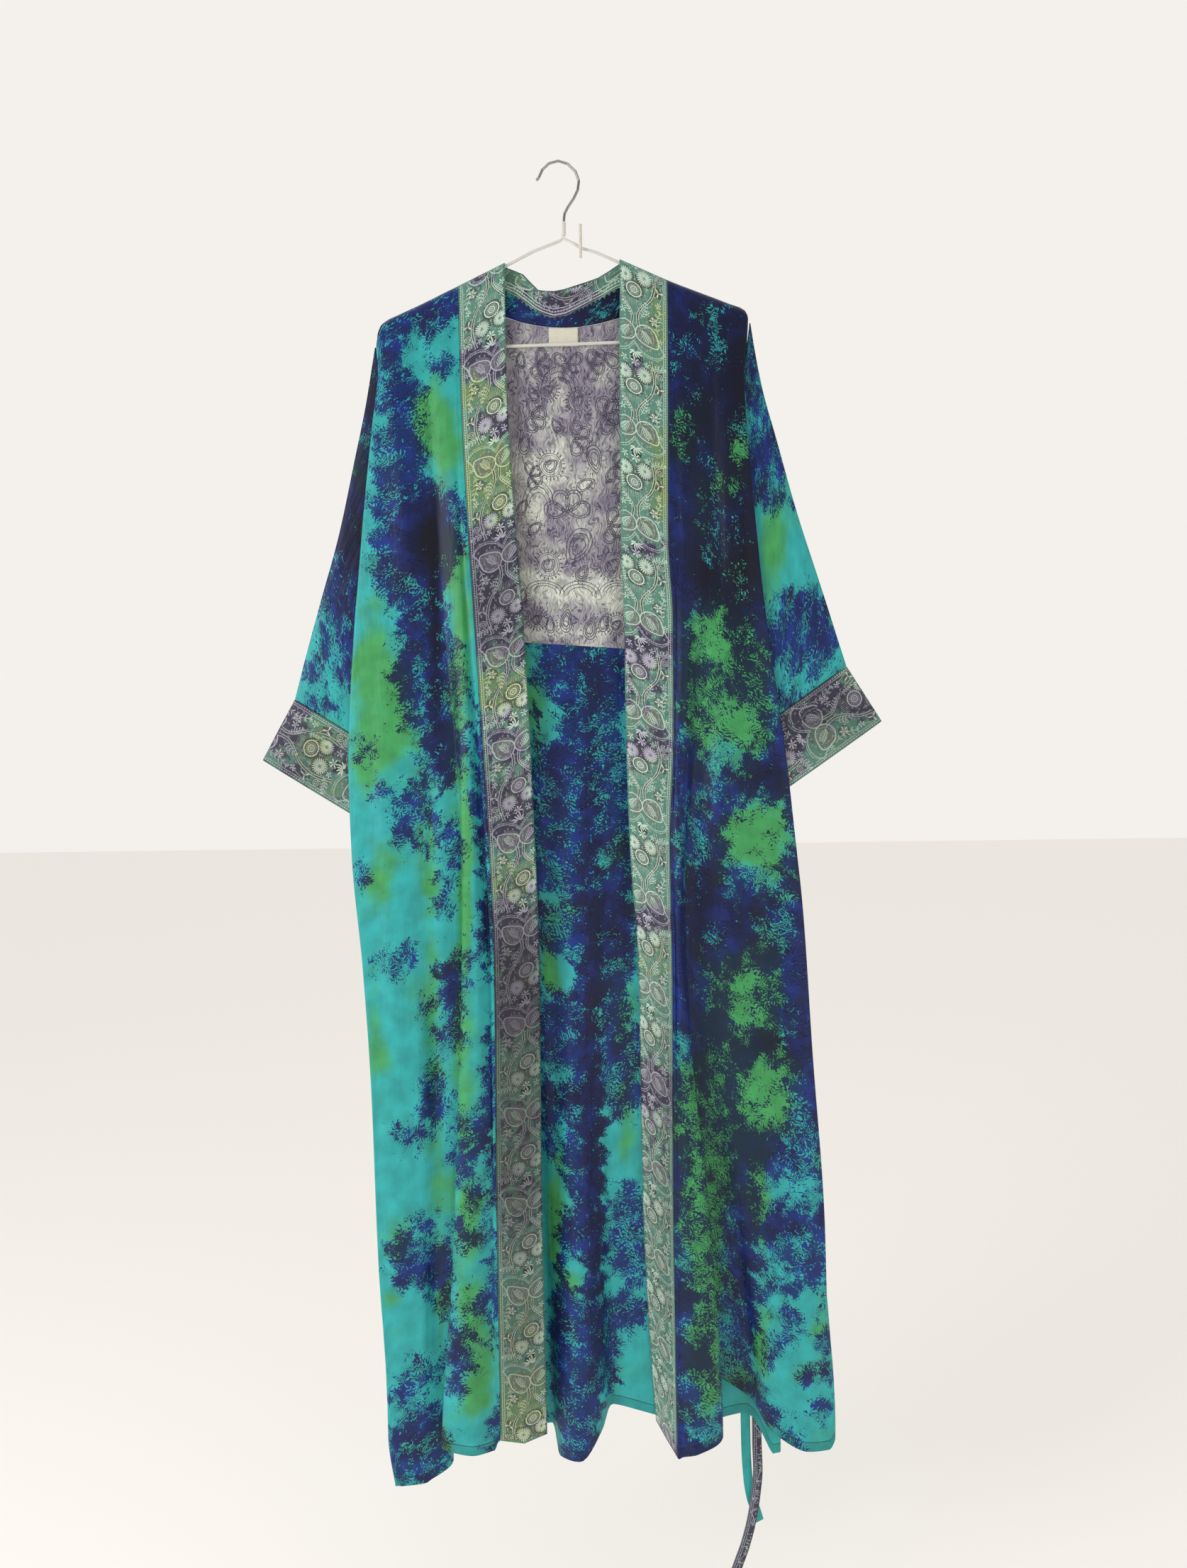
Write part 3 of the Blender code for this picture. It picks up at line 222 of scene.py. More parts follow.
# Lines of the back's cloth: place across it (None: from its x in the first section), depth on the
# hanger and drop at the hem. Sections: drop, then x and depth of each line.
BACK_LINES = (
    (-0.16, 13.2, 1486), (-0.13, 13.2, 1487), (-0.03, 13.8, 1488), (0.00, 16.1, 1489), (None, 16.1, 1458),
    (None, 16.1, 1446), (None, 8, 1436), (None, 8, 1468), (None, 8, 1465), (None, 8, 1437), (None, 8, 1413),
    (None, 16.1, 1436), (None, 16.1, 1427), (1.00, 16.1, 1482), (1.03, 13.8, 1481), (1.13, 13.2, 1480),
    (1.16, 13.2, 1479),
)
BACK_SECTIONS = (
    (40, -243, 12.2, -241.5, 12, -238, 11, -231, 9.5, -190, 9, -143.6, 8.2, -80, 8,
     -48, 8, -20, 8, 8, 8, 45, 8, 101.4, 8.2, 145, 9, 190, 10,
     193.5, 11, 196, 12, 197.2, 12.2),
    (110, -240.2, 13.2, -241.2, 12.2, -241, 10.6, -238.6, 8.7, -190, 8, -143.6, 8, -80, 8,
     -48, 8, -20, 8, 8, 8, 45, 8, 101.4, 8, 145, 8, 190, 8.5,
     191.8, 10.4, 193.2, 11.4, 193.0, 12.4),
    (200, -223.5, 10.9, -230, 10.5, -237, 10.4, -243, 7.6, -192, 8, -143.5, 8, -80, 8,
     -48, 8, -20, 8, 8, 8, 45, 8, 101.4, 8, 145, 8, 189, 7.6,
     186, 10.4, 182, 10.5, 177.5, 10.9),
    (300, -205.6, 10.9, -216, 10.5, -246, 10.4, -254, 7.6, -196, 8, -143.5, 8, -80, 8,
     -48, 8, -20, 8, 8, 8, 45, 8, 101.5, 8, 148, 8, 197, 7.6,
     190, 10.4, 172, 10.5, 165, 10.9),
    (385, -190, 12.9, -200, 10.5, -256, 10.4, -263, 7.6, -200, 8, -143, 8, -80, 8,
     -48, 8, -20, 8, 8, 8, 45, 8, 102, 8, 152, 8, 205, 7.6,
     197, 10.4, 162, 10.5, 154, 12.9),
    (430, -176, 16.8, -186, 10.5, -260, 10.4, -267, 7.6, -202, 8, -143, 8.2, -81, 8,
     -48, 8, -20, 8.2, 8, 8, 45, 8, 102, 8.2, 155, 8, 210, 7.6,
     202, 10.4, 151, 10.5, 141, 16.8),
    (620, -176, 16.8, -186, 10.5, -270, 10.4, -278, 7.6, -206, 8, -141, 9.5, -84, 8,
     -50, 8.5, -20, 10, 8, 8.5, 45, 8, 105, 9.5, 168, 8, 236, 7.6,
     228, 10.4, 151, 10.5, 141, 16.8),
    (710, -188, 16.8, -198, 10.4, -269, 10.4, -277, 7.6, -206, 8, -140, 11, -84, 8,
     -49, 9, -20, 12.5, 8, 9.2, 44, 8, 107, 11, 176, 8, 246, 7.6,
     238, 10.4, 184, 10.4, 174, 16.8),
    (850, -222, 16.8, -231, 11, -260, 10.4, -267, 7.6, -206, 8, -140, 13, -84, 8,
     -48, 11, -20, 18, 8, 11.5, 42, 8, 114, 11, 184, 8, 257, 7.6,
     250, 10.4, 226, 11, 217, 16.8),
    (1000, -240, 16.8, -248, 11.5, -255, 10, -261, 7.8, -206, 8, -140, 15.5, -74, 8,
     -47, 13.5, -19, 25, 8, 14, 36, 8, 118, 11.5, 192, 8, 266, 7.8,
     262, 10, 250, 11.5, 243, 16.8),
    (1200, -254, 15.5, -257, 12, -259, 10, -260, 8, -205, 8, -141, 19.5, -64, 8,
     -45, 19, -18, 34, 8, 19, 30, 8, 124, 12, 198, 8, 281, 8,
     280, 10, 278, 12, 276, 15),
    (1440, -245, 9.5, -243.5, 9, -239, 8.4, -236, 8.2, -200, 8, -142, 24, -54, 8,
     -43, 26, -17, 43, 8, 26, 23, 8, 128, 12, 190, 8, 226, 8.2,
     229, 8.4, 233.5, 9, 235, 9.5),
    (1490, -243, 9.5, -241.5, 9, -237, 8.4, -234, 8.2, -197, 8, -142, 24, -53, 8,
     -43, 27, -17, 44, 8, 26, 23, 8, 128, 12, 188, 8, 226, 8.2,
     229, 8.4, 233.5, 9, 235, 9.5),
)
BACK_OUTLINES = (3, 13)         # the lines at the back's two outline edges


def smooth(knots, values, at):
    """Cubic curves through the rows of values, one a column, which never run past the values:
    the slope at a knot is the harmonic mean of its neighbours' where they agree, else level."""
    knots = np.asarray(knots, float)
    values = np.asarray(values, float)
    step = np.diff(knots)
    slope = np.diff(values, axis=0) / step[:, None]
    before, after = slope[:-1], slope[1:]
    weight_before = (step[1:] * 2.0 + step[:-1])[:, None]
    weight_after = (step[1:] + step[:-1] * 2.0)[:, None]
    same_way = before * after > 0.0
    safe_before = np.where(same_way, before, 1.0)
    safe_after = np.where(same_way, after, 1.0)
    mean = (weight_before + weight_after) / (weight_before / safe_before + weight_after / safe_after)
    tangent = np.vstack([slope[:1], np.where(same_way, mean, 0.0), slope[-1:]])
    at = np.asarray(at, float)
    if at.ndim == 1:
        at = np.repeat(at[:, None], values.shape[1], axis=1)
    at = np.clip(at, knots[0], knots[-1])
    row = np.clip(np.searchsorted(knots, at, side="right") - 1, 0, len(step) - 1)
    column = np.arange(values.shape[1])[None, :]
    width = step[row]
    t = (at - knots[row]) / width
    start = (2 * t ** 3 - 3 * t ** 2 + 1) * values[row, column]
    leave = (t ** 3 - 2 * t ** 2 + t) * width * tangent[row, column]
    end = (3 * t ** 2 - 2 * t ** 3) * values[row + 1, column]
    arrive = (t ** 3 - t ** 2) * width * tangent[row + 1, column]
    return start + leave + end + arrive


def split_table(sections):
    """The drops, the x values and the depths of a table of sections."""
    rows = np.array(sections, float)
    return rows[:, 0], rows[:, 1::2], rows[:, 2::2]


def ridge_drop(x):
    """Drop of the line where the cloth lies over the hanger's arms: straight between points."""
    line = list(RIDGE_LEFT)
    line.extend((arm_x, arm_drop - RIDGE_LIFT) for arm_x, arm_drop in RIDGE_ARMS)
    line.extend(RIDGE_RIGHT)
    return np.interp(x, [p[0] for p in line], [p[1] for p in line])


def over_the_arm(depth, top_depth, below_top):
    """Bend a sheet over the hanger's arm: a quarter circle in the first drop below its top."""
    fall = np.clip(below_top / RIDGE_ROUND, 0.0, 1.0)
    return top_depth + (depth - top_depth) * np.sqrt(1.0 - (1.0 - fall) ** 2)


def rows_between(top, hem, pitch=5.6):
    """Drops of a panel's rows: close together over the arm and at the hem, even between."""
    starts = (0.0, 0.4, 1.0, 2.0, 3.5, 5.2, 7.0, RIDGE_ROUND)
    ends = (HEM_TURN + 1.0, HEM_TURN, HEM_TURN - 1.0, 7.0, 3.0, 1.0, 0.3, 0.0)
    count = int((hem.max() - top.min() - 30.0) / pitch)
    high, low = top + RIDGE_ROUND + 2.0, hem - HEM_TURN - 3.0
    drops = [top + start for start in starts]
    drops.extend(high + (low - high) * share for share in np.linspace(0.0, 1.0, count))
    drops.extend(hem - end for end in ends)
    return np.array(drops)


HEM_STITCH_ROW = -7             # the row that lies HEM_TURN above a hem


def neck_stations():
    """Free and sewn edge of the back neck band, closed to the ridge at both shoulders."""
    ridge_depth = WIRE_DEPTH - RIDGE_GAP
    first, last = NECK_STATIONS[0], NECK_STATIONS[-1]
    start = (-89.0, ridge_drop(-89.0), ridge_depth, first[3], ridge_drop(first[3]), ridge_depth)
    end = (46.0, ridge_drop(46.0), ridge_depth, last[3], ridge_drop(last[3]), ridge_depth)
    return np.array([start, *NECK_STATIONS, end], float)


back_drops, back_x, back_depth = split_table(BACK_SECTIONS)
back_first, back_last = (back_x[0, n] for n in BACK_OUTLINES)
back_place = np.array([(back_x[0, n] - back_first) / (back_last - back_first) if row[0] is None else row[0]
                       for n, row in enumerate(BACK_LINES)])
back_hems = np.array([row[2] for row in BACK_LINES], float)


def back_surface(across, drop):
    """x and depth of the back at places across it and drops: its lines are smoothed across the
    cloth in every section first, and then down the sections."""
    x_lines = smooth(back_place, back_x.T, across).T
    depth_lines = smooth(back_place, back_depth.T, across).T
    return smooth(back_drops, x_lines, drop), smooth(back_drops, depth_lines, drop)


def back_share(x):
    """Place across the back of a line that starts at x on its top edge."""
    return (np.asarray(x, float) - back_first) / (back_last - back_first)


CREASE_SWAY, CREASE_SWAY_LENGTH = 3.0, 71.0
CREASE_UNEVEN, CREASE_UNEVEN_LENGTH = 0.3, 47.0


def soft_creases(creases, x, drop):
    """Depth that the hanging cloth gains where it is creased. Each crease is its upper end (x, drop),
    its lower end, a width w and a height h, which is below nought for a trough. At distance d from
    its path it adds h exp(-(d / w) ^ 2), rising and falling as (sin pi t) ^ 0.8 from end to end,
    and both the path and the height wander in a sine along the drop."""
    gain = np.zeros(np.broadcast(x, drop).shape)
    for number, (top_x, top_drop, low_x, low_drop, width, height) in enumerate(creases):
        along = np.clip((drop - top_drop) / (low_drop - top_drop), 0.0, 1.0)
        sway = CREASE_SWAY * np.sin(drop / CREASE_SWAY_LENGTH + 2.1 * number)
        path = top_x + (low_x - top_x) * along + sway
        uneven = 1.0 + CREASE_UNEVEN * np.sin(drop / CREASE_UNEVEN_LENGTH + 1.7 * number)
        gain += height * uneven * np.sin(math.pi * along) ** 0.8 * np.exp(-((x - path) / width) ** 2)
    return gain


# Soft creases of the back: upper end, lower end, width and height.
BACK_CREASES = (
    (-60, 520, -66, 1410, 13, 3), (-32, 560, -36, 1300, 10, -2.2), (44, 520, 56, 1400, 13, -3),
    (78, 520, 92, 1380, 12, 3), (122, 500, 132, 1400, 16, 2.4), (-112, 500, -122, 1400, 16, 2.4),
    (-180, 500, -190, 1400, 20, -3), (-225, 600, -235, 1400, 14, 2.4), (188, 500, 200, 1400, 20, 3),
)


CREASE_FREE_SIDE = 0.1          # share of the back's width over which its creases fade at a side
BACK_FINENESS = 3               # steps between two of the places below


def back_grid():
    """Points of the back. Its top edge follows the ridge, and the neck band's seam between."""
    stations = neck_stations()
    sewn = stations[:, 3:]
    away = sewn - stations[:, :3]
    away /= np.linalg.norm(away, axis=1)[:, None]
    away[0] = (-1.0, 0.0, 0.0)
    away[-1] = (1.0, 0.0, 0.0)
    neck = sewn + away * NECK_GAP
    spread = neck[:, 0].copy()
    for number in range(NECK_CROWDED, 0, -1):
        spread[number - 1] = min(spread[number - 1], spread[number] - NECK_SPREAD)
    for number in range(len(spread) - NECK_CROWDED - 1, len(spread) - 1):
        spread[number + 1] = max(spread[number + 1], spread[number] + NECK_SPREAD)
    side_places = ((-0.16, -0.13, -0.08, -0.03, 0.0, 0.03, 0.09, 0.15),
                   (0.88, 0.94, 0.975, 1.0, 1.03, 1.08, 1.13, 1.16))
    coarse = np.concatenate([side_places[0], back_share(spread), side_places[1]])
    first, last = len(side_places[0]), len(side_places[0]) + len(spread)
    top_x, _ = back_surface(coarse, np.full((1, len(coarse)), back_drops[0]))
    top = ridge_drop(top_x[0])
    top_depth = np.interp(coarse, back_place, [row[1] for row in BACK_LINES])
    top[first:last] = neck[:, 1]
    top_depth[first:last] = neck[:, 2]
    shift = np.zeros(len(coarse))
    shift[first:last] = neck[:, 0] - top_x[0, first:last]
    number = np.arange(len(coarse))
    fine = np.linspace(0.0, len(coarse) - 1.0, (len(coarse) - 1) * BACK_FINENESS + 1)
    across, top, top_depth, shift = (np.interp(fine, number, v) for v in (coarse, top, top_depth, shift))
    hem = smooth(back_place, back_hems[:, None], across)[:, 0]
    drop = rows_between(top, hem)
    x, depth = back_surface(across, drop)
    fade = np.clip(1.0 - (drop - top) / NECK_FADE, 0.0, 1.0)
    depth = over_the_arm(depth, top_depth, drop - top)
    flat_part = (np.clip(across / CREASE_FREE_SIDE, 0.0, 1.0)
                 * np.clip((1.0 - across) / CREASE_FREE_SIDE, 0.0, 1.0))
    depth = depth + soft_creases(BACK_CREASES, x, drop) * flat_part
    return np.stack([x + shift * fade, depth, drop], axis=2)


def cloth_lengths(points):
    """Lengths along the cloth at each point of a grid: across from its middle column, and down
    from its top row, added up from point to point."""
    across = np.linalg.norm(np.diff(points, axis=1), axis=2)
    across = np.concatenate([np.zeros((len(points), 1)), np.cumsum(across, axis=1)], axis=1)
    across -= across[:, [across.shape[1] // 2]]
    down = np.linalg.norm(np.diff(points, axis=0), axis=2)
    down = np.concatenate([np.zeros((1, points.shape[1])), np.cumsum(down, axis=0)], axis=0)
    return across, down


def length_along(path):
    """Length along a line of points at each of them."""
    return np.concatenate([[0.0], np.cumsum(np.linalg.norm(np.diff(path, axis=0), axis=1))])


def grid_normals(points):
    """Unit normals of a grid of points, from its steps down and across."""
    across = np.gradient(points, axis=1)
    down = np.gradient(points, axis=0)
    normal = np.cross(down, across)
    return normal / (np.linalg.norm(normal, axis=2, keepdims=True) + 1e-9)


def grid_faces(rows, columns, closed=False):
    """Four-cornered faces of a grid. closed joins its last column to its first."""
    last = columns if closed else columns - 1
    row, column = np.meshgrid(np.arange(rows - 1), np.arange(last), indexing="ij")
    after = (column + 1) % columns
    corners = (row * columns + column, row * columns + after,
               (row + 1) * columns + after, (row + 1) * columns + column)
    return np.stack(corners, axis=2).reshape(-1, 4)


def make_piece(name, places, faces, finish, values=None):
    """An object from places (x, depth, drop) and faces. values are numbers or vectors at each
    place, which the finish reads as attributes."""
    mesh = bpy.data.meshes.new(name)
    mesh.from_pydata((places.reshape(-1, 3) * (MM, -MM, -MM)).tolist(), [], faces.tolist())
    mesh.shade_smooth()
    for key, value in (values or {}).items():
        vector = value.shape[-1] == 3 and value.ndim == places.ndim
        layer = mesh.attributes.new(key, "FLOAT_VECTOR" if vector else "FLOAT", "POINT")
        layer.data.foreach_set("vector" if vector else "value", value.astype(np.float32).ravel())
    mesh.materials.append(finish)
    made = bpy.data.objects.new(name, mesh)
    bpy.context.scene.collection.objects.link(made)
    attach(made, "root")
    return made


def make_cloth(name, points, finish, values, thickness=CLOTH, closed=False):
    """A sheet from a grid of points, given its wall, half to each side."""
    made = make_piece(name, points, grid_faces(*points.shape[:2], closed), finish, values)
    wall = made.modifiers.new("wall", "SOLIDIFY")
    wall.thickness = thickness * MM
    wall.offset = 0.0
    wall.use_even_offset = True
    wall.use_quality_normals = True
    return made


def lay_on(points, middle, row, column, rise, faces, closed=False):
    """Places at rows and columns of a cloth's grid, read straight between its points and moved
    out from its face by rise, away from the depth called middle. Faces are turned outwards."""
    normal = grid_normals(points)
    if np.sum(normal[:, :, 1] * (points[:, :, 1] - middle)) < 0.0:
        normal = -normal
    row = np.clip(row, 0.0, points.shape[0] - 1.001)
    low_row = row.astype(int)
    part_row = (row - low_row)[:, None]
    if closed:
        column = column % points.shape[1]
        low_column = column.astype(int)
        high_column = (low_column + 1) % points.shape[1]
    else:
        column = np.clip(column, 0.0, points.shape[1] - 1.001)
        low_column = column.astype(int)
        high_column = low_column + 1
    part_column = (column - low_column)[:, None]

    def read(grid):
        above, below = (grid[at, low_column] * (1 - part_column) + grid[at, high_column] * part_column
                        for at in (low_row, low_row + 1))
        return above * (1 - part_row) + below * part_row

    out = read(normal)
    out /= np.linalg.norm(out, axis=1)[:, None] + 1e-9
    places = read(points) + out * (CLOTH / 2 + rise)[:, None]
    corner = places[faces]
    facing = np.cross(corner[:, 1] - corner[:, 0], corner[:, 2] - corner[:, 0])
    turned = np.sum(facing * out[faces[:, 0]], axis=1)
    return places, np.where((turned < 0.0)[:, None], faces[:, ::-1], faces)


# Sewing thread: spun polyester, matt and dark blue, a shade darker in its twist.
sewing_thread = new_finish("sewing_thread", Roughness=0.7)
waver(sewing_thread, 1600.0, "141a33", "33435f")

STITCH_PITCH = 3.2
STITCH_LENGTH, STITCH_WIDTH, STITCH_RISE = 2.3, 0.5, 0.3


def sew(name, points, lines, finish=sewing_thread, middle=0.0, closed=False):
    """Stitches along lines of rows and columns on a cloth's face, away from the depth called
    middle. Each is a small eight-sided grain, and all are one mesh."""
    unused = np.zeros((1, 4), int)
    grains = []
    for row, column in lines:
        row, column = np.broadcast_arrays(np.asarray(row, float), np.asarray(column, float))
        face, above = (lay_on(points, middle, row, column, np.full(len(row), rise), unused, closed)[0]
                       for rise in (0.0, 1.0))
        length = length_along(face)
        at = np.arange(STITCH_PITCH, length[-1] - STITCH_PITCH, STITCH_PITCH)
        spot, out, ahead = (np.stack([np.interp(at, length, track[:, n]) for n in range(3)], axis=1)
                            for track in (face, above - face, np.gradient(face, axis=0)))
        ahead /= np.linalg.norm(ahead, axis=1)[:, None]
        aside = np.cross(out, ahead) * STITCH_WIDTH / 2.0
        ahead *= STITCH_LENGTH / 2.0
        out *= STITCH_RISE
        corners = np.stack([ahead, aside, -ahead, -aside, out, out * -0.4], axis=1)
        grains.append((spot[:, None, :] + corners).reshape(-1, 3))
    places = np.vstack(grains)
    grain = np.array([(n, (n + 1) % 4, 4) for n in range(4)] + [((n + 1) % 4, n, 5) for n in range(4)])
    faces = (grain[None, :, :] + (np.arange(len(places) // 6) * 6)[:, None, None]).reshape(-1, 3)
    return make_piece(name, places, faces, finish)


FAR_OUTSIDE = -60.0


def patch_depth(table, points):
    """How far each point lies inside the nearest of a table's ellipses, in mm and below zero
    outside them. Inside, it is the share of the way in times the lesser radius, up to a cap;
    outside, it is the distance back to the edge along the line to the centre. The outlines
    wander by up to 9 mm, with waves of 17 to 40 mm."""
    x, drop = points[..., 0], points[..., 2]
    found = np.full(x.shape, FAR_OUTSIDE)
    aside = 4.5 * np.sin(drop / 6.3 + 1.7 * np.sin(x / 9.0))
    below = 5.0 * np.sin(x / 5.1 + 1.9 * np.sin(drop / 13.0))
    x, drop = (x + aside + 4.0 * np.sin(drop / 2.9 - x / 4.1),
               drop + below + 4.0 * np.sin(x / 2.7 + drop / 5.3))
    for centre_x, centre_drop, reach_x, reach_drop, cap, *turn in table:
        a = math.radians(turn[0] if turn else 0.0)
        away_x, away_drop = x - centre_x, drop - centre_drop
        across = (away_x * math.cos(a) + away_drop * math.sin(a)) / reach_x
        along = (away_drop * math.cos(a) - away_x * math.sin(a)) / reach_drop
        ratio = np.hypot(across, along) + 1e-6
        reach = np.where(ratio < 1.0, min(reach_x, reach_drop), np.hypot(away_x, away_drop) / ratio)
        found = np.maximum(found, np.minimum((1.0 - ratio) * reach, cap))
    return found


def soft_patches(table, points):
    """Sum of soft round patches: each falls off as a bell curve over its two radii."""
    x, drop = points[..., 0], points[..., 2]
    found = np.zeros(x.shape)
    for centre_x, centre_drop, reach_x, reach_drop, amount in table:
        ratio = ((x - centre_x) / reach_x) ** 2 + ((drop - centre_drop) / reach_drop) ** 2
        found += amount * np.exp(-1.1 * ratio)
    return np.clip(found, 0.0, 1.0)


NO_HEM = 99.0                   # a distance to the hem that is past every hem


def dye_values(points, navy, green=0.0, deep=0.0, hemmed=True):
    """What the silk's finish reads: lengths on the cloth and the distance to its hem; how far
    inside the navy, how green and how black, where the green and the black are partly painted
    shade in creases and deep folds; and the way out of the navy, at twice its angle."""
    across, down = cloth_lengths(points)
    hem_edge = down[-1] - down if hemmed else np.full(down.shape, NO_HEM)
    step_across = np.gradient(across, axis=1) + 1e-6
    step_down = np.gradient(down, axis=0) + 1e-6
    slope_across = np.gradient(navy, axis=1) / step_across
    slope_down = np.gradient(navy, axis=0) / step_down
    angle = 2.0 * np.arctan2(slope_down, slope_across)
    return {
        "cloth": np.stack([across, down, hem_edge], axis=2),
        "dye": np.stack(np.broadcast_arrays(navy, green, deep), axis=2),
        "lie": np.stack([np.cos(angle), np.sin(angle), np.zeros_like(angle)], axis=2),
    }


# The silk is thin plain weave, dyed over an older print: a low satin sheen, smooth teal and green
# with navy dye that crept in fern-like strokes 2 mm wide. Its own weave is too fine to show.
dyed_silk = new_finish("dyed_silk", Roughness=0.46, Specular_IOR_Level=0.28, Sheen_Weight=0.03)
silk_node = partial(add_node, dyed_silk)
silk_cloth, silk_dye, silk_lie = (silk_node("Attribute", attribute_name=name)
                                  for name in ("cloth", "dye", "lie"))
silk_cloth_parts, silk_dye_parts, silk_lie_parts = (
    silk_node("SeparateXYZ", {0: (node, "Vector")}) for node in (silk_cloth, silk_dye, silk_lie))
# Where the strokes lie: the pattern is pulled about by 5 mm over lengths of 14 mm.
silk_drift = silk_node("TexNoise", {"Vector": (silk_cloth, "Vector"), "Scale": 1 / 14, "Detail": 2.0},
                       noise_dimensions="2D")
silk_pull = silk_node("VectorMath", {0: (silk_drift, "Color"), 1: (0.5, 0.5, 0.5)}, operation="SUBTRACT")
silk_pull_mm = silk_node("VectorMath", {0: silk_pull, "Scale": 16.0}, operation="SCALE")
silk_moved = silk_node("VectorMath", {0: (silk_cloth, "Vector"), 1: silk_pull_mm}, operation="ADD")
silk_angle = silk_node("Math", {0: (silk_lie_parts, 1), 1: (silk_lie_parts, 0)}, operation="ARCTAN2")
silk_half = silk_node("Math", {0: silk_angle, 1: 0.5, 2: math.pi / 2}, operation="MULTIPLY_ADD")
silk_sway = silk_node("Math", {0: (silk_drift, 0), 1: 2.6, 2: -1.3}, operation="MULTIPLY_ADD")
silk_stroke_angle = silk_node("Math", {0: silk_half, 1: silk_sway}, operation="ADD")
# Strokes about 2 mm wide and 10 mm long that point out of the navy, and side strokes that cross
# them. Each shows through the other dye: navy outside the patches' edges, teal inside.
silk_strokes = silk_node("TexGabor", {0: silk_moved, 1: 1 / 12, 2: 2.9, 3: 0.86, 4: silk_stroke_angle},
                         gabor_type="2D")
silk_side_angle = silk_node("Math", {0: silk_stroke_angle, 1: 0.85}, operation="ADD")
silk_sides = silk_node("TexGabor", {0: silk_moved, 1: 1 / 9, 2: 2.5, 3: 0.86, 4: silk_side_angle},
                       gabor_type="2D")
silk_grit = silk_node("TexNoise", {"Vector": silk_moved, "Scale": 1 / 6, "Detail": 2.0,
                                   "Roughness": 0.5}, noise_dimensions="2D")
# The patches themselves are broken up by a coarser unevenness, 26 mm across.
silk_break = silk_node("TexNoise", {"Vector": (silk_cloth, "Vector"), "Scale": 1 / 26, "Detail": 5.0,
                                    "Roughness": 0.65}, noise_dimensions="2D")
silk_depth = silk_node("Math", {0: silk_dye_parts, 1: 1.25}, operation="MULTIPLY")
silk_field = silk_depth
for silk_part, silk_weight in ((silk_strokes, 54.0), (silk_sides, 32.0), (silk_grit, 16.0),
                               (silk_break, 64.0)):
    silk_field = silk_node("Math", {0: silk_part, 1: silk_weight, 2: silk_field}, operation="MULTIPLY_ADD")
silk_navy = silk_node("MapRange", {0: silk_field, 1: 75.6, 2: 79.0}, interpolation_type="SMOOTHSTEP")
# The ground: teal, green clouds some 55 mm across, and a little unevenness everywhere.
silk_cloud = silk_node("TexNoise", {"Vector": (silk_cloth, "Vector"), "Scale": 1 / 55, "Detail": 5.0,
                                    "Roughness": 0.55}, noise_dimensions="2D")
silk_green = silk_node("Math", {0: (silk_cloud, 0), 1: 1.5, 2: (silk_dye_parts, 1)}, operation="MULTIPLY_ADD")
silk_green_share = silk_node("MapRange", {0: silk_green, 1: 0.85, 2: 1.6}, interpolation_type="SMOOTHSTEP")
silk_ground = silk_node("Mix", {0: silk_green_share, 6: hex_colour("34aeae"), 7: hex_colour("46a35f")},
                        data_type="RGBA")
silk_uneven = silk_node("TexNoise", {"Vector": (silk_cloth, "Vector"), "Scale": 1 / 22, "Detail": 4.0},
                        noise_dimensions="2D")
silk_paler = silk_node("MapRange", {0: silk_uneven, 1: 0.3, 2: 0.75, 3: 0.82, 4: 1.12})
silk_ground = silk_node("VectorMath", {0: (silk_ground, 2), "Scale": silk_paler}, operation="SCALE")
# What shows through the navy took some of it.
silk_dim_fac = silk_node("MapRange", {0: silk_depth, 1: -5.0, 2: 12.0, 4: 0.6})
silk_dim = silk_node("VectorMath", {0: silk_ground, 1: (0.26, 0.5, 0.7)}, operation="MULTIPLY")
silk_ground = silk_node("Mix", {0: silk_dim_fac, 6: silk_ground, 7: silk_dim}, data_type="RGBA")
# The older print shows in the ground as fine blackish veins, only where the navy is near.
silk_vein = silk_node("MapRange", {0: silk_sides, 1: 0.48, 2: 0.58, 4: 0.75})
silk_near = silk_node("MapRange", {0: silk_depth, 1: -14.0, 2: -2.0})
silk_vein_share = silk_node("Math", {0: silk_vein, 1: silk_near}, operation="MULTIPLY")
silk_ground = silk_node("Mix", {0: silk_vein_share, 6: (silk_ground, 2), 7: hex_colour("0c2036")},
                        data_type="RGBA")
# The navy: bluer at its edge, royal blue in patches of 22 mm and violet in clouds of 55 mm, greenish
# black over the green and near black in its heart, and near black too where painted shade darkens
# it in deep folds.
silk_ink_fac = silk_node("MapRange", {0: silk_strokes, 1: 0.42, 2: 0.66})
silk_ink = silk_node("Mix", {0: silk_ink_fac, 6: hex_colour("16286c"), 7: hex_colour("0b0f2e")},
                     data_type="RGBA")
silk_edge_fac = silk_node("MapRange", {0: silk_depth, 1: -6.0, 2: 9.0, 3: 0.75, 4: 0.0})
silk_royal_fac = silk_node("MapRange", {0: silk_uneven, 1: 0.48, 2: 0.64, 4: 0.6})
silk_violet_fac = silk_node("MapRange", {0: silk_cloud, 1: 0.48, 2: 0.66, 4: 0.7})
silk_green_ink_fac = silk_node("Math", {0: silk_green_share, 1: 0.85}, operation="MULTIPLY")
for silk_share, silk_tint in ((silk_edge_fac, "184580"), (silk_royal_fac, "1f3894"),
                              (silk_violet_fac, "1d1648"), (silk_green_ink_fac, "112c3a"),
                              # near black: dye, and painted shade in deep folds
                              ((silk_dye_parts, 2), "0a0d20")):
    silk_ink = silk_node("Mix", {0: silk_share, 6: (silk_ink, 2), 7: hex_colour(silk_tint)}, data_type="RGBA")
silk_colour = silk_node("Mix", {0: silk_navy, 6: (silk_ground, 2), 7: (silk_ink, 2)}, data_type="RGBA")
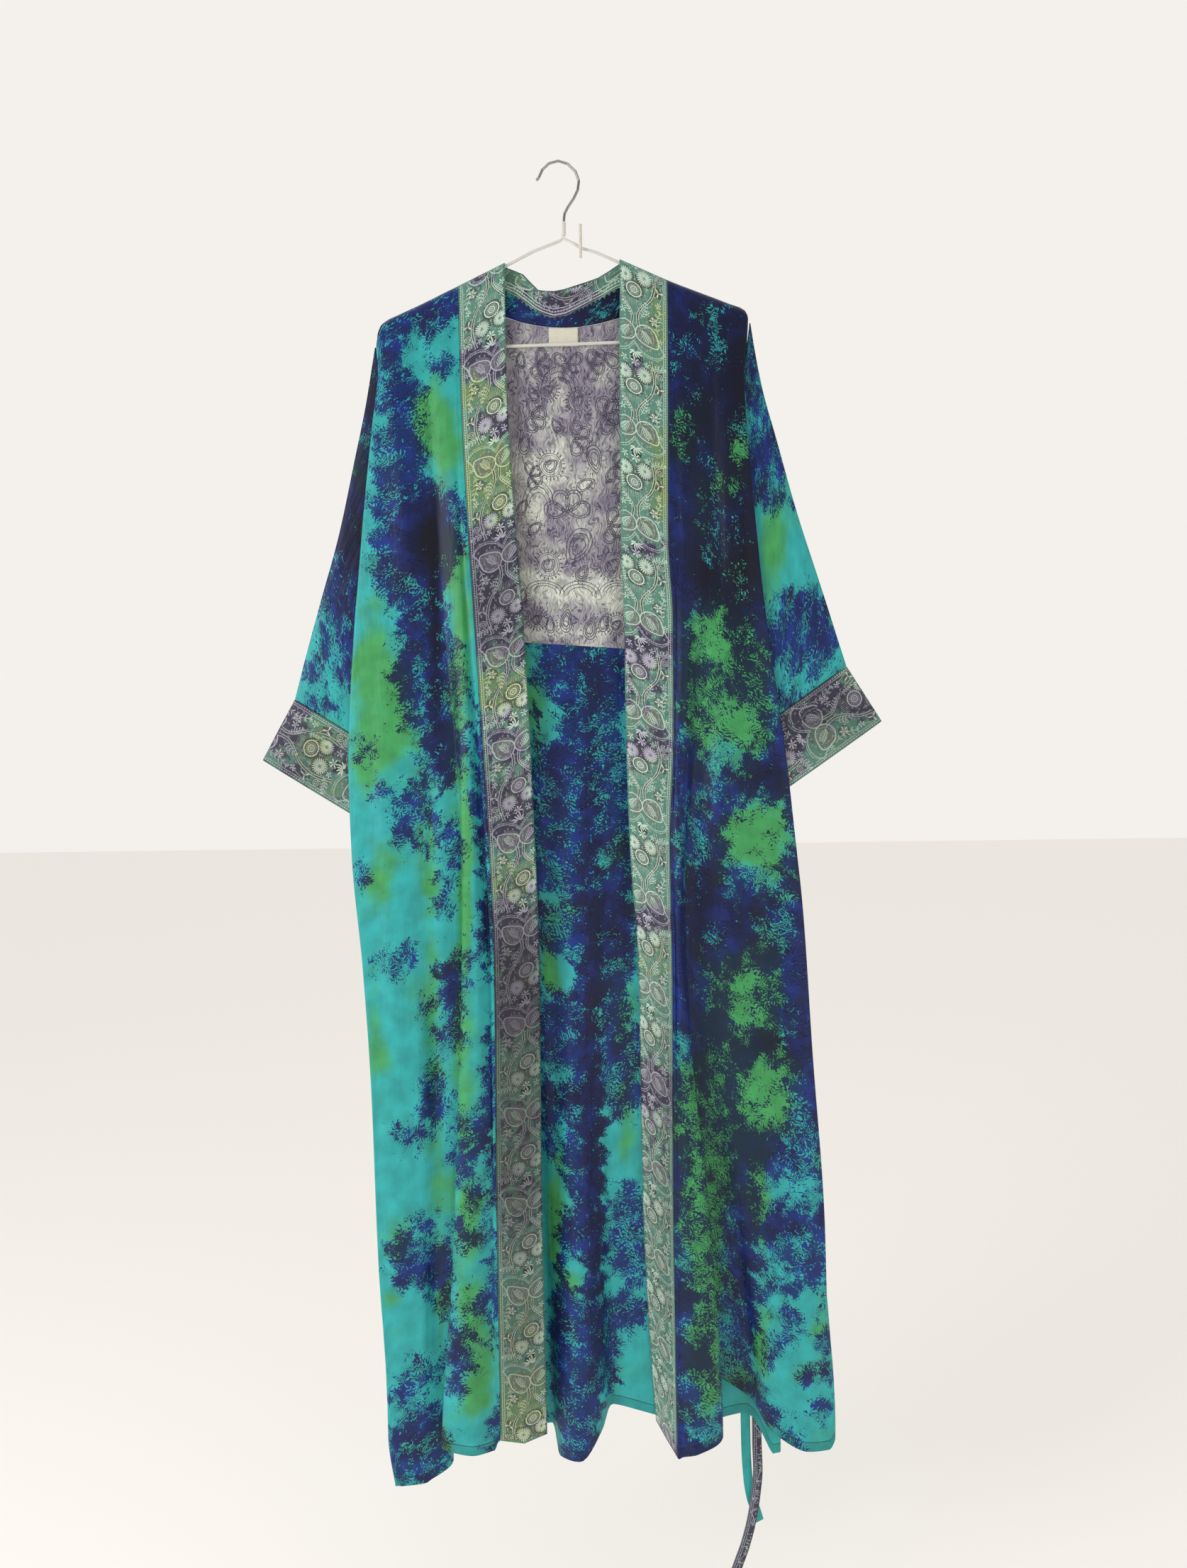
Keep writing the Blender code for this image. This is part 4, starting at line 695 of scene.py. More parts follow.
# A hem is turned up and double. Painted shade darkens it, where less light shines through two
# layers, and a painted shadow darkens the stitch line sunk along its edge.
silk_hem_shade = silk_node("MapRange", {0: (silk_cloth_parts, 2), 1: HEM_TURN - 0.5, 2: HEM_TURN + 0.5,
                                     3: 0.78, 4: 1.0})
silk_stitch_groove_shadow = silk_node("Math", {0: (silk_cloth_parts, 2), 1: HEM_TURN, 2: 0.7}, operation="COMPARE")
silk_hem_shade_share = silk_node("Math", {0: silk_stitch_groove_shadow, 1: -0.4, 2: silk_hem_shade}, operation="MULTIPLY_ADD")
silk_colour = silk_node("VectorMath", {0: (silk_colour, 2), "Scale": silk_hem_shade_share}, operation="SCALE")
link_shader(dyed_silk, "Base Color", silk_colour)
silk_ripple = silk_node("Mapping", {0: (silk_cloth, "Vector"), "Scale": (1 / 16, 1 / 90, 1.0)})
silk_wrinkle = silk_node("TexNoise", {"Vector": silk_ripple, "Scale": 1.0, "Detail": 3.0},
                         noise_dimensions="2D")
silk_bump = silk_node("Bump", {"Strength": 0.5, "Distance": 0.0025, "Height": silk_wrinkle})
link_shader(dyed_silk, "Normal", silk_bump)

# Navy patches of the back: x, drop, two radii, the greatest depth and, where one is turned, its
# angle in degrees. Green and near black ones: x, drop, two radii and amount. The near black down
# the back's middle, deep between the fronts, is painted shade over the navy.
BACK_NAVY = (
    (0, 960, 17, 560, 14), (-18, 520, 14, 70, 5), (-30, 600, 30, 28, 5), (-30, 690, 30, 70, 2),
    (28, 500, 24, 50, 4), (25, 640, 26, 80, 2), (30, 790, 26, 60, 9), (30, 900, 16, 50, 2),
    (45, 960, 20, 30, 4), (-40, 480, 16, 30, 4), (45, 720, 14, 60, 3), (40, 830, 18, 30, 9),
    (-25, 800, 30, 30, 0), (-35, 930, 26, 45, 3), (-25, 1010, 22, 14, 8), (-20, 1080, 12, 110, 2),
    (-52, 1030, 8, 60, 3), (-25, 1180, 14, 22, 5), (45, 1190, 22, 60, 0), (45, 1290, 22, 22, 2),
    (-25, 1370, 22, 110, 1), (-40, 1330, 12, 120, 6), (40, 1000, 22, 40, 0), (20, 1330, 10, 60, 4),
    (-62, 700, 5, 260, 4), (-20, 1480, 26, 20, 6),
)
BACK_GREEN = (
    (-62, 530, 14, 60, 0.5), (-35, 780, 20, 34, 0.4), (-48, 850, 12, 40, 0.8), (42, 700, 10, 44, 0.5),
    (42, 900, 20, 50, 0.8), (46, 1010, 14, 30, 0.5), (-36, 1090, 16, 40, 0.6), (-47, 1180, 10, 70, 0.8),
    (-25, 1245, 22, 22, 0.7), (44, 1085, 14, 40, 0.7), (-10, 1290, 16, 24, 0.3),
)
BACK_BLACK_AND_SHADE = ((8, 700, 16, 420, 0.5), (8, 1150, 12, 260, 0.4), (-25, 1010, 20, 20, 0.6),
             (30, 800, 26, 60, 0.4))
SIDE_SEED = 11                  # the hidden part of the back: patches set out by this seed
SIDE_PATCHES = 110

chance = np.random.default_rng(SIDE_SEED)
side_x = chance.uniform(-290.0, 300.0, SIDE_PATCHES)
side_drop = chance.uniform(30.0, 1480.0, SIDE_PATCHES)
side_size = chance.uniform(8.0, 44.0, SIDE_PATCHES)
side_patches = list(zip(side_x, side_drop, side_size))
side_navy = [(x, drop, size * 0.8, size * 2.1, size * 0.2) for x, drop, size in side_patches
             if x < -85.0 or x > 75.0 or drop < 430.0]
side_green = [(x + 60.0, drop + 90.0, size * 1.2, size * 1.8, 0.8) for x, drop, size in side_patches[::3]
              if x + 60.0 < -95.0 or x + 60.0 > 90.0 or drop + 90.0 < 400.0]
side_deep = [(x, drop, size * 0.6, size * 1.6, 0.6) for x, drop, size in side_patches[::4]
             if x < -95.0 or x > 90.0]

back_points = back_grid()
back_navy = patch_depth([*BACK_NAVY, *side_navy], back_points)
back_green = soft_patches([*BACK_GREEN, *side_green], back_points)
back_black_and_shade = soft_patches([*BACK_BLACK_AND_SHADE, *side_deep], back_points)
back = make_cloth("back_panel", back_points, dyed_silk,
                  dye_values(back_points, back_navy, back_green, back_black_and_shade))
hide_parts("back")
back_columns = np.arange(back_points.shape[1])
back_sewing = sew("back_stitches", back_points, [(len(back_points) + HEM_STITCH_ROW, back_columns)])


# Yoke. A lighter silk print sewn inside the back, from the neck band's seam to a narrow rolled hem
# below the shoulders. Its ground is hatched lavender with flowers and paisleys drawn in line.
YOKE_SIDES = ((90, -222, 180), (110, -224, 180), (250, -205, 162), (393, -181, 143), (470, -167, 132))
# Each row above: drop, x of the left side and of the right side.
YOKE_HEM_DROP = 459.0
YOKE_HEM_SLOPE = 0.055
YOKE_SHOULDER_DROP = 15.0
YOKE_NECK_LAP = 1.0
LABEL_CENTRE = (-21.5, 96.0)
YOKE_ROWS = 110
YOKE_COLUMNS = 120


def yoke_grid(rows, columns):
    """Points of the yoke: the back's own surface between the neck seam and the yoke's hem, a
    layer nearer to the viewer."""
    shares = np.linspace(0.0, 1.0, columns)
    sides = np.array(YOKE_SIDES, float)
    stations = neck_stations()
    top_x = sides[0, 1] + (sides[0, 2] - sides[0, 1]) * shares
    neck_drop = np.interp(top_x, stations[:, 3], stations[:, 4]) + YOKE_NECK_LAP
    shoulder_drop = ridge_drop(top_x) + YOKE_SHOULDER_DROP
    outside = (top_x < stations[0, 3]) | (top_x > stations[-1, 3])
    top = np.where(outside, shoulder_drop, np.maximum(neck_drop, shoulder_drop))
    hem = YOKE_HEM_DROP + YOKE_HEM_SLOPE * (top_x - LABEL_CENTRE[0])
    drop = top + (hem - top) * np.linspace(0.0, 1.0, rows)[:, None]
    low = np.interp(drop, sides[:, 0], sides[:, 1])
    high = np.interp(drop, sides[:, 0], sides[:, 2])
    x = low + (high - low) * shares
    found_x, found_depth = np.empty_like(x), np.empty_like(x)
    for number in range(rows):
        row_x, row_depth = back_surface(back_share(x[number]), drop[number][None, :])
        found_x[number], found_depth[number] = row_x[0], row_depth[0] + STACK
    return np.stack([found_x, found_depth, drop], axis=2)


# Printed silk: matt, lavender grey, covered with near upright hatch strokes 1.5 mm apart.
printed_silk = new_finish("printed_silk", Roughness=0.62, Sheen_Weight=0.1, Sheen_Roughness=0.4)
print_node = partial(add_node, printed_silk)
print_cloth = print_node("Attribute", attribute_name="cloth")
print_pale = print_node("Attribute", attribute_name="pale")
print_drift = print_node("TexNoise", {"Vector": (print_cloth, "Vector"), "Scale": 1 / 20, "Detail": 2.0},
                         noise_dimensions="2D")
print_pull = print_node("VectorMath", {0: (print_drift, "Color"), 1: (0.5, 0.5, 0.5)}, operation="SUBTRACT")
print_pull_mm = print_node("VectorMath", {0: print_pull, "Scale": 26.0}, operation="SCALE")
print_moved = print_node("VectorMath", {0: (print_cloth, "Vector"), 1: print_pull_mm}, operation="ADD")
print_long = print_node("Mapping", {0: print_moved, "Scale": (1 / 1.5, 1 / 14.0, 1.0)})
print_hatch = print_node("TexNoise", {"Vector": print_long, "Scale": 1.0, "Detail": 2.0,
                                      "Roughness": 0.6}, noise_dimensions="2D")
print_stroke = print_node("MapRange", {0: print_hatch, 1: 0.36, 2: 0.58}, interpolation_type="SMOOTHSTEP")
print_patch = print_node("TexNoise", {"Vector": (print_cloth, "Vector"), "Scale": 1 / 32, "Detail": 4.0},
                         noise_dimensions="2D")
print_light = print_node("Math", {0: print_patch, 1: 1.6, 2: (print_pale, "Fac")}, operation="MULTIPLY_ADD")
print_light_share = print_node("MapRange", {0: print_light, 1: 0.72, 2: 1.35})
print_ground = print_node("Mix", {0: print_light_share, 6: hex_colour("9c96a5"),
                                  7: hex_colour("e4e6da")}, data_type="RGBA")
print_line = print_node("Mix", {0: print_light_share, 6: hex_colour("4c445c"),
                                7: hex_colour("9aa09b")}, data_type="RGBA")
print_colour = print_node("Mix", {0: print_stroke, 6: (print_line, 2), 7: (print_ground, 2)},
                          data_type="RGBA")
link_shader(printed_silk, "Base Color", print_colour, 2)
print_bump = print_node("Bump", {"Strength": 0.3, "Distance": 0.0003, "Height": print_hatch})
link_shader(printed_silk, "Normal", print_bump)

YOKE_PALE = ((-60, 385, 30, 16, 0.6), (-10, 392, 60, 14, 0.8), (40, 400, 30, 24, 0.6),
             (-25, 250, 60, 40, 0.3), (-60, 290, 20, 60, 0.5), (50, 300, 20, 80, 0.4),
             (-25, 440, 60, 12, 0.3))

# Figures on the cloths are flat drawings of strokes, at (s, v) in mm: s goes across and v along.
THREAD_EDGE, THREAD_RISE = -0.1, 0.3    # a raised stroke's edges and middle, from the cloth's face
FLAT_EDGE, FLAT_RISE = 0.02, 0.05       # a flat one's, printed or woven dark


def curve(points, count):
    """A smooth line of count points: cubic pieces whose slope at a point is that between its
    neighbours."""
    table = np.array(points, float)
    slope = np.gradient(table, axis=0)
    at = np.linspace(0.0, len(table) - 1.0, count)
    row = np.minimum(at.astype(int), len(table) - 2)
    t = (at - row)[:, None]
    return ((2 * t ** 3 - 3 * t ** 2 + 1) * table[row] + (t ** 3 - 2 * t ** 2 + t) * slope[row]
            + (3 * t ** 2 - 2 * t ** 3) * table[row + 1] + (t ** 3 - t ** 2) * slope[row + 1])


def stroke(drawing, path, width, tone=0.8, edge=THREAD_EDGE, rise=THREAD_RISE):
    """Add a stroke to a drawing: a ridge along a line, of one width or of a width at each point,
    its edges and its middle at two heights."""
    path = np.asarray(path, float)
    ahead = np.gradient(path, axis=0)
    ahead /= np.linalg.norm(ahead, axis=1)[:, None] + 1e-9
    half = np.broadcast_to(width, len(path))[:, None] / 2.0
    aside = np.stack([-ahead[:, 1], ahead[:, 0]], axis=1) * half
    across = np.stack([path - aside, path, path + aside], axis=1)
    lift = np.broadcast_to((edge, rise, edge), (len(path), 3))[:, :, None]
    drawing.append((np.concatenate([across, lift], axis=2).reshape(-1, 3), tone, len(path)))


def around(centre, angle, reach_s, reach_v):
    """Points at angles round a centre. Angle 0 is along v and 90 degrees along s."""
    return np.column_stack([centre[0] + reach_s * np.sin(angle), centre[1] + reach_v * np.cos(angle)])


def petal(drawing, centre, angle, near, far, width, tone=0.8, bend=0.0):
    """A petal: a stroke from near to far of a centre, fullest past its middle, at an angle in
    degrees."""
    reach = np.linspace(near, far, 4)
    turned = math.radians(angle) + bend * np.linspace(0.0, 1.0, 4) ** 2
    stroke(drawing, around(centre, turned, reach, reach), np.array((0.35, 0.85, 1.0, 0.3)) * width, tone)


def ring(drawing, centre, reach_s, reach_v, width, tone=0.8, count=20):
    """A closed ring, round or oval."""
    angle = np.linspace(0.0, 2.0 * math.pi, count + 1)
    stroke(drawing, around(centre, angle, reach_s, reach_v), width, tone)


def disc(drawing, centre, reach_s, reach_v, tone, lift=0.0):
    """A flat oval: a stroke along v whose width follows the oval's."""
    share = np.sin(np.linspace(-math.pi / 2, math.pi / 2, 9))
    stroke(drawing, np.stack([np.full(9, float(centre[0])), centre[1] + reach_v * share], axis=1),
           2.0 * reach_s * np.sqrt(1.0 - share ** 2) + 0.05, tone, FLAT_EDGE + lift, FLAT_RISE + lift)


def spiral(drawing, centre, reach, turns, width, tone=0.8):
    """A spiral whose radius falls evenly with its angle."""
    angle = np.linspace(0.0, 2.0 * math.pi * turns, int(11 * turns))
    radius = reach * (1.0 - angle / angle[-1]) + 0.4
    stroke(drawing, around(centre, angle, radius, radius), width, tone)


def beads(drawing, path, pitch, width, tone=0.9):
    """Short fat stitches in a row along a line."""
    length = length_along(path)
    for number in range(int(length[-1] / pitch)):
        at = pitch * (number + np.array((0.12, 0.5, 0.88)))
        stroke(drawing, np.stack([np.interp(at, length, path[:, n]) for n in (0, 1)], axis=1),
               np.array((0.45, 1.0, 0.45)) * width, tone)


def drop_outline(drawing, centre, length, width, turn, lines=1, line_width=1.2, tone=1.0, edge=FLAT_EDGE,
                 rise=FLAT_RISE, slim=0.6, hook=0.0):
    """A leaf or paisley in line: a closed drop turned about its middle, with smaller ones inside.
    Along it runs length cos t / 2; across it sin t |sin (t / 2)| ^ slim, scaled to the width, and
    the tip is pulled aside by hook times the width. Unturned, it points along -v."""
    angle = np.linspace(0.0, 2.0 * math.pi, 28)
    body = np.sin(angle) * np.abs(np.sin(angle / 2.0)) ** slim
    body = body / body.max() / 2.0 + hook * ((1.0 + np.cos(angle)) / 2.0) ** 3
    a = math.radians(turn)
    for number in range(lines):
        scale = 1.0 - 0.26 * number
        across = scale * width * body
        along = scale * length * np.cos(angle) / 2.0
        stroke(drawing, np.stack([centre[0] + across * math.cos(a) + along * math.sin(a),
                                  centre[1] - along * math.cos(a) + across * math.sin(a)], axis=1),
               line_width, tone, edge, rise)


def frond(drawing, path, reach, tone=0.85):
    """A fern leaf: a curved rib with leaflets to both sides, longest in its middle."""
    stroke(drawing, path, 0.8, tone)
    ahead = np.gradient(path, axis=0)
    for number in range(1, len(path)):
        way = math.degrees(math.atan2(ahead[number, 0], ahead[number, 1]))
        size = reach * math.sin(math.pi * (0.15 + 0.75 * number / len(path)))
        for side in (-52, 52):
            petal(drawing, path[number], way + side, 0.2, size, 1.6, tone)
    petal(drawing, path[-1], way, 0.0, reach * 0.6, 1.6, tone)


def faces_inside(faces, inside):
    """The points used by the faces that have all corners inside, and those faces counted anew."""
    used, again = np.unique(faces[inside[faces].all(axis=1)], return_inverse=True)
    return used, again.reshape(-1, 4)


def laid_out(drawing, offsets, low, high, v_low=-1e9, v_high=1e9):
    """Flat points (s, v, rise), tones and faces of a drawing repeated at offsets along v, without
    what lies outside s and v limits."""
    points = np.concatenate([item[0] for item in drawing])
    tones = np.concatenate([np.full(len(item[0]), item[1]) for item in drawing])
    starts = np.cumsum([0] + [len(item[0]) for item in drawing[:-1]])
    faces = np.concatenate([grid_faces(item[2], 3) + start for item, start in zip(drawing, starts)])
    offsets = np.asarray(offsets, float)
    every = points[None, :, :] + np.stack([offsets * 0.0, offsets, offsets * 0.0], axis=1)[:, None, :]
    all_faces = faces[None, :, :] + (np.arange(len(offsets)) * len(points))[:, None, None]
    every, all_faces = every.reshape(-1, 3), all_faces.reshape(-1, 4)
    inside = (every[:, 0] > low) & (every[:, 0] < high) & (every[:, 1] > v_low) & (every[:, 1] < v_high)
    used, kept = faces_inside(all_faces, inside)
    return every[used], np.tile(tones, len(offsets))[used], kept


yoke_points = yoke_grid(YOKE_ROWS, YOKE_COLUMNS)
yoke_across, yoke_down = cloth_lengths(yoke_points)
yoke = make_cloth("yoke_panel", yoke_points, printed_silk,
                  {"cloth": np.stack([yoke_across, yoke_down, yoke_down[-1] - yoke_down], axis=2),
                   "pale": soft_patches(YOKE_PALE, yoke_points)})
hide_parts("yoke")

# The print's line: blue-grey ink, about 1 mm wide and a little worn in places.
print_ink = new_finish("print_ink", Roughness=0.6)
ink_cloth = add_node(print_ink, "Attribute", attribute_name="cloth")
ink_wear = add_node(print_ink, "TexNoise", {"Vector": (ink_cloth, "Vector"), "Scale": 1 / 5, "Detail": 4.0},
                    noise_dimensions="2D")
ink_share = add_node(print_ink, "MapRange", {0: ink_wear, 1: 0.35, 2: 0.7})
ink_colour = add_node(print_ink, "Mix", {0: ink_share, 6: hex_colour("2f2a42"), 7: hex_colour("605a6e")},
                      data_type="RGBA")
link_shader(print_ink, "Base Color", ink_colour, 2)

INK_WIDTH = 1.05


def spikes(drawing, x, drop, reach, length, count, tone=1.0):
    """Short strokes that stand out round a circle."""
    for angle in np.linspace(0.0, 360.0, count, endpoint=False):
        petal(drawing, (x, drop), angle, reach, reach + length, 1.9, tone)


FAN_STEP = 52.0                 # degrees between petals of a blossom of four, drawn as a fan
yoke_print = []
# Blossoms: x, drop, petals, petal length and width, turn.
for flower_x, flower_drop, flower_count, flower_long, flower_wide, flower_turn in (
        (-68, 190, 4, 20, 16, 20), (22, 192, 4, 22, 18, 0), (-58, 128, 4, 18, 14, 30),
        (-22, 302, 4, 28, 20, -80), (8, 132, 4, 18, 14, 10), (36, 250, 4, 18, 14, 40),
        (-70, 262, 4, 16, 12, 0), (30, 318, 4, 20, 15, 20), (-14, 214, 4, 20, 15, 12),
        (-20, 128, 3, 20, 14, 180)):
    for flower_number in range(flower_count):
        flower_a = flower_turn + flower_number * (360.0 / flower_count if flower_count != 4 else FAN_STEP)
        flower_mid = (flower_x + math.sin(math.radians(flower_a)) * flower_long * 0.55,
                      flower_drop - math.cos(math.radians(flower_a)) * flower_long * 0.55)
        drop_outline(yoke_print, flower_mid, flower_long, flower_wide, flower_a + 180, 2, INK_WIDTH)
    ring(yoke_print, (flower_x, flower_drop), 1.8, 1.8, 0.9, 1.0, 10)
# Round medallions with a rim of spikes and a leaf inside: x, drop, reach.
for round_x, round_drop, round_reach in ((-44, 246, 14), (-46, 364, 14), (34, 364, 15), (-46, 158, 11),
                                         (-8, 170, 12), (40, 432, 10), (-60, 430, 10)):
    ring(yoke_print, (round_x, round_drop), round_reach, round_reach, INK_WIDTH, 1.0, 28)
    ring(yoke_print, (round_x, round_drop), round_reach - 2.4, round_reach - 2.4, 0.7, 0.8, 24)
    spikes(yoke_print, round_x, round_drop, round_reach + 0.8, 4.0, 22)
    drop_outline(yoke_print, (round_x, round_drop), round_reach * 1.3, round_reach, 35, 2, INK_WIDTH,
                 hook=0.2)
    for vein_angle in (-20, 5, 60, 90):
        petal(yoke_print, (round_x, round_drop), vein_angle + 180, 0.5, round_reach * 0.55, 1.0, 0.9)
# Paisleys and leaves: x, drop, length, width, turn, lines.
for leaf_x, leaf_drop, leaf_long, leaf_wide, leaf_turn, leaf_lines in (
        (-8, 342, 46, 30, 200, 3), (-4, 372, 20, 15, 20, 3), (-24, 430, 28, 15, 0, 3), (6, 438, 26, 16, 0, 3),
        (-64, 165, 22, 12, -30, 2), (44, 168, 24, 13, 30, 2), (-76, 225, 26, 13, 10, 2),
        (12, 240, 34, 18, 160, 3), (48, 205, 22, 12, -20, 2), (-62, 322, 20, 11, 40, 2),
        (48, 285, 26, 13, 15, 2), (-36, 200, 20, 12, -40, 2), (34, 130, 26, 14, -50, 2),
        (-78, 128, 20, 11, 0, 2), (0, 268, 24, 13, 60, 2), (24, 430, 22, 12, 10, 2),
        (-44, 436, 20, 11, -8, 2), (-78, 300, 22, 11, 20, 2), (-78, 405, 20, 10, 0, 2),
        (60, 400, 22, 11, 0, 2)):
    drop_outline(yoke_print, (leaf_x, leaf_drop), leaf_long, leaf_wide, leaf_turn, leaf_lines, INK_WIDTH,
                 hook=0.18)
    leaf_a = math.radians(leaf_turn)
    for rim_angle in np.linspace(0.25, 1.75, 11) * math.pi:
        rim_across = (leaf_wide / 2.0 + 1.8) * math.sin(rim_angle)
        rim_along = (leaf_long / 2.0 + 1.8) * math.cos(rim_angle)
        rim_at = (leaf_x + rim_across * math.cos(leaf_a) + rim_along * math.sin(leaf_a),
                  leaf_drop - rim_along * math.cos(leaf_a) + rim_across * math.sin(leaf_a))
        rim_way = math.degrees(math.atan2(rim_at[0] - leaf_x, rim_at[1] - leaf_drop))
        petal(yoke_print, rim_at, rim_way, 0.2, 3.2, 1.5, 0.9)
# Arches of fine parallel lines, and the pale swirls above the lowest row.
for arch_x, arch_drop, arch_reach, arch_high in ((-58, 300, 20, 34), (30, 225, 22, 36), (-6, 400, 26, 18),
                                                 (-50, 398, 24, 14), (40, 396, 22, 14), (-30, 160, 24, 30),
                                                 (50, 345, 14, 30)):
    for arch_number in range(3):
        arch_scale = 1.0 - 0.2 * arch_number
        arch_angle = np.linspace(-0.5 * math.pi, 0.5 * math.pi, 16)
        arch = around((arch_x, arch_drop), arch_angle, arch_reach * arch_scale, -arch_high * arch_scale)
        stroke(yoke_print, arch, 0.8, 0.8, FLAT_EDGE, FLAT_RISE)


def on_yoke(flat):
    """Rows and columns of the yoke's grid at places (x, drop)."""
    middle = yoke_points[:, YOKE_COLUMNS // 2]
    row = np.interp(flat[:, 1], middle[:, 2], np.arange(YOKE_ROWS))
    low = np.interp(row, np.arange(YOKE_ROWS), yoke_points[:, 0, 0])
    high = np.interp(row, np.arange(YOKE_ROWS), yoke_points[:, -1, 0])
    return row, (flat[:, 0] - low) / (high - low) * (YOKE_COLUMNS - 1)


# Only the part that can be seen is drawn: from and to x, then from and to drop.
YOKE_PRINTED = (-100.0, 60.0, 70.0, YOKE_HEM_DROP - 4.0)
yoke_flat, _, yoke_faces = laid_out(yoke_print, (0.0,), *YOKE_PRINTED)
yoke_row, yoke_column = on_yoke(yoke_flat[:, :2])
yoke_places, yoke_faces = lay_on(yoke_points, 0.0, yoke_row, yoke_column, yoke_flat[:, 2], yoke_faces)
yoke_lines = make_piece("yoke_print", yoke_places, yoke_faces, print_ink,
                        {"cloth": np.column_stack([yoke_flat[:, :2], yoke_flat[:, 0] * 0.0])})
# The hem is rolled and sewn by hand: a round edge 3 mm high. It is drawn in rows and columns of
# the yoke's grid, whose rows are ROW_LENGTH apart.
ROLL_STEPS = 200
ROLL_ROWS = 0.9
ROW_LENGTH = 3.6
roll_columns = np.linspace(0.0, YOKE_COLUMNS - 1.0, ROLL_STEPS)
roll = []
roll_line = np.column_stack([roll_columns, np.full(ROLL_STEPS, YOKE_ROWS - 1.25)])
stroke(roll, roll_line, ROLL_ROWS, 1.0, -0.2, 1.0)
roll_flat, roll_tone, roll_faces = laid_out(roll, (0.0,), -1.0, 1000.0)
roll_places, roll_faces = lay_on(yoke_points, 0.0, roll_flat[:, 1], roll_flat[:, 0], roll_flat[:, 2],
                                 roll_faces)
yoke_roll = make_piece("yoke_hem_roll", roll_places, roll_faces, printed_silk,
                       {"cloth": np.column_stack([roll_flat[:, :2] * ROW_LENGTH, roll_flat[:, 0] * 0.0]),
                        "pale": roll_tone * 0.2})


# Label. A small woven tape, cream and left bare, sewn to the yoke's top edge.
LABEL_WIDTH = 35.0
LABEL_HEIGHT = 21.5
LABEL_WALL = 1.0
LABEL_SEAM_IN = 1.2             # its stitches lie this far in from its edges
LABEL_ROWS = 12
LABEL_COLUMNS = 18
# Woven polyester tape: cream, faintly ribbed across at 0.8 mm.
woven_tape = new_finish("woven_tape", Roughness=0.6)
tape_cloth = add_node(woven_tape, "Attribute", attribute_name="cloth")
tape_map = add_node(woven_tape, "Mapping", {0: (tape_cloth, "Vector"), "Scale": (1 / 6, 1 / 0.8, 1.0)})
tape_rib = add_node(woven_tape, "TexNoise", {"Vector": tape_map, "Scale": 1.0, "Detail": 2.0},
                    noise_dimensions="2D")
tape_tone = add_node(woven_tape, "ValToRGB", {"Fac": tape_rib})
tape_tone.color_ramp.elements[0].color = hex_colour("cfcab8")
tape_tone.color_ramp.elements[1].color = hex_colour("f0ecdf")
link_shader(woven_tape, "Base Color", tape_tone)
tape_bump = add_node(woven_tape, "Bump", {"Strength": 0.5, "Distance": 0.0002, "Height": tape_rib})
link_shader(woven_tape, "Normal", tape_bump)

label_x = LABEL_CENTRE[0] + LABEL_WIDTH * np.linspace(-0.5, 0.5, LABEL_COLUMNS)
label_drop = LABEL_CENTRE[1] + LABEL_HEIGHT * np.linspace(-0.5, 0.5, LABEL_ROWS)
label_drop = np.repeat(label_drop[:, None], LABEL_COLUMNS, axis=1)
label_surface_x, label_surface_depth = back_surface(back_share(label_x), label_drop)
label_out = STACK + CLOTH / 2 + SEAM + LABEL_WALL / 2
label_points = np.stack([label_surface_x, label_surface_depth + label_out, label_drop], axis=2)
label_across, label_down = cloth_lengths(label_points)
label = make_cloth("neck_label", label_points, woven_tape,
                   {"cloth": np.stack([label_across, label_down, label_down], axis=2)}, LABEL_WALL)
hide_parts("label")
# It is sewn down on all four sides near its edges, in cream thread with the enamel's finish.
label_inset = LABEL_SEAM_IN / LABEL_HEIGHT * (LABEL_ROWS - 1)
label_rows = np.linspace(label_inset, LABEL_ROWS - 1 - label_inset, 20)
label_columns = np.linspace(label_inset, LABEL_COLUMNS - 1 - label_inset, 30)
label_sewing = sew("label_stitches", label_points + (0.0, (LABEL_WALL - CLOTH) / 2.0, 0.0),
                   [(label_rows[0], label_columns), (label_rows[-1], label_columns),
                    (label_rows, label_columns[0]), (label_rows, label_columns[-1])], cream_enamel)


# Front bands. A strip of figured brocade down each front edge from the shoulder to the hem: silver
# thread on dyed silk, with a beaded border on its outer edge, sewn to the front panel. Each row
# below is a drop, then x and depth of the outer edge and of the inner edge.
BAND_RIGHT = (
    (40, -143.5, 23, -89, 23), (130, -143, 25, -89, 25), (300, -138, 29, -82, 29), (420, -132, 31, -74, 31),
    (640, -121, 35, -65, 35), (850, -114.5, 38, -60, 38), (1140, -116.5, 43, -61, 42),
    (1440, -116, 47, -59, 44),
)
BAND_LEFT = (
    (40, 101, 23, 45.5, 23), (130, 101, 25, 44, 25), (340, 99.5, 29, 43.5, 29), (430, 104, 31, 46, 31),
    (560, 104, 33, 47, 31.5), (700, 98.5, 36, 50.5, 28), (850, 100, 41, 60, 20), (1140, 99, 47, 63, 16),
    (1300, 100, 50, 69, 15), (1470, 101, 53, 80, 14),
)
# Drops of their hems at the outer edge, the middle and the inner edge.
BAND_RIGHT_HEM = (1434, 1439, 1428)
BAND_LEFT_HEM = (1455, 1445, 1432)
BAND_COLUMNS = 15
BAND_SEAM_IN = 1.3              # its stitches lie this far in from its edges
BAND_BARE_TOP, BAND_BARE_HEM = 2.0, 1.5     # and its figures keep this far from its ends
REPEATS = range(-14, 14)        # more than enough to reach both ends


def band_edges(table, drop):
    """x and depth of a front band's outer and inner edge at each drop."""
    rows = np.array(table, float)
    return smooth(rows[:, 0], rows[:, 1:], drop)


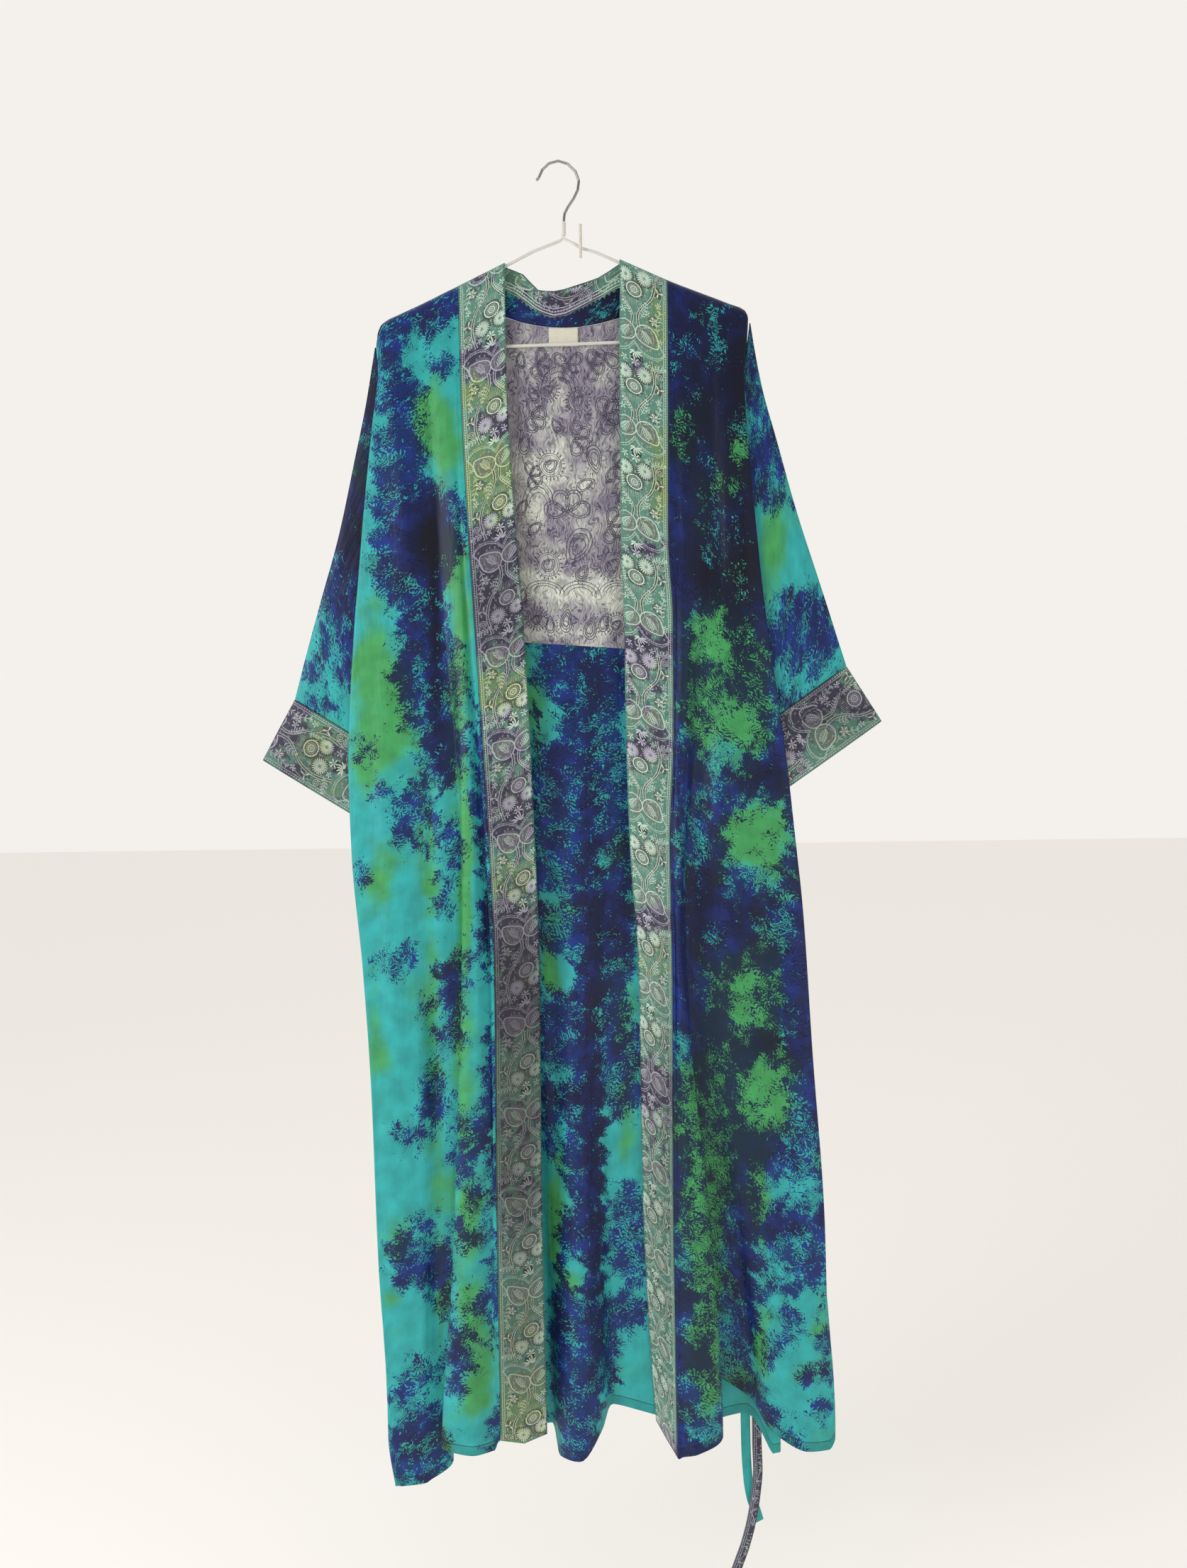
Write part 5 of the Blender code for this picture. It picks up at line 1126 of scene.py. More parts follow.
def band_grid(table, hem_drops, columns):
    """Points of a front band, from the shoulder ridge to the hem, outer edge first: straight
    across between its two edges at every drop."""
    across = np.linspace(0.0, 1.0, columns)
    top_x = table[0][1] + (table[0][3] - table[0][1]) * across
    top = ridge_drop(top_x)
    hem = np.interp(across, (0.0, 0.5, 1.0), hem_drops)
    drop = rows_between(top, hem)
    edge = band_edges(table, drop.ravel()).reshape(drop.shape + (4,))
    x = edge[:, :, 0] + (edge[:, :, 2] - edge[:, :, 0]) * across
    depth = edge[:, :, 1] + (edge[:, :, 3] - edge[:, :, 1]) * across
    depth = over_the_arm(depth, WIRE_DEPTH + RIDGE_GAP, drop - top)
    return np.stack([x, depth, drop], axis=2)


# Brocade ground: plain silk between the figures, blotched with later dyes, so it goes from teal
# green through yellow green to dark purple. Its weave shows as a faint twill 1.6 mm apart.
def overdye(finish, greens, warms, purples):
    """Add a brocade's three dyes to a finish, broken up at 17 mm, and return their mix
    and the cloth's lengths."""
    cloth = add_node(finish, "Attribute", attribute_name="cloth")
    tint = add_node(finish, "Attribute", attribute_name="tint")
    parts = add_node(finish, "SeparateXYZ", {0: (tint, "Vector")})
    breaks = add_node(finish, "TexNoise", {"Vector": (cloth, "Vector"), "Scale": 1 / 17, "Detail": 5.0,
                                           "Roughness": 0.62}, noise_dimensions="2D")
    purple = add_node(finish, "Math", {0: breaks, 1: 2.2, 2: parts}, operation="MULTIPLY_ADD")
    purple_share = add_node(finish, "MapRange", {0: purple, 1: 1.4, 2: 1.9}, interpolation_type="SMOOTHSTEP")
    warm = add_node(finish, "Math", {0: breaks, 1: -1.8, 2: (parts, 1)}, operation="MULTIPLY_ADD")
    warm_share = add_node(finish, "MapRange", {0: warm, 1: -0.8, 2: 0.1}, interpolation_type="SMOOTHSTEP")
    ground = add_node(finish, "Mix", {0: warm_share, 6: hex_colour(greens), 7: hex_colour(warms)},
                      data_type="RGBA")
    dyed = add_node(finish, "Mix", {0: purple_share, 6: (ground, 2), 7: hex_colour(purples)},
                    data_type="RGBA")
    # The tint's third part darkens the whole colour, down to 0.3 of it; on the cuffs it is painted shade.
    dark = add_node(finish, "MapRange", {0: (parts, 2), 1: 0.0, 2: 1.0, 3: 1.0, 4: 0.3})
    return add_node(finish, "VectorMath", {0: (dyed, 2), "Scale": dark}, operation="SCALE"), cloth


brocade_ground = new_finish("brocade_ground", Roughness=0.6, Sheen_Weight=0.1)
ground_dye, ground_cloth = overdye(brocade_ground, "5c8f80", "6b8c5c", "3a3650")
ground_map = add_node(brocade_ground, "Mapping", {0: (ground_cloth, "Vector"), "Rotation": (0.0, 0.0, 0.8),
                                                  "Scale": (1 / 1.6, 1 / 9.0, 1.0)})
ground_twill = add_node(brocade_ground, "TexNoise", {"Vector": ground_map, "Scale": 1.0, "Detail": 2.0},
                        noise_dimensions="2D")
ground_shade = add_node(brocade_ground, "MapRange", {0: ground_twill, 1: 0.3, 2: 0.7, 3: 0.8, 4: 1.15})
ground_colour = add_node(brocade_ground, "VectorMath", {0: ground_dye, "Scale": ground_shade},
                         operation="SCALE")
link_shader(brocade_ground, "Base Color", ground_colour)
ground_bump = add_node(brocade_ground, "Bump", {"Strength": 0.4, "Distance": 0.0003, "Height": ground_twill})
link_shader(brocade_ground, "Normal", ground_bump)

# Figuring thread: thick untwisted silk floated over the ground, with a satin shine. It took less
# of the dyes, so it stays silvery: pale green on the green parts and grey lilac on the purple.
silver_thread = new_finish("silver_thread", Roughness=0.42, Sheen_Weight=0.15)
thread_dye, thread_cloth = overdye(silver_thread, "bfd6c6", "c2d0a6", "b3b0c2")
thread_tone = add_node(silver_thread, "Attribute", attribute_name="tone")
thread_map = add_node(silver_thread, "Mapping", {0: (thread_cloth, "Vector"),
                                                 "Scale": (1 / 2.2, 1 / 0.8, 1.0)})
thread_grain = add_node(silver_thread, "TexNoise", {"Vector": thread_map, "Scale": 1.0, "Detail": 3.0},
                        noise_dimensions="2D")
thread_shade = add_node(silver_thread, "Math", {0: thread_grain, 1: 0.5, 2: (thread_tone, "Fac")},
                        operation="MULTIPLY_ADD")
thread_colour = add_node(silver_thread, "VectorMath", {0: thread_dye, "Scale": thread_shade},
                         operation="SCALE")
link_shader(silver_thread, "Base Color", thread_colour)
thread_bump = add_node(silver_thread, "Bump", {"Strength": 0.5, "Distance": 0.0002, "Height": thread_grain})
link_shader(silver_thread, "Normal", thread_bump)

# One repeat of the brocade, 111.5 mm long: a beaded medallion and two rosettes in a frame of
# double stems, two leaves in hearts held by beaded swags, lilies, and small flowers beside them.
REPEAT = 111.5
AXIS = 37.5                     # the axis lies this far from the strip's outer edge
INNER = 18.5                    # and this far from its inner edge
WOVEN_DARK = -0.1               # tone of the darkest weave
HEART_TONE = 0.05               # and of the field in a heart
brocade = []
# Dark and pale fields below the figures: s, v, reach along s and v, tone and lift.
for field_s, field_v, field_wide, field_long, field_tone, field_lift in (
        (2, 76, 11.8, 11, WOVEN_DARK, 0), (2, 76, 6.8, 6.2, 0.2, 0.03), (12, 90, 10, 10, WOVEN_DARK, 0),
        (-10, 93, 10.8, 10.8, WOVEN_DARK, 0), (-12.5, 27, 13, 13.4, HEART_TONE, 0),
        (12, 25.5, 12.2, 13, HEART_TONE, 0), (0, -1, 6.5, 7.5, WOVEN_DARK, 0),
        (0, REPEAT - 1, 6.5, 7.5, WOVEN_DARK, 0), (-28, 98, 5.4, 5.4, WOVEN_DARK, 0),
        (-27, 83, 6.6, 6.6, WOVEN_DARK, 0), (-21, 48, 6.4, 6.4, WOVEN_DARK, 0)):
    disc(brocade, (field_s, field_v), field_wide, field_long, field_tone, field_lift)
# The two stems that frame a repeat: a dark band each, with two silver lines over it. Points, and
# the steps of the band and of the lines.
STEMS = ((((-17, 112), (-20, 103), (-22, 92), (-21, 82), (-17, 71), (-9, 61), (-3.5, 52), (-2.4, 44),
           (-4, 34)), 20, 26),
         (((21, 69), (18, 66), (11, 58), (5.5, 51), (3.6, 44), (5, 34)), 14, 18))
for stem_points, stem_steps, _ in STEMS:
    stroke(brocade, curve(stem_points, stem_steps), 4.6, WOVEN_DARK, FLAT_EDGE, FLAT_RISE)
for stem_aside in (-1.3, 1.3):
    for stem_points, _, stem_steps in STEMS:
        stroke(brocade, curve(stem_points, stem_steps) + (stem_aside, 0.0), 1.2, 0.85)
ring(brocade, (2, 76), 8.6, 7.9, 1.6, 0.9, 24)
beads(brocade, around((2, 76), np.linspace(0, 2 * math.pi, 49), 8.6, 7.9), 2.3, 2.4, 1.35)
ring(brocade, (2, 76), 3.6, 3.4, 1.5, 1.1, 16)
ring(brocade, (2, 76), 1.3, 1.2, 1.2, 1.0, 8)
for medallion_angle in range(0, 360, 20):
    petal(brocade, (2, 76), medallion_angle, 4.8, 6.8, 0.7, 0.35)
for rosette_s, rosette_v, rosette_reach in ((12, 90, 8.6), (-10, 93, 9.4)):
    for rosette_angle in range(0, 360, 17):
        petal(brocade, (rosette_s, rosette_v), rosette_angle, 1.8, rosette_reach, 2.0, 0.95)
    spiral(brocade, (rosette_s, rosette_v), 1.5, 1.4, 0.8, 0.8)
for heart_side, heart_at, heart_long, heart_wide in ((-1, (-13.2, 26.6), 27.0, 24.0),
                                                     (1, (12.2, 25.0), 26.0, 22.5)):
    drop_outline(brocade, heart_at, heart_long, heart_wide, heart_side * 30, 1, 1.6, 0.95, THREAD_EDGE,
                 THREAD_RISE, 0.45, heart_side * 0.25)
    drop_outline(brocade, heart_at, heart_long - 7.0, heart_wide - 6.5, heart_side * 30, 1, 0.8, 0.45,
                 THREAD_EDGE, THREAD_RISE, 0.45)
    rib = curve([(heart_side * a, b) for a, b in ((7.5, 33), (10.5, 29.5), (13.5, 25.5), (16.5, 21.5))], 6)
    stroke(brocade, rib, (1.6, 1.5, 1.4, 1.2, 1.0, 0.4), 0.9)
    for vein_at, vein_reach in ((0.3, 4.6), (1.1, 6.0), (1.9, 6.4), (2.7, 5.8), (3.5, 4.6), (4.3, 3.2)):
        vein_root = np.array([np.interp(vein_at, np.arange(6), rib[:, n]) for n in (0, 1)])
        for vein_angle in (180 - heart_side * 82, 180 + heart_side * 4):
            petal(brocade, vein_root, vein_angle, 0.3, vein_reach + 1.2, 1.1, 1.1, heart_side * 0.2)
# Swags, each a line and a row of beads beside it: points, steps, tone and the way to the beads.
for swag_points, swag_steps, swag_tone, swag_aside in (
        (((1, 15), (-5, 8), (-14, 4), (-24, 4.5), (-30, 8), (-34, 14)), 24, 0.7, (0.0, 2.2)),
        (((-8, 38), (-16, 40), (-22, 36), (-25, 28), (-29, 20), (-34, 14)), 24, 0.8, (-1.6, -1.2)),
        (((1, 15), (7, 7), (13, 3), (20, 1)), 16, 0.7, (0.8, 2.2))):
    swag = curve(swag_points, swag_steps)
    stroke(brocade, swag, 0.8, swag_tone)
    beads(brocade, swag + swag_aside, 2.4, 1.8)
for lily_angle, lily_reach in ((180, 8), (152, 8.5), (208, 8.5), (122, 9), (238, 9), (96, 7), (264, 7)):
    petal(brocade, (0, 6), lily_angle, 1.0, lily_reach, 2.4, 1.05, 0.15)
for bloom_s, bloom_v, bloom_count, bloom_reach, bloom_wide, bloom_turn in (
        (0.5, 105, 6, 5.6, 2.6, 12), (-27, 83, 3, 6.0, 2.6, 40), (-26.5, 68, 5, 4.0, 1.6, 10),
        (-21, 48, 5, 5.6, 2.4, 20), (-13, 106, 5, 3.6, 1.6, 0), (13, 106, 5, 4.4, 1.8, 30),
        (-29, 28, 5, 3.2, 1.4, 0), (-14, 54, 4, 3.4, 1.4, 45), (15, 49, 5, 4.2, 1.8, 10),
        (-13, 82, 4, 2.4, 1.0, 0)):
    for bloom_number in range(bloom_count):
        petal(brocade, (bloom_s, bloom_v), bloom_turn + bloom_number * 360 / bloom_count, 0.8, bloom_reach,
              bloom_wide, 1.0)
    ring(brocade, (bloom_s, bloom_v), 0.6, 0.6, 0.8, 0.7, 6)
spiral(brocade, (-28, 98), 4.4, 2.2, 0.9, 1.0)
spiral(brocade, (16, 77), 2.4, 1.6, 0.7, 0.8)
for frond_path, frond_reach in (
        (((-6, 46), (-10, 54), (-12, 64)), 5.0), (((-27, 34), (-24, 46), (-28, 60)), 6.0),
        (((4, 46), (8, 52), (14, 58)), 4.6), (((-17, 101), (-24, 106), (-33, 108)), 5.0),
        (((14, 66), (16, 72), (17, 80)), 3.6)):
    frond(brocade, curve(frond_path, 6), frond_reach)
for hatch_s in np.linspace(-7.0, 9.0, 9):
    hatch_v = 64.0 - abs(hatch_s - 1.0) * 0.2 + np.array((-5.5, 0.0, 3.0))
    stroke(brocade, np.column_stack([np.full(3, hatch_s), hatch_v]), 0.6, 0.6)
stroke(brocade, curve(((-24, 54), (-29, 60), (-26, 66), (-29, 74), (-31, 82), (-29, 90)), 18), 0.8, 0.7)
# Small sprigs fill the ground between the figures.
FILL_SEED = 5
FILL_STEP = 6.2
fill_chance = np.random.default_rng(FILL_SEED)
for fill_v in np.arange(1.0, REPEAT - 1.0, FILL_STEP):
    for fill_s in np.arange(2.0 - AXIS + 4.0, INNER, FILL_STEP):
        fill_at = np.array((fill_s, fill_v)) + fill_chance.uniform(-1.8, 1.8, 2)
        fill_angle = fill_chance.uniform(0.0, 360.0)
        for fill_turn in (-38.0, 0.0, 38.0):
            petal(brocade, fill_at, fill_angle + fill_turn, 0.4, 2.6, 1.0, 0.45)
border_line = np.stack([np.full(28, -32.4), np.linspace(0.0, REPEAT, 28)], axis=1)
stroke(brocade, border_line, 0.9, 0.85)
stroke(brocade, border_line + (-4.4, 0.0), 0.7, 0.6)
beads(brocade, border_line + (-2.4, 0.0), REPEAT / 37, 2.1, 0.75)

# Where each band is purple, where warm and where dark: x, drop, two radii and amount.
BAND_RIGHT_DYES = (
    ((-118, 30, 24, 16, 0.7), (-115, 128, 60, 28, 1.0), (-100, 200, 36, 18, 0.9), (-110, 342, 60, 36, 1.1),
     (-110, 430, 60, 62, 1.1), (-95, 566, 60, 34, 0.6), (-95, 655, 60, 66, 0.9), (-90, 805, 60, 52, 1.1),
     (-90, 898, 60, 50, 1.1), (-88, 1030, 60, 36, 0.5), (-88, 1130, 60, 70, 0.6), (-62, 1420, 20, 22, 0.6)),
    ((-125, 165, 40, 22, 0.9), (-110, 262, 60, 56, 1.0), (-100, 512, 60, 28, 1.0), (-92, 738, 60, 26, 0.7),
     (-85, 1290, 60, 40, 0.5), (-90, 1400, 60, 60, 0.9)),
    ((-90, 880, 60, 140, 1.1), (-90, 1090, 60, 160, 1.0), (-85, 1320, 60, 130, 0.6), (-105, 410, 60, 90, 0.6),
     (-95, 640, 60, 80, 0.4)),
)
BAND_LEFT_DYES = (
    ((64, 134, 16, 11, 0.7), (72, 345, 60, 15, 0.7), (70, 465, 60, 32, 1.0), (70, 580, 60, 24, 0.9),
     (72, 522, 60, 30, 0.4), (75, 790, 60, 18, 1.1), (80, 1000, 60, 46, 1.0), (80, 1090, 60, 40, 0.4),
     (88, 1250, 30, 20, 0.3), (88, 1452, 40, 30, 0.9)),
    ((88, 90, 14, 54, 0.8), (90, 235, 14, 34, 0.8), (90, 290, 14, 34, 0.9), (80, 840, 40, 30, 0.5)),
    ((84, 1100, 60, 260, 0.3), (95, 1000, 12, 400, 0.3)),
)


def strip_values(dyes, points, across, down):
    """What a brocade's finishes read: lengths on the cloth, and how purple, warm and dark."""
    zones = [soft_patches(table, points) for table in dyes]
    return {"cloth": np.stack([across, down, down * 0.0], axis=-1), "tint": np.stack(zones, axis=-1)}


# Each band: its edges, hem and dyes, where a repeat starts, and which way the repeats run.
for band_name, band_table, band_hem, band_dyes, band_start, band_way in (
        ("band_right", BAND_RIGHT, BAND_RIGHT_HEM, BAND_RIGHT_DYES, -3.0, 1.0),
        ("band_left", BAND_LEFT, BAND_LEFT_HEM, BAND_LEFT_DYES, 127.0, -1.0)):
    band_points = band_grid(band_table, band_hem, BAND_COLUMNS)
    band_across, band_down = cloth_lengths(band_points)
    band = make_cloth(band_name + "_strip", band_points, brocade_ground,
                      strip_values(band_dyes, band_points, band_across, band_down))
    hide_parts(band_name)
    band_middle = band_points[:, BAND_COLUMNS // 2, 2]
    band_flat, band_tone, band_faces = laid_out(brocade, np.array(REPEATS) * REPEAT, 0.4 - AXIS, INNER - 0.3)
    figure_drop = band_start + band_way * band_flat[:, 1]
    band_in = ((figure_drop > band_middle[0] + BAND_BARE_TOP)
               & (figure_drop < band_middle[-1] - BAND_BARE_HEM))
    band_used, band_faces = faces_inside(band_faces, band_in)
    band_flat, band_tone = band_flat[band_used], band_tone[band_used]
    figure_row = np.interp(figure_drop[band_used], band_middle, np.arange(len(band_middle)))
    figure_column = (AXIS + band_flat[:, 0]) / (AXIS + INNER) * (BAND_COLUMNS - 1)
    figure_places, band_faces = lay_on(band_points, 0.0, figure_row, figure_column, band_flat[:, 2],
                                       band_faces)
    figure_down = np.interp(figure_row, np.arange(len(band_middle)), band_down[:, BAND_COLUMNS // 2])
    figure_values = strip_values(band_dyes, figure_places, band_flat[:, 0] + AXIS - (AXIS + INNER) / 2,
                                 figure_down)
    figure = make_piece(band_name + "_figures", figure_places, band_faces, silver_thread,
                        {**figure_values, "tone": band_tone})
    # Each is sewn down along both long edges.
    band_rows = np.arange(len(band_points))
    band_inset = BAND_SEAM_IN / (AXIS + INNER) * (BAND_COLUMNS - 1)
    band_sewing = sew(band_name + "_stitches", band_points,
                      [(band_rows, band_inset), (band_rows, BAND_COLUMNS - 1 - band_inset)])


# Back neck band. The brocade turned up round the back of the neck, over a strip of the dyed silk.
NECK_COLUMNS = 14
NECK_NAVY_MOST = 7.0            # its greatest depth in the navy
NECK_STEPS = 6


def neck_grid(steps, columns):
    """Points of the back neck band, straight between its sewn edge and its free edge at each
    station, with the stations read smoothly along it."""
    stations = neck_stations()
    along = np.linspace(0.0, len(stations) - 1.0, (len(stations) - 1) * steps + 1)
    read = np.stack([np.interp(along, np.arange(len(stations)), stations[:, n]) for n in range(6)], axis=1)
    top_edge, sewn_edge = read[:, None, :3], read[:, None, 3:]
    share = np.linspace(0.0, 1.0, columns)[None, :, None]
    points = sewn_edge + (top_edge - sewn_edge) * share
    return points[:, :, [0, 2, 1]]


# The strip itself is the dyed silk, navy with a little teal, darkest at the wearer's left.
NECK_CLEAR = ((-80, 52, 12, 8, 3), (-66, 68, 10, 5, 1), (-16, 76, 9, 4, 1), (16, 70, 8, 5, 0))
neck_points = neck_grid(NECK_STEPS, NECK_COLUMNS)
neck_navy = np.minimum(NECK_NAVY_MOST, -patch_depth(NECK_CLEAR, neck_points))
neck_deep = np.clip((neck_points[:, :, 0] + 20.0) / 60.0, 0.1, 0.8)
neck = make_cloth("neck_strip", neck_points, dyed_silk,
                  dye_values(neck_points, neck_navy, deep=neck_deep, hemmed=False))
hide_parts("band_neck")
# Over it lies the brocade, turned down from the free edge: its cut edge is pinked into teeth. How
# far up the strip the teeth stand, at the x of the free edge.
NECK_TEETH = ((-89, 0.60), (-77, 0.55), (-59, 0.50), (-44, 0.36), (-32, 0.28), (-20, 0.33), (-6, 0.43),
              (8, 0.50), (20, 0.55), (33, 0.60), (46, 0.60))
TOOTH_PITCH = 5.2
TOOTH_HEIGHT = 4.2
NECK_LAP_WALL = 0.7
NECK_LAP_COLUMNS = 16
NECK_LAP_END = 0.985            # share of the strip's width at which the lap ends
# Where it is purple, warm and dark, as for the bands.
NECK_DYES = (((-25, 60, 34, 26, 1.1), (12, 46, 16, 16, 0.5), (-70, 40, 10, 14, 0.5)),
             ((-80, 25, 14, 12, 0.3),), ((-25, 55, 200, 60, 0.35),))
NECK_LAP_STEPS = 12
lap_read = neck_grid(NECK_LAP_STEPS, 2)[NECK_LAP_STEPS:-NECK_LAP_STEPS]
lap_sewn, lap_free = lap_read[:, 0], lap_read[:, 1]
lap_along = length_along(lap_free)
lap_width = np.linalg.norm(lap_free - lap_sewn, axis=1)
teeth_x, teeth_share = np.array(NECK_TEETH).T
lap_low = np.interp(lap_free[:, 0], teeth_x, teeth_share)
lap_tooth = np.abs((lap_along / TOOTH_PITCH) % 1.0 - 0.5) * 2.0 * TOOTH_HEIGHT / lap_width
lap_share = np.linspace(0.0, 1.0, NECK_LAP_COLUMNS)[None, :]
lap_from = (lap_low - lap_tooth)[:, None]
lap_up = lap_low[:, None] + (NECK_LAP_END - lap_low[:, None]) * lap_share
lap_at = np.where(lap_share == 0.0, lap_from, lap_up)
lap_points = lap_sewn[:, None] + (lap_free - lap_sewn)[:, None] * lap_at[:, :, None]
lap_out = grid_normals(lap_points)
lap_out *= np.sign(np.sum(lap_out[:, :, 1]))
lap_points = lap_points + lap_out * (CLOTH / 2 + SEAM / 3 + NECK_LAP_WALL / 2)
lap_across, lap_down = cloth_lengths(lap_points)
neck_lap = make_cloth("neck_brocade", lap_points, brocade_ground,
                      strip_values(NECK_DYES, lap_points, lap_across, lap_down), NECK_LAP_WALL)
# Its edging: two pale lines with a row of fat beads between them, and a line round the teeth.
edging = list(brocade)
edging_v = np.arange(0.0, REPEAT, 1.3)
for edging_s, edging_width in ((-35.2, 1.3), (-28.6, 1.1)):
    edging_line = np.column_stack([np.full(len(edging_v), edging_s), edging_v])
    stroke(edging, edging_line, edging_width, 1.25, -0.1, 0.5)
beads(edging, np.stack([np.full(2, -31.9), np.array((0.0, REPEAT))], axis=1), 3.0, 2.6, 1.2)
lap_flat, lap_tone, lap_faces = laid_out(edging, (0.0, REPEAT), 0.6 - AXIS, INNER, 1.0, lap_along[-1] - 1.0)
lap_row = np.interp(lap_flat[:, 1], lap_along, np.arange(len(lap_along)))
lap_room = np.interp(lap_row, np.arange(len(lap_along)), lap_width * (NECK_LAP_END - lap_low))
lap_in = AXIS + lap_flat[:, 0] < lap_room - 0.4
lap_used, lap_faces = faces_inside(lap_faces, lap_in)
lap_column = ((AXIS + lap_flat[:, 0]) / lap_room)[lap_used] * (NECK_LAP_COLUMNS - 1)
lap_places, lap_faces = lay_on(lap_points, 0.0, lap_row[lap_used], lap_column,
                               lap_flat[lap_used, 2] - CLOTH / 2 + NECK_LAP_WALL / 2, lap_faces)
lap_figure = make_piece("neck_figures", lap_places, lap_faces, silver_thread,
                        {**strip_values(NECK_DYES, lap_places, lap_flat[lap_used, 1],
                                        lap_flat[lap_used, 0]), "tone": lap_tone[lap_used]})


# Front panels. Plain dyed silk from the band to the side seam, with a deep fold beside the band
# that opens towards the hem, folded back round the side, slit below and hemmed.
RIDGE_FRONT = WIRE_DEPTH + RIDGE_GAP
# Lines of each front, as for the back: place across it, depth on the hanger and drop at the hem.
# Sections: drop, then x and depth of each line.
FRONT_RIGHT_LINES = (
    (0.10, RIDGE_FRONT, 1446), (0.20, RIDGE_FRONT, 1443), (0.30, RIDGE_FRONT, 1440),
    (0.38, RIDGE_FRONT, 1478), (0.45, RIDGE_FRONT, 1496), (0.62, RIDGE_FRONT, 1501),
    (0.80, RIDGE_FRONT, 1503), (0.83, 18.5, 1502.5), (0.97, 19.8, 1504), (1.00, 20.4, 1504),
)
FRONT_RIGHT_SECTIONS = (
    (40, -151, 22.5, -158, 23, -166, 23, -178, 22.5, -187, 22, -206, 22,
     -231, 20.5, -237, 20.5, -240.5, 20.5, -242.5, 20.5),
    (110, -151, 24.5, -159, 25, -167, 25, -179, 25, -188, 25, -210, 25.5,
     -234.5, 25.6, -238.2, 25, -240.2, 24.1, -240.8, 22.8),
    (200, -149, 26.5, -160, 28, -168, 28, -180, 26.5, -190, 27.5, -214, 30.5,
     -246.5, 28.3, -241, 25.5, -230, 25.2, -223.5, 24.2),
    (300, -146, 27, -152, 30, -160, 29.5, -173, 27.5, -186, 28.5, -219, 31.5,
     -259, 28.8, -251, 25.6, -216, 25.3, -205.6, 24.2),
    (385, -142, 28.5, -148, 33, -156, 31.5, -170, 27.5, -184, 28.5, -222, 31.5,
     -268, 29, -260, 25.6, -200, 25.2, -190, 22.2),
    (430, -140, 29, -146, 34.5, -155, 32.5, -168, 27, -182, 28.5, -223, 31.5,
     -273, 29, -265, 25.6, -186, 25.2, -176, 18.2),
    (620, -130, 30, -140, 40, -150, 36, -156, 25, -176, 28, -225, 31.5,
     -285, 29, -277, 25.6, -186, 25.2, -176, 18.2),
    (710, -126, 31, -138, 43, -150, 38, -153, 22, -178, 27.5, -225, 31.5,
     -283.5, 29, -276, 25.6, -198, 25, -188, 18.2),
    (850, -121, 34, -136, 47, -153, 40, -155, 20, -183, 26, -219, 30.5,
     -273.5, 29, -267, 25.4, -231, 24, -222, 18.2),
    (1000, -120, 38, -139, 51, -160, 42, -161, 20, -189, 25, -216, 30,
     -267, 29, -262, 25.2, -248, 23.5, -240, 18.2),
    (1211, -123, 43, -146, 56, -171, 46, -168, 19.5, -196, 25, -216, 29.5,
     -264, 28.5, -262.5, 25.8, -260, 23.4, -257.5, 20),
    (1440, -125, 48, -152, 62, -188, 50, -178, 19.5, -203, 24, -217, 27.5,
     -250, 28.6, -253, 28.2, -256.5, 27.2, -258, 26.2),
    (1510, -125, 48, -152, 62, -189, 50, -180, 19.5, -203, 24, -214, 27,
     -243, 28.6, -246, 28.2, -248.5, 27.4, -249.5, 26.6),
)
FRONT_LEFT_LINES = (
    (0.08, RIDGE_FRONT, 1454), (0.16, RIDGE_FRONT, 1446), (0.26, RIDGE_FRONT, 1430),
    (0.34, RIDGE_FRONT, 1372), (0.44, RIDGE_FRONT, 1405), (0.54, RIDGE_FRONT, 1437),
    (0.66, RIDGE_FRONT, 1461), (0.80, RIDGE_FRONT, 1463), (0.83, 18.5, 1462), (0.97, 20, 1456),
    (1.00, 20.6, 1451),
)
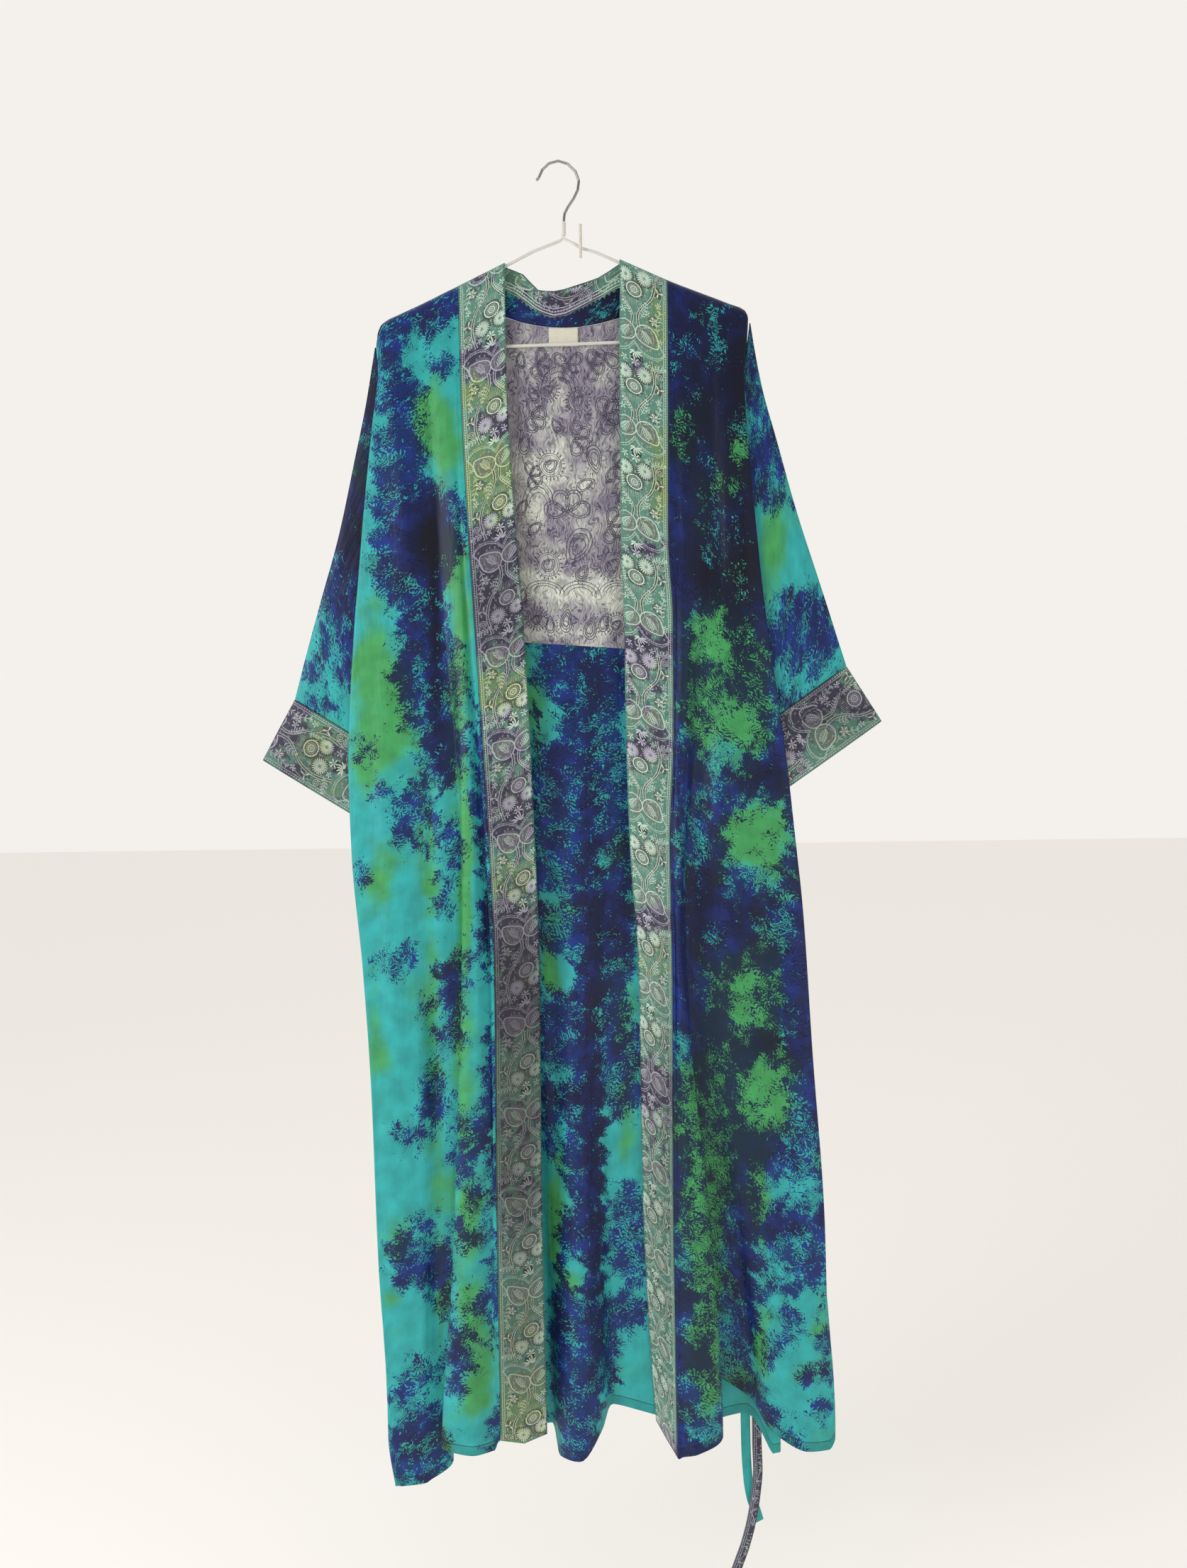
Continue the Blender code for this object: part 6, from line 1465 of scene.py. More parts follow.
FRONT_LEFT_SECTIONS = (
    (40, 108, 22.5, 115, 23, 123, 23, 133, 22.5, 146, 22, 158, 22, 172, 22,
     186, 21.6, 191, 21.4, 195, 21.2, 197.4, 21),
    (110, 108, 24.5, 117, 25, 125, 25, 135, 25, 148, 25, 160, 25.5, 172, 26,
     188, 25.8, 191.3, 25.1, 193.2, 23.8, 193.6, 22.2),
    (200, 108, 27, 119, 28.5, 129, 28, 139, 26.5, 150, 27.5, 162, 29.5, 174, 30.5,
     192, 28.5, 188, 25.6, 182, 25.2, 177.5, 24.2),
    (300, 108, 27.5, 121, 30, 132, 29, 142, 27.5, 152, 28.5, 164, 30.5, 181, 31.5,
     201, 28.8, 194, 25.6, 172, 25.3, 165, 24.2),
    (385, 108.5, 29, 120, 32, 132, 30, 143, 27.5, 153, 28.5, 166, 30.5, 187, 31.5,
     209.5, 29, 201, 25.6, 162, 25.2, 154, 22.2),
    (430, 108.5, 30, 119, 33, 130, 30.5, 141, 27.5, 153, 28.5, 168, 31, 191, 31.5,
     215, 29, 207, 25.6, 151, 25.2, 141, 18.2),
    (600, 106, 35, 112, 37, 120, 34, 130, 28.5, 147, 28.5, 172, 31, 208, 31.5,
     239, 29, 230, 25.6, 151, 25.2, 141, 18.2),
    (690, 103, 37, 108, 39, 114, 36, 122, 28.5, 145, 28, 174, 30.5, 213, 31.5,
     249, 29, 241, 25.6, 178, 25, 168, 18.2),
    (780, 103, 39, 107, 42, 112, 38, 117, 26, 143, 25, 176, 28.5, 217, 31.5,
     258.5, 29, 250, 25.4, 209, 24.4, 200, 18.2),
    (950, 104, 44, 111, 50, 122, 42, 123, 23, 150, 20, 182, 25.5, 226, 32,
     270, 29, 264, 25.2, 241, 24, 234, 18.2),
    (1190, 105, 50, 121, 57, 145, 47, 144, 21, 175, 17, 197, 28, 240, 34,
     286.5, 29.5, 285, 27, 282.5, 24.4, 279.5, 20.5),
    (1440, 107, 55, 126, 62, 157, 50, 156, 20, 199, 15, 220, 30, 262, 37,
     291, 31.5, 294, 31, 298, 30, 300, 28.8),
    (1480, 107, 55, 126, 62, 157, 50, 156, 20, 200, 15, 222, 30, 262, 37,
     290, 31.5, 293, 31, 297, 30, 299, 28.8),
)
FRONT_COLUMNS = 96
BAND_CLEAR = 3.0                # the first line beside the band lies this far from it
FRONT_NAVY_MOST = 12.0          # the left front's greatest depth in the navy


def front_surface(sections, band_table, place, across, drop):
    """x and depth of a front panel at places across it and drops. The lines are smoothed down
    the sections, the first two go on from the band in the band's own slope, and each level is
    then smoothed across."""
    drops, section_x, section_depth = split_table(sections)
    flat = drop.ravel()
    outer_x, outer_depth, inner_x, inner_depth = band_edges(band_table, flat).T
    run_x = outer_x - inner_x
    run_depth = outer_depth - inner_depth
    run = np.hypot(run_x, run_depth)
    found = []
    for table, start, slope in ((section_x, outer_x, run_x / run),
                                (section_depth, outer_depth, run_depth / run)):
        lines = smooth(drops, table, flat)
        lines = np.column_stack([start + slope * SEAM, start + slope * BAND_CLEAR, lines])
        where = np.tile(across, len(drop))[None, :]
        found.append(smooth(place, lines.T, where)[0].reshape(drop.shape))
    return found


# Soft creases of the fronts: upper end, lower end, width and height.
FRONT_CREASES = {
    "front_right": ((-193, 520, -192, 1450, 14, -7.5), (-236, 420, -250, 1440, 15, 3),
                    (-214, 760, -219, 1440, 10, -2), (-153, 520, -155, 1400, 10, 3.2),
                    (-222, 90, -204, 430, 13, 2.2), (-182, 120, -172, 560, 10, -2.2),
                    (-264, 860, -270, 1440, 10, -2.4), (-150, 100, -142, 420, 12, 2)),
    "front_left": ((126, 260, 138, 900, 12, -3.2), (160, 400, 186, 1400, 13, 3),
                   (208, 520, 236, 1430, 14, -3.6), (192, 100, 202, 520, 12, 2.4),
                   (150, 110, 162, 470, 10, -2.2),
                   (258, 820, 276, 1440, 12, 3), (134, 940, 140, 1440, 9, 2.4)),
}


def front_grid(lines, sections, band_table, band_hem_drop, columns, creases):
    """Points of a front panel, from the ridge to the hem and from the band to the side seam."""
    rows = [(0.0, RIDGE_FRONT, band_hem_drop), (0.03, RIDGE_FRONT, band_hem_drop + 1.0), *lines]
    place, top_depth, hem = np.array(rows, float).T
    marks = [0.0, *np.arange(0.03, 0.80, 0.0001), 0.80, 0.815, 0.83, 0.90, 0.97, 1.0]
    across = np.interp(np.linspace(0.0, 1.0, columns), np.linspace(0.0, 1.0, len(marks)), marks)
    across = np.unique(np.concatenate([across, (0.0, 0.015, 0.80, 0.81, 0.82, 0.83, 0.85, 0.88, 0.91, 0.94,
                                                0.97, 0.985, 1.0)]))
    top_depth = np.interp(across, place, top_depth)
    hem = smooth(place, hem[:, None], across)[:, 0]
    first_row = np.full((1, len(across)), float(sections[0][0]))
    top = ridge_drop(front_surface(sections, band_table, place, across, first_row)[0][0])
    drop = rows_between(top, hem)
    x, depth = front_surface(sections, band_table, place, across, drop)
    depth = over_the_arm(depth, top_depth, drop - top)
    # Creases fade out towards the band and before the side where the panel is folded back.
    flat_part = np.clip((across - 0.02) / 0.06, 0.0, 1.0) * np.clip((0.78 - across) / 0.1, 0.0, 1.0)
    depth = depth + soft_creases(creases, x, drop) * flat_part
    return np.stack([x, depth, drop], axis=2)


# Navy, green and near black patches of the two fronts, as for the back. On the right front the
# near black in the fold beside the band and in the valley next to it is painted shade over the navy.
FRONT_RIGHT_NAVY = (
    (-185, 68, 50, 26, 3, -25), (-220, 105, 13, 40, 3, 8), (-214, 165, 21, 32, 5), (-214, 235, 27, 40, 3),
    (-210, 292, 34, 42, 4), (-190, 332, 44, 56, 14), (-222, 350, 24, 44, 2), (-212, 388, 24, 18, 3),
    (-180, 450, 13, 190, 12), (-157, 312, 13, 32, 2), (-200, 440, 20, 60, 3), (-206, 498, 20, 26, 3),
    (-172, 578, 24, 42, 8), (-206, 545, 10, 16, 2), (-210, 640, 9, 26, 1, 20), (-218, 668, 8, 26, 1, 20),
    (-208, 695, 8, 5, 2), (-190, 665, 5, 18, 0), (-163, 700, 9, 24, 3), (-172, 758, 6, 26, 2, 10),
    (-167, 868, 13, 34, 9), (-165, 922, 8, 26, 4), (-177, 943, 6, 8, 4), (-191, 975, 7, 4, 1),
    (-192, 1014, 13, 24, 6), (-222, 1057, 12, 8, 2), (-208, 1168, 8, 7, 2), (-205, 1194, 6, 4, 2),
    (-236, 1190, 8, 14, 1), (-226, 1224, 20, 20, 5), (-194, 1226, 20, 28, 7), (-185, 1262, 7, 30, 6),
    (-245, 1388, 12, 6, 2), (-214, 1440, 34, 38, 3), (-247, 1460, 8, 34, 9), (-215, 1488, 34, 8, 2),
    (-125, 640, 8, 120, 3), (-121, 790, 7, 70, 6), (-121, 980, 6, 70, 4), (-140, 1040, 16, 26, 2),
    (-152, 1055, 9, 9, 2), (-156, 1090, 12, 12, 0), (-140, 1126, 10, 10, 1), (-151, 1170, 16, 9, 2, 20),
    (-140, 1256, 13, 9, 4), (-160, 1312, 13, 30, 5), (-170, 1345, 7, 24, 4), (-119, 1100, 5, 40, 3),
    (-121, 1240, 5, 80, 1), (-120, 1422, 6, 28, 3), (-146, 830, 6, 4, 0), (-264, 582, 5, 6, 0),
    (-270, 730, 3, 4, 0), (-160, 130, 8, 8, -2), (-245, 631, 4, 4, -1), (-158, 500, 9, 60, -1),
    (-215, 1355, 20, 10, -2), (-235, 835, 20, 8, -3, -20), (-190, 895, 14, 6, -2),
)
FRONT_RIGHT_GREEN_AND_SHADE = (
    (-178, 190, 34, 46, 0.9), (-165, 240, 26, 50, 0.5), (-148, 430, 14, 100, 1.0), (-255, 440, 26, 60, 0.7),
    (-250, 530, 34, 70, 0.9), (-235, 560, 30, 50, 0.7), (-265, 600, 20, 30, 0.8), (-248, 740, 24, 36, 0.9),
    (-145, 700, 8, 120, 0.7), (-262, 900, 12, 60, 0.6), (-160, 920, 8, 50, 0.7), (-250, 962, 20, 20, 0.5),
    (-240, 1190, 22, 30, 0.8), (-250, 1260, 14, 16, 0.6), (-150, 1150, 22, 50, 0.7),
    (-150, 1260, 24, 40, 0.7), (-145, 1335, 22, 50, 0.8), (-148, 1385, 18, 24, 0.6),
    (-190, 1440, 14, 30, 0.8), (-160, 360, 14, 30, 0.9), (-150, 1010, 18, 170, 0.6),
    # The table's last three patches, down the crease's trough near x -190, are painted shade: a darker green
    # where the crease is in shadow.
    (-150, 780, 12, 150, 0.5), (-160, 560, 16, 90, 0.4), (-194, 700, 16, 200, 0.5),
    (-192, 1000, 14, 200, 0.5), (-190, 1260, 12, 120, 0.45),
)
# Its near black in the fold beside the band and in the valley next to it is painted shade.
FRONT_RIGHT_BLACK_AND_SHADE = ((-190, 335, 24, 40, 0.9), (-178, 440, 10, 170, 0.9), (-122, 780, 10, 90, 0.6),
                    (-165, 1312, 14, 30, 0.5), (-215, 1450, 20, 20, 0.3), (-190, 870, 10, 60, 0.4))
# The left front is dark nearly all over above, so its table is of the patches that stayed clear.
FRONT_LEFT_CLEAR = (
    (152, 72, 16, 14, 2), (150, 118, 18, 16, 1), (116, 122, 10, 20, 0), (139, 172, 9, 8, 3),
    (115, 208, 12, 34, 2), (182, 208, 12, 18, 4), (184, 238, 11, 20, 7), (172, 272, 14, 10, 4),
    (150, 290, 12, 50, 1), (154, 350, 12, 20, 0), (180, 350, 8, 40, -1), (190, 400, 8, 14, 0),
    (150, 452, 26, 38, 12), (188, 478, 28, 30, 1), (146, 520, 20, 22, 3), (168, 562, 42, 42, 9),
    (208, 540, 22, 44, 1), (122, 545, 12, 34, 0), (165, 600, 22, 12, 6), (152, 632, 16, 14, 1),
    (134, 655, 10, 24, 0), (130, 702, 16, 22, 0), (206, 690, 44, 48, 14), (172, 745, 9, 26, 2),
    (212, 736, 28, 22, 5), (236, 765, 12, 16, 2), (228, 805, 20, 22, 1), (150, 814, 9, 5, 4),
    (144, 870, 10, 30, -1), (192, 866, 22, 28, 9), (192, 908, 24, 28, 9), (216, 880, 18, 20, 0),
    (236, 925, 12, 10, 1), (234, 955, 6, 6, 2), (112, 700, 6, 70, 2), (110, 960, 9, 46, 5),
    (116, 1030, 14, 40, 6), (160, 980, 12, 34, 0), (158, 1040, 14, 30, 1), (214, 1010, 34, 44, 12),
    (248, 1030, 18, 44, 1), (228, 1045, 28, 14, 5), (236, 1125, 46, 26, 12), (268, 1110, 16, 60, 7),
    (204, 1135, 10, 44, 8), (240, 1330, 60, 118, 40), (255, 1210, 46, 30, 3), (208, 1200, 7, 60, 6),
    (208, 1330, 10, 90, 10), (130, 1150, 12, 170, 5), (116, 1140, 10, 44, 0), (112, 1190, 10, 40, 1),
    (150, 1200, 14, 200, 4), (165, 1180, 10, 180, 1), (115, 1292, 8, 16, 3), (140, 1390, 16, 50, 5),
    (120, 1380, 16, 40, 1), (180, 1390, 24, 26, 5), (160, 1330, 12, 60, 3), (290, 1430, 46, 70, 30),
    (304, 1300, 26, 100, 14),
)
FRONT_LEFT_NAVY = (
    (232, 1178, 34, 16, 7, -10), (226, 1156, 14, 12, 3), (262, 1226, 18, 14, 2, -20), (236, 1250, 20, 8, 1),
    (238, 1284, 12, 5, 1), (246, 1310, 7, 6, 0), (217, 1335, 5, 14, 1), (266, 1360, 7, 5, 1),
    (286, 1345, 6, 14, 1), (282, 1405, 5, 12, 2), (290, 1310, 5, 10, 1), (215, 1078, 28, 12, 5),
    (232, 1108, 7, 4, 1), (262, 1060, 14, 10, 1), (118, 1450, 20, 14, 4), (215, 1420, 7, 24, 3),
    (192, 1250, 12, 130, 6), (188, 1130, 16, 60, 9), (110, 1240, 10, 26, 3), (104, 1300, 5, 60, 2),
    (110, 1400, 7, 40, 4), (112, 1085, 14, 12, 3), (200, 1090, 14, 12, 4), (198, 1390, 16, 9, 5, 40),
)
FRONT_LEFT_GREEN = (
    (184, 238, 14, 24, 0.9), (172, 270, 16, 12, 0.8), (150, 455, 40, 50, 1.0), (150, 525, 28, 30, 0.9),
    (130, 540, 16, 40, 0.6), (200, 545, 20, 50, 0.9), (205, 695, 50, 54, 0.9), (190, 890, 26, 60, 1.0),
    (215, 1005, 34, 50, 0.9), (112, 1020, 18, 60, 0.8), (205, 1135, 12, 60, 0.9), (135, 1180, 12, 150, 0.9),
    (118, 1170, 10, 20, 0.6), (208, 1335, 8, 40, 0.9), (180, 1385, 26, 20, 0.8), (275, 1305, 14, 14, 0.5),
    (140, 1300, 10, 60, 0.7), (150, 1200, 12, 200, 0.5), (112, 210, 14, 40, 0.7), (165, 1010, 36, 50, 0.7),
    (150, 1100, 36, 90, 0.6), (220, 860, 26, 50, 0.8), (165, 900, 26, 70, 0.7), (120, 1260, 24, 120, 0.5),
    (175, 520, 60, 90, 0.7), (185, 1010, 50, 120, 0.5), (160, 250, 40, 120, 0.4),
)
FRONT_LEFT_GREENER = 0.15       # the whole left front is a little greener
FRONT_LEFT_DEEP = (
    (150, 170, 80, 190, 0.72), (210, 160, 40, 140, 0.6), (190, 380, 34, 90, 0.8), (140, 380, 24, 40, 0.7),
    (215, 620, 40, 20, 0.7), (138, 760, 24, 90, 0.7), (200, 790, 40, 40, 0.6), (225, 945, 40, 16, 0.7),
    (190, 1250, 14, 120, 0.4), (230, 1175, 18, 16, 0.4), (110, 1245, 14, 20, 0.5),
)

for front_name, front_lines, front_sections, front_band, front_hem in (
        ("front_right", FRONT_RIGHT_LINES, FRONT_RIGHT_SECTIONS, BAND_RIGHT, BAND_RIGHT_HEM[0]),
        ("front_left", FRONT_LEFT_LINES, FRONT_LEFT_SECTIONS, BAND_LEFT, BAND_LEFT_HEM[0])):
    front_points = front_grid(front_lines, front_sections, front_band, front_hem, FRONT_COLUMNS,
                              FRONT_CREASES[front_name])
    if front_name == "front_right":
        front_navy = patch_depth(FRONT_RIGHT_NAVY, front_points)
        front_green_and_shade = soft_patches(FRONT_RIGHT_GREEN_AND_SHADE, front_points)
        front_black_and_shade = soft_patches(FRONT_RIGHT_BLACK_AND_SHADE, front_points)
    else:
        # Deep in the navy the depth is capped, and the dark top is a little deeper still.
        front_navy = np.minimum(FRONT_NAVY_MOST, -patch_depth(FRONT_LEFT_CLEAR, front_points))
        front_navy = front_navy + 3.0 * np.clip((470.0 - front_points[:, :, 2]) / 160.0, 0.0, 1.0)
        front_navy = np.maximum(front_navy, patch_depth(FRONT_LEFT_NAVY, front_points))
        front_green_and_shade = soft_patches(FRONT_LEFT_GREEN, front_points) + FRONT_LEFT_GREENER
        front_black_and_shade = soft_patches(FRONT_LEFT_DEEP, front_points)
    front = make_cloth(front_name + "_panel", front_points, dyed_silk,
                       dye_values(front_points, front_navy, front_green_and_shade, front_black_and_shade))
    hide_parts(front_name)
    front_sewing = sew(front_name + "_stitches", front_points,
                       [(len(front_points) + HEM_STITCH_ROW, np.arange(front_points.shape[1]))])


# Sleeves. Each is a flat tube of the dyed silk, set into the shoulder and cut off straight, with
# a brocade cuff turned up at its end.
SLEEVE_MID = 17.5
SLEEVE_PUFF = 5.0
RING_FLATNESS = 0.35
# Rings from the shoulder to the sleeve's end: x and drop of the upper edge, then of the lower one.
SLEEVE_RINGS = {
    "sleeve_right": ((-243, 108, -192, 393), (-256, 177, -192, 425), (-270, 237, -192, 456),
                     (-291, 325, -192, 502), (-315, 404, -192, 548), (-336, 474, -192, 590),
                     (-349, 520, -192, 619)),
    "sleeve_left": ((198.5, 84, 156, 397), (203.5, 115, 156, 414), (213, 162, 156, 434),
                    (230, 222, 156, 462), (252, 300, 157, 500), (284, 398, 158, 548),
                    (313, 488, 160.5, 594)),
}
RING_POINTS = 132
SLEEVE_STEPS = 60


def tube_rings(rings, steps, start_gap=0.0):
    """Rings of a flattened tube, read smoothly from a table: each ring goes from its upper edge
    down the front layer and up the back one, its depth a flattened half wave."""
    table = np.array(rings, float)
    knots = np.arange(len(table))
    reads = np.linspace(0.0, len(table) - 1.0, steps + 1)
    if start_gap:
        length = np.hypot(*(table[1, :2] - table[0, :2]))
        reads[0] = start_gap / length
    edges = smooth(knots, table, reads)
    angle = np.linspace(0.0, 2.0 * math.pi, RING_POINTS, endpoint=False)
    share = (1.0 - np.cos(angle)) / 2.0
    bulge = np.sign(np.sin(angle)) * (4.0 * share * (1.0 - share) + 1e-9) ** RING_FLATNESS
    upper, lower = edges[:, None, :2], edges[:, None, 2:]
    line = upper + (lower - upper) * share[None, :, None]
    depth = np.broadcast_to(SLEEVE_MID + SLEEVE_PUFF * bulge, line.shape[:2])
    return np.stack([line[:, :, 0], depth, line[:, :, 1]], axis=2)


# Navy, green and near black patches of the sleeves, as for the back.
SLEEVE_NAVY = {
    "sleeve_right": ((-252, 160, 20, 66, 10), (-250, 120, 12, 40, 8), (-262, 318, 40, 100, 16),
                     (-285, 400, 34, 34, 4, 20), (-303, 440, 9, 12, 1),
                     (-325, 490, 8, 7, 1), (-312, 462, 5, 6, 0), (-286, 490, 6, 20, 1),
                     (-315, 530, 14, 6, 1), (-230, 460, 60, 60, 8)),
    "sleeve_left": ((200, 130, 9, 60, 6), (212, 185, 10, 14, 1), (224, 234, 20, 34, 4, 20),
                    (205, 250, 14, 40, 5), (225, 290, 20, 8, 0), (268, 422, 34, 22, 6, 10),
                    (284, 458, 16, 20, 5), (236, 455, 24, 24, 4), (238, 528, 14, 12, 3),
                    (262, 470, 30, 26, -1), (160, 400, 30, 100, 6)),
}
SLEEVE_GREEN = {
    "sleeve_right": ((-264, 252, 12, 30, 1.0), (-258, 215, 8, 12, 0.5), (-290, 560, 30, 20, 0.3)),
    "sleeve_left": ((226, 345, 14, 60, 1.0), (240, 300, 20, 30, 0.4), (208, 160, 10, 30, 0.3)),
}
SLEEVE_DEEP = {
    "sleeve_right": ((-254, 160, 18, 70, 0.8), (-270, 325, 30, 66, 0.9), (-256, 115, 12, 40, 0.5)),
    "sleeve_left": ((205, 110, 12, 60, 0.3), (270, 425, 20, 14, 0.2)),
}

for sleeve_name, sleeve_rings in SLEEVE_RINGS.items():
    sleeve_points = tube_rings(sleeve_rings, SLEEVE_STEPS)
    closed_points = np.concatenate([sleeve_points, sleeve_points[:, :1]], axis=1)
    sleeve_values = dye_values(closed_points,
                               patch_depth(SLEEVE_NAVY[sleeve_name], closed_points),
                               soft_patches(SLEEVE_GREEN[sleeve_name], closed_points),
                               soft_patches(SLEEVE_DEEP[sleeve_name], closed_points),
                               hemmed=False)
    sleeve_values = {key: value[:, :-1] for key, value in sleeve_values.items()}
    sleeve = make_cloth(sleeve_name + "_tube", sleeve_points, dyed_silk, sleeve_values, closed=True)
    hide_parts(sleeve_name)


# Cuffs. The same brocade as the bands, cut wider, sewn round the sleeve's end and turned up. Their
# rings are read as those of the sleeves.
CUFF_RINGS = {
    "cuff_right": ((-349, 520, -192, 619), (-370, 557, -212.5, 656), (-390, 593, -233, 692)),
    "cuff_left": ((313, 488, 160.5, 594), (334.5, 521.5, 182, 627.5), (356, 555, 203.5, 661)),
}
CUFF_GAP = 0.7
CUFF_STEPS = 24
CUFF_LENGTH = 84.0
CUFF_SEAM_IN = 1.4
# Where each cuff is purple, warm and dark, as for the bands. Its dark, over nearly the whole cuff,
# is painted shade, as the ends of the sleeves get less light.
CUFF_DYES_AND_SHADE = {
    "cuff_right": (((-365, 560, 28, 38, 1.0), (-343, 531, 26, 14, 0.8), (-298, 590, 18, 28, 0.8),
                    (-352, 610, 22, 14, 0.6), (-320, 640, 40, 16, 0.5)),
                   ((-326, 577, 24, 24, 0.9), (-300, 630, 30, 16, 0.4)), ((-335, 590, 80, 70, 0.55),)),
    "cuff_left": (((285, 525, 36, 34, 1.1), (252, 578, 22, 44, 0.9), (334, 536, 22, 26, 0.8),
                   (215, 580, 26, 50, 0.9)),
                  ((305, 575, 26, 14, 0.3),), ((285, 545, 90, 60, 0.7),)),
}
# Where the medallion lies, from the upper edge down the front, and which way the repeats run.
CUFF_RUNS = {"cuff_right": (46.0, 1.0), "cuff_left": (14.0, -1.0)}
MEDALLION = 76.0
for cuff_name, cuff_rings in CUFF_RINGS.items():
    cuff_points = tube_rings(cuff_rings, CUFF_STEPS, CUFF_GAP)
    cuff_across, cuff_down = cloth_lengths(cuff_points)
    cuff = make_cloth(cuff_name + "_tube", cuff_points, brocade_ground,
                      strip_values(CUFF_DYES_AND_SHADE[cuff_name], cuff_points, cuff_across, cuff_down), closed=True)
    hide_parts(cuff_name)
    # The figures run round the cuff with their axis along its middle and a border at both edges.
    cuff_ring = cuff_points[CUFF_STEPS // 2]
    cuff_ring = np.vstack([cuff_ring, cuff_ring[:1]])
    cuff_round = length_along(cuff_ring)
    cuff_turns = int(round(cuff_round[-1] / REPEAT))
    cuff_stretch = cuff_round[-1] / (cuff_turns * REPEAT)
    cuff_place, cuff_run = CUFF_RUNS[cuff_name]
    cuff_parts, cuff_part_faces, cuff_part_tones, cuff_count = [], [], [], 0
    for cuff_low, cuff_high, cuff_way in ((0.4 - AXIS, INNER, -1.0), (0.4 - AXIS, 0.4 - INNER, 1.0)):
        flat, tone, faces = laid_out(brocade, np.arange(-1, cuff_turns + 1) * REPEAT, cuff_low, cuff_high,
                                     0.0, cuff_turns * REPEAT)
        part_down = CUFF_LENGTH / 2.0 + cuff_way * flat[:, 0] * CUFF_LENGTH / (2.0 * AXIS)
        part_round = cuff_place + cuff_run * (flat[:, 1] - MEDALLION) * cuff_stretch
        part_lap = np.floor(part_round / cuff_round[-1])
        part_column = part_lap * RING_POINTS + np.interp(part_round - part_lap * cuff_round[-1], cuff_round,
                                                         np.arange(RING_POINTS + 1))
        places, faces = lay_on(cuff_points, SLEEVE_MID, part_down / CUFF_LENGTH * CUFF_STEPS, part_column,
                               flat[:, 2], faces, closed=True)
        cuff_parts.append(np.column_stack([places, flat[:, 1], part_down]))
        cuff_part_faces.append(faces + cuff_count)
        cuff_part_tones.append(tone)
        cuff_count += len(flat)
    cuff_all = np.vstack(cuff_parts)
    figure_values = strip_values(CUFF_DYES_AND_SHADE[cuff_name], cuff_all, cuff_all[:, 3], cuff_all[:, 4])
    cuff_figure = make_piece(cuff_name + "_figures", cuff_all[:, :3], np.vstack(cuff_part_faces),
                             silver_thread, {**figure_values, "tone": np.concatenate(cuff_part_tones)})
    cuff_columns = np.arange(RING_POINTS + 1)
    cuff_inset = CUFF_SEAM_IN / CUFF_LENGTH * CUFF_STEPS
    cuff_sewing = sew(cuff_name + "_stitches", cuff_points,
                      [(cuff_inset, cuff_columns), (CUFF_STEPS - cuff_inset, cuff_columns)],
                      middle=SLEEVE_MID, closed=True)


# Belt. One long strip, plain silk on one half and brocade on the other, hung through a narrow
# carrier behind the back so that its two ends show below the hem.
BELT_WIDTH = 12.0
BELT_WALL = 1.6
BELT_TURN = (199.0, 552.0, 10.0)        # x, drop and radius of its turn over the carrier
BELT_DEPTH = 4.4
# Its two tails, from the turn down: x, drop, depth and how far it is twisted, in degrees.
TAIL_SILK = ((190.5, 700, 4.4, 0), (190.5, 1100, 3.8, 0), (191, 1420, 3.4, 0), (192, 1480, 3.2, 10),
             (194.5, 1520, 3.2, 15), (199, 1546, 3.2, 15), (204.5, 1561, 3.2, 15), (208.5, 1575, 3.2, 15))
TAIL_BROCADE = ((207.5, 700, 4.4, 0), (207.5, 1100, 3.8, 0), (205.5, 1400, 3.8, 0), (205.5, 1466, 4.6, 0),
                (206, 1500, 9.5, 20), (203.5, 1530, 11.5, 35), (198, 1566, 11.5, 35),
                (190, 1600, 10.5, 35), (181.5, 1626, 9.5, 30), (172, 1652, 9.5, 25))
BELT_PITCH = 5.0
BELT_COLUMNS = 7
BELT_DYES = (0.9, 0.3, 0.3)     # how purple, warm and dark its brocade is
BELT_GREEN = 0.1
NO_NAVY = -30.0                 # a depth too far outside the navy for any stroke of it


def belt_path():
    """Middle line of the belt at even steps: up one tail, round the turn and down the other."""
    turn_x, turn_drop, turn_radius = BELT_TURN
    arch = [(turn_x + turn_radius * math.cos(a), turn_drop - turn_radius * math.sin(a), BELT_DEPTH, 0.0)
            for a in map(math.radians, range(180, -1, -10))]
    parts = []
    for tail in ([*reversed(TAIL_SILK), arch[0]], arch, [arch[-1], *TAIL_BROCADE]):
        table = np.array(tail, float)
        length = length_along(table[:, :3])
        count = max(int(length[-1] / BELT_PITCH), 12)
        parts.append(smooth(length, table, np.linspace(0.0, length[-1], count)))
    return np.vstack([parts[0][:-1], parts[1], parts[2][1:]]), len(parts[0]) + len(parts[1]) // 2


belt_line, belt_half = belt_path()
belt_middle = belt_line[:, [0, 2, 1]]
belt_along = np.gradient(belt_middle, axis=0)
belt_along[:, 1] = 0.0
belt_along /= np.linalg.norm(belt_along, axis=1)[:, None]
belt_flat = np.stack([belt_along[:, 2], np.zeros(len(belt_line)), -belt_along[:, 0]], axis=1)
belt_turned = np.radians(belt_line[:, 3])[:, None]
belt_width = belt_flat * np.cos(belt_turned) + np.array((0.0, 1.0, 0.0)) * np.sin(belt_turned)
belt_shares = np.linspace(-0.5, 0.5, BELT_COLUMNS)[None, :, None]
belt_points = belt_middle[:, None, :] + belt_width[:, None, :] * BELT_WIDTH * belt_shares
belt_values = dye_values(belt_points, np.full(belt_points.shape[:2], NO_NAVY), BELT_GREEN, hemmed=False)
belt_values["tint"] = np.broadcast_to(BELT_DYES, belt_points.shape)
belt = make_cloth("tie_belt", belt_points, dyed_silk, belt_values, BELT_WALL)
belt.data.materials.append(brocade_ground)
belt_face = np.arange(len(belt.data.polygons))
belt.data.polygons.foreach_set("material_index",
                               (belt_face >= belt_half * (BELT_COLUMNS - 1)).astype(np.int32))
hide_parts("belt")
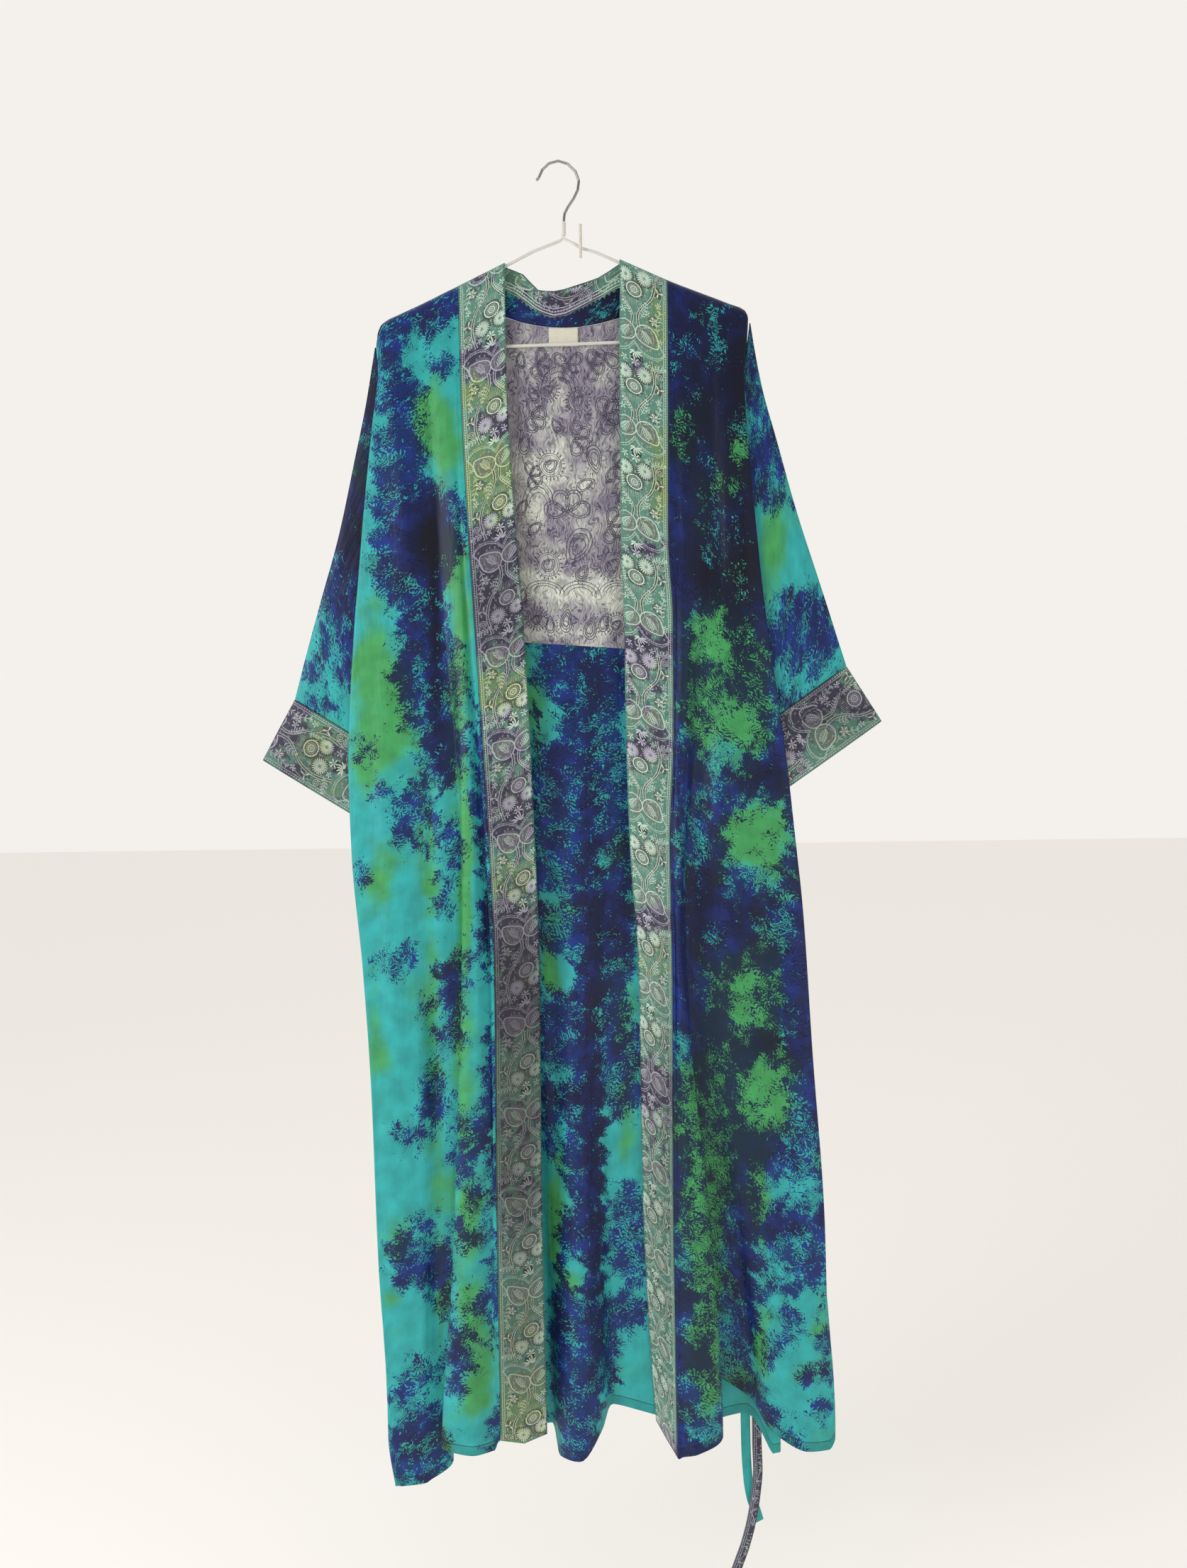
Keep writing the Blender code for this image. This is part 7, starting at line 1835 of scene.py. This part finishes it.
# Its brocade half is cut from the cloth's edge: the border and part of the outer field.
belt_tail = belt_points[belt_half:]
tail_down = cloth_lengths(belt_tail)[1][:, BELT_COLUMNS // 2]
BELT_EDGE = 0.3
BELT_BARE_TURN, BELT_BARE_END = 4.0, 2.0
belt_flat_figures, belt_tone, belt_figure_faces = laid_out(
    brocade, np.arange(0, int(tail_down[-1] / REPEAT) + 1) * REPEAT, BELT_EDGE - AXIS,
    BELT_WIDTH - BELT_EDGE - AXIS, BELT_BARE_TURN, tail_down[-1] - BELT_BARE_END)
belt_places, belt_figure_faces = lay_on(
    belt_tail, 0.0, np.interp(belt_flat_figures[:, 1], tail_down, np.arange(len(belt_tail))),
    (belt_flat_figures[:, 0] + AXIS) / BELT_WIDTH * (BELT_COLUMNS - 1),
    belt_flat_figures[:, 2] + (BELT_WALL - CLOTH) / 2.0, belt_figure_faces)
belt_figures = make_piece("belt_figures", belt_places, belt_figure_faces, silver_thread,
                          {"cloth": np.column_stack([belt_flat_figures[:, :2], belt_tone * 0.0]),
                           "tint": np.broadcast_to(BELT_DYES, belt_places.shape),
                           "tone": belt_tone})

# The carrier is a guess: a narrow strip of the silk, sewn to the back above and below the belt.
CARRIER_X = 199.0
CARRIER_TOP = 526.0
CARRIER_BOTTOM = 568.0
CARRIER_WIDTH = 5.0
CARRIER_STEPS = 30
# Its depth at shares of its length: sewn to the back at both ends, behind the belt between.
CARRIER_DEPTHS = ((0.0, 6.0), (0.12, 5.6), (0.22, 2.3), (0.5, 2.3), (0.68, 2.3), (0.84, 5.4), (1.0, 6.0))
carrier_share = np.linspace(0.0, 1.0, CARRIER_STEPS)
carrier_depth = np.interp(carrier_share, *np.array(CARRIER_DEPTHS).T)
carrier_drop = CARRIER_TOP + (CARRIER_BOTTOM - CARRIER_TOP) * carrier_share
carrier_points = np.stack([np.column_stack([np.full(CARRIER_STEPS, CARRIER_X + CARRIER_WIDTH * side),
                                            carrier_depth, carrier_drop])
                           for side in (-0.5, -0.2, 0.2, 0.5)], axis=1)
carrier = make_cloth("belt_carrier_strip", carrier_points, dyed_silk,
                     dye_values(carrier_points, np.full(carrier_points.shape[:2], NO_NAVY), hemmed=False))
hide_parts("belt_carrier")
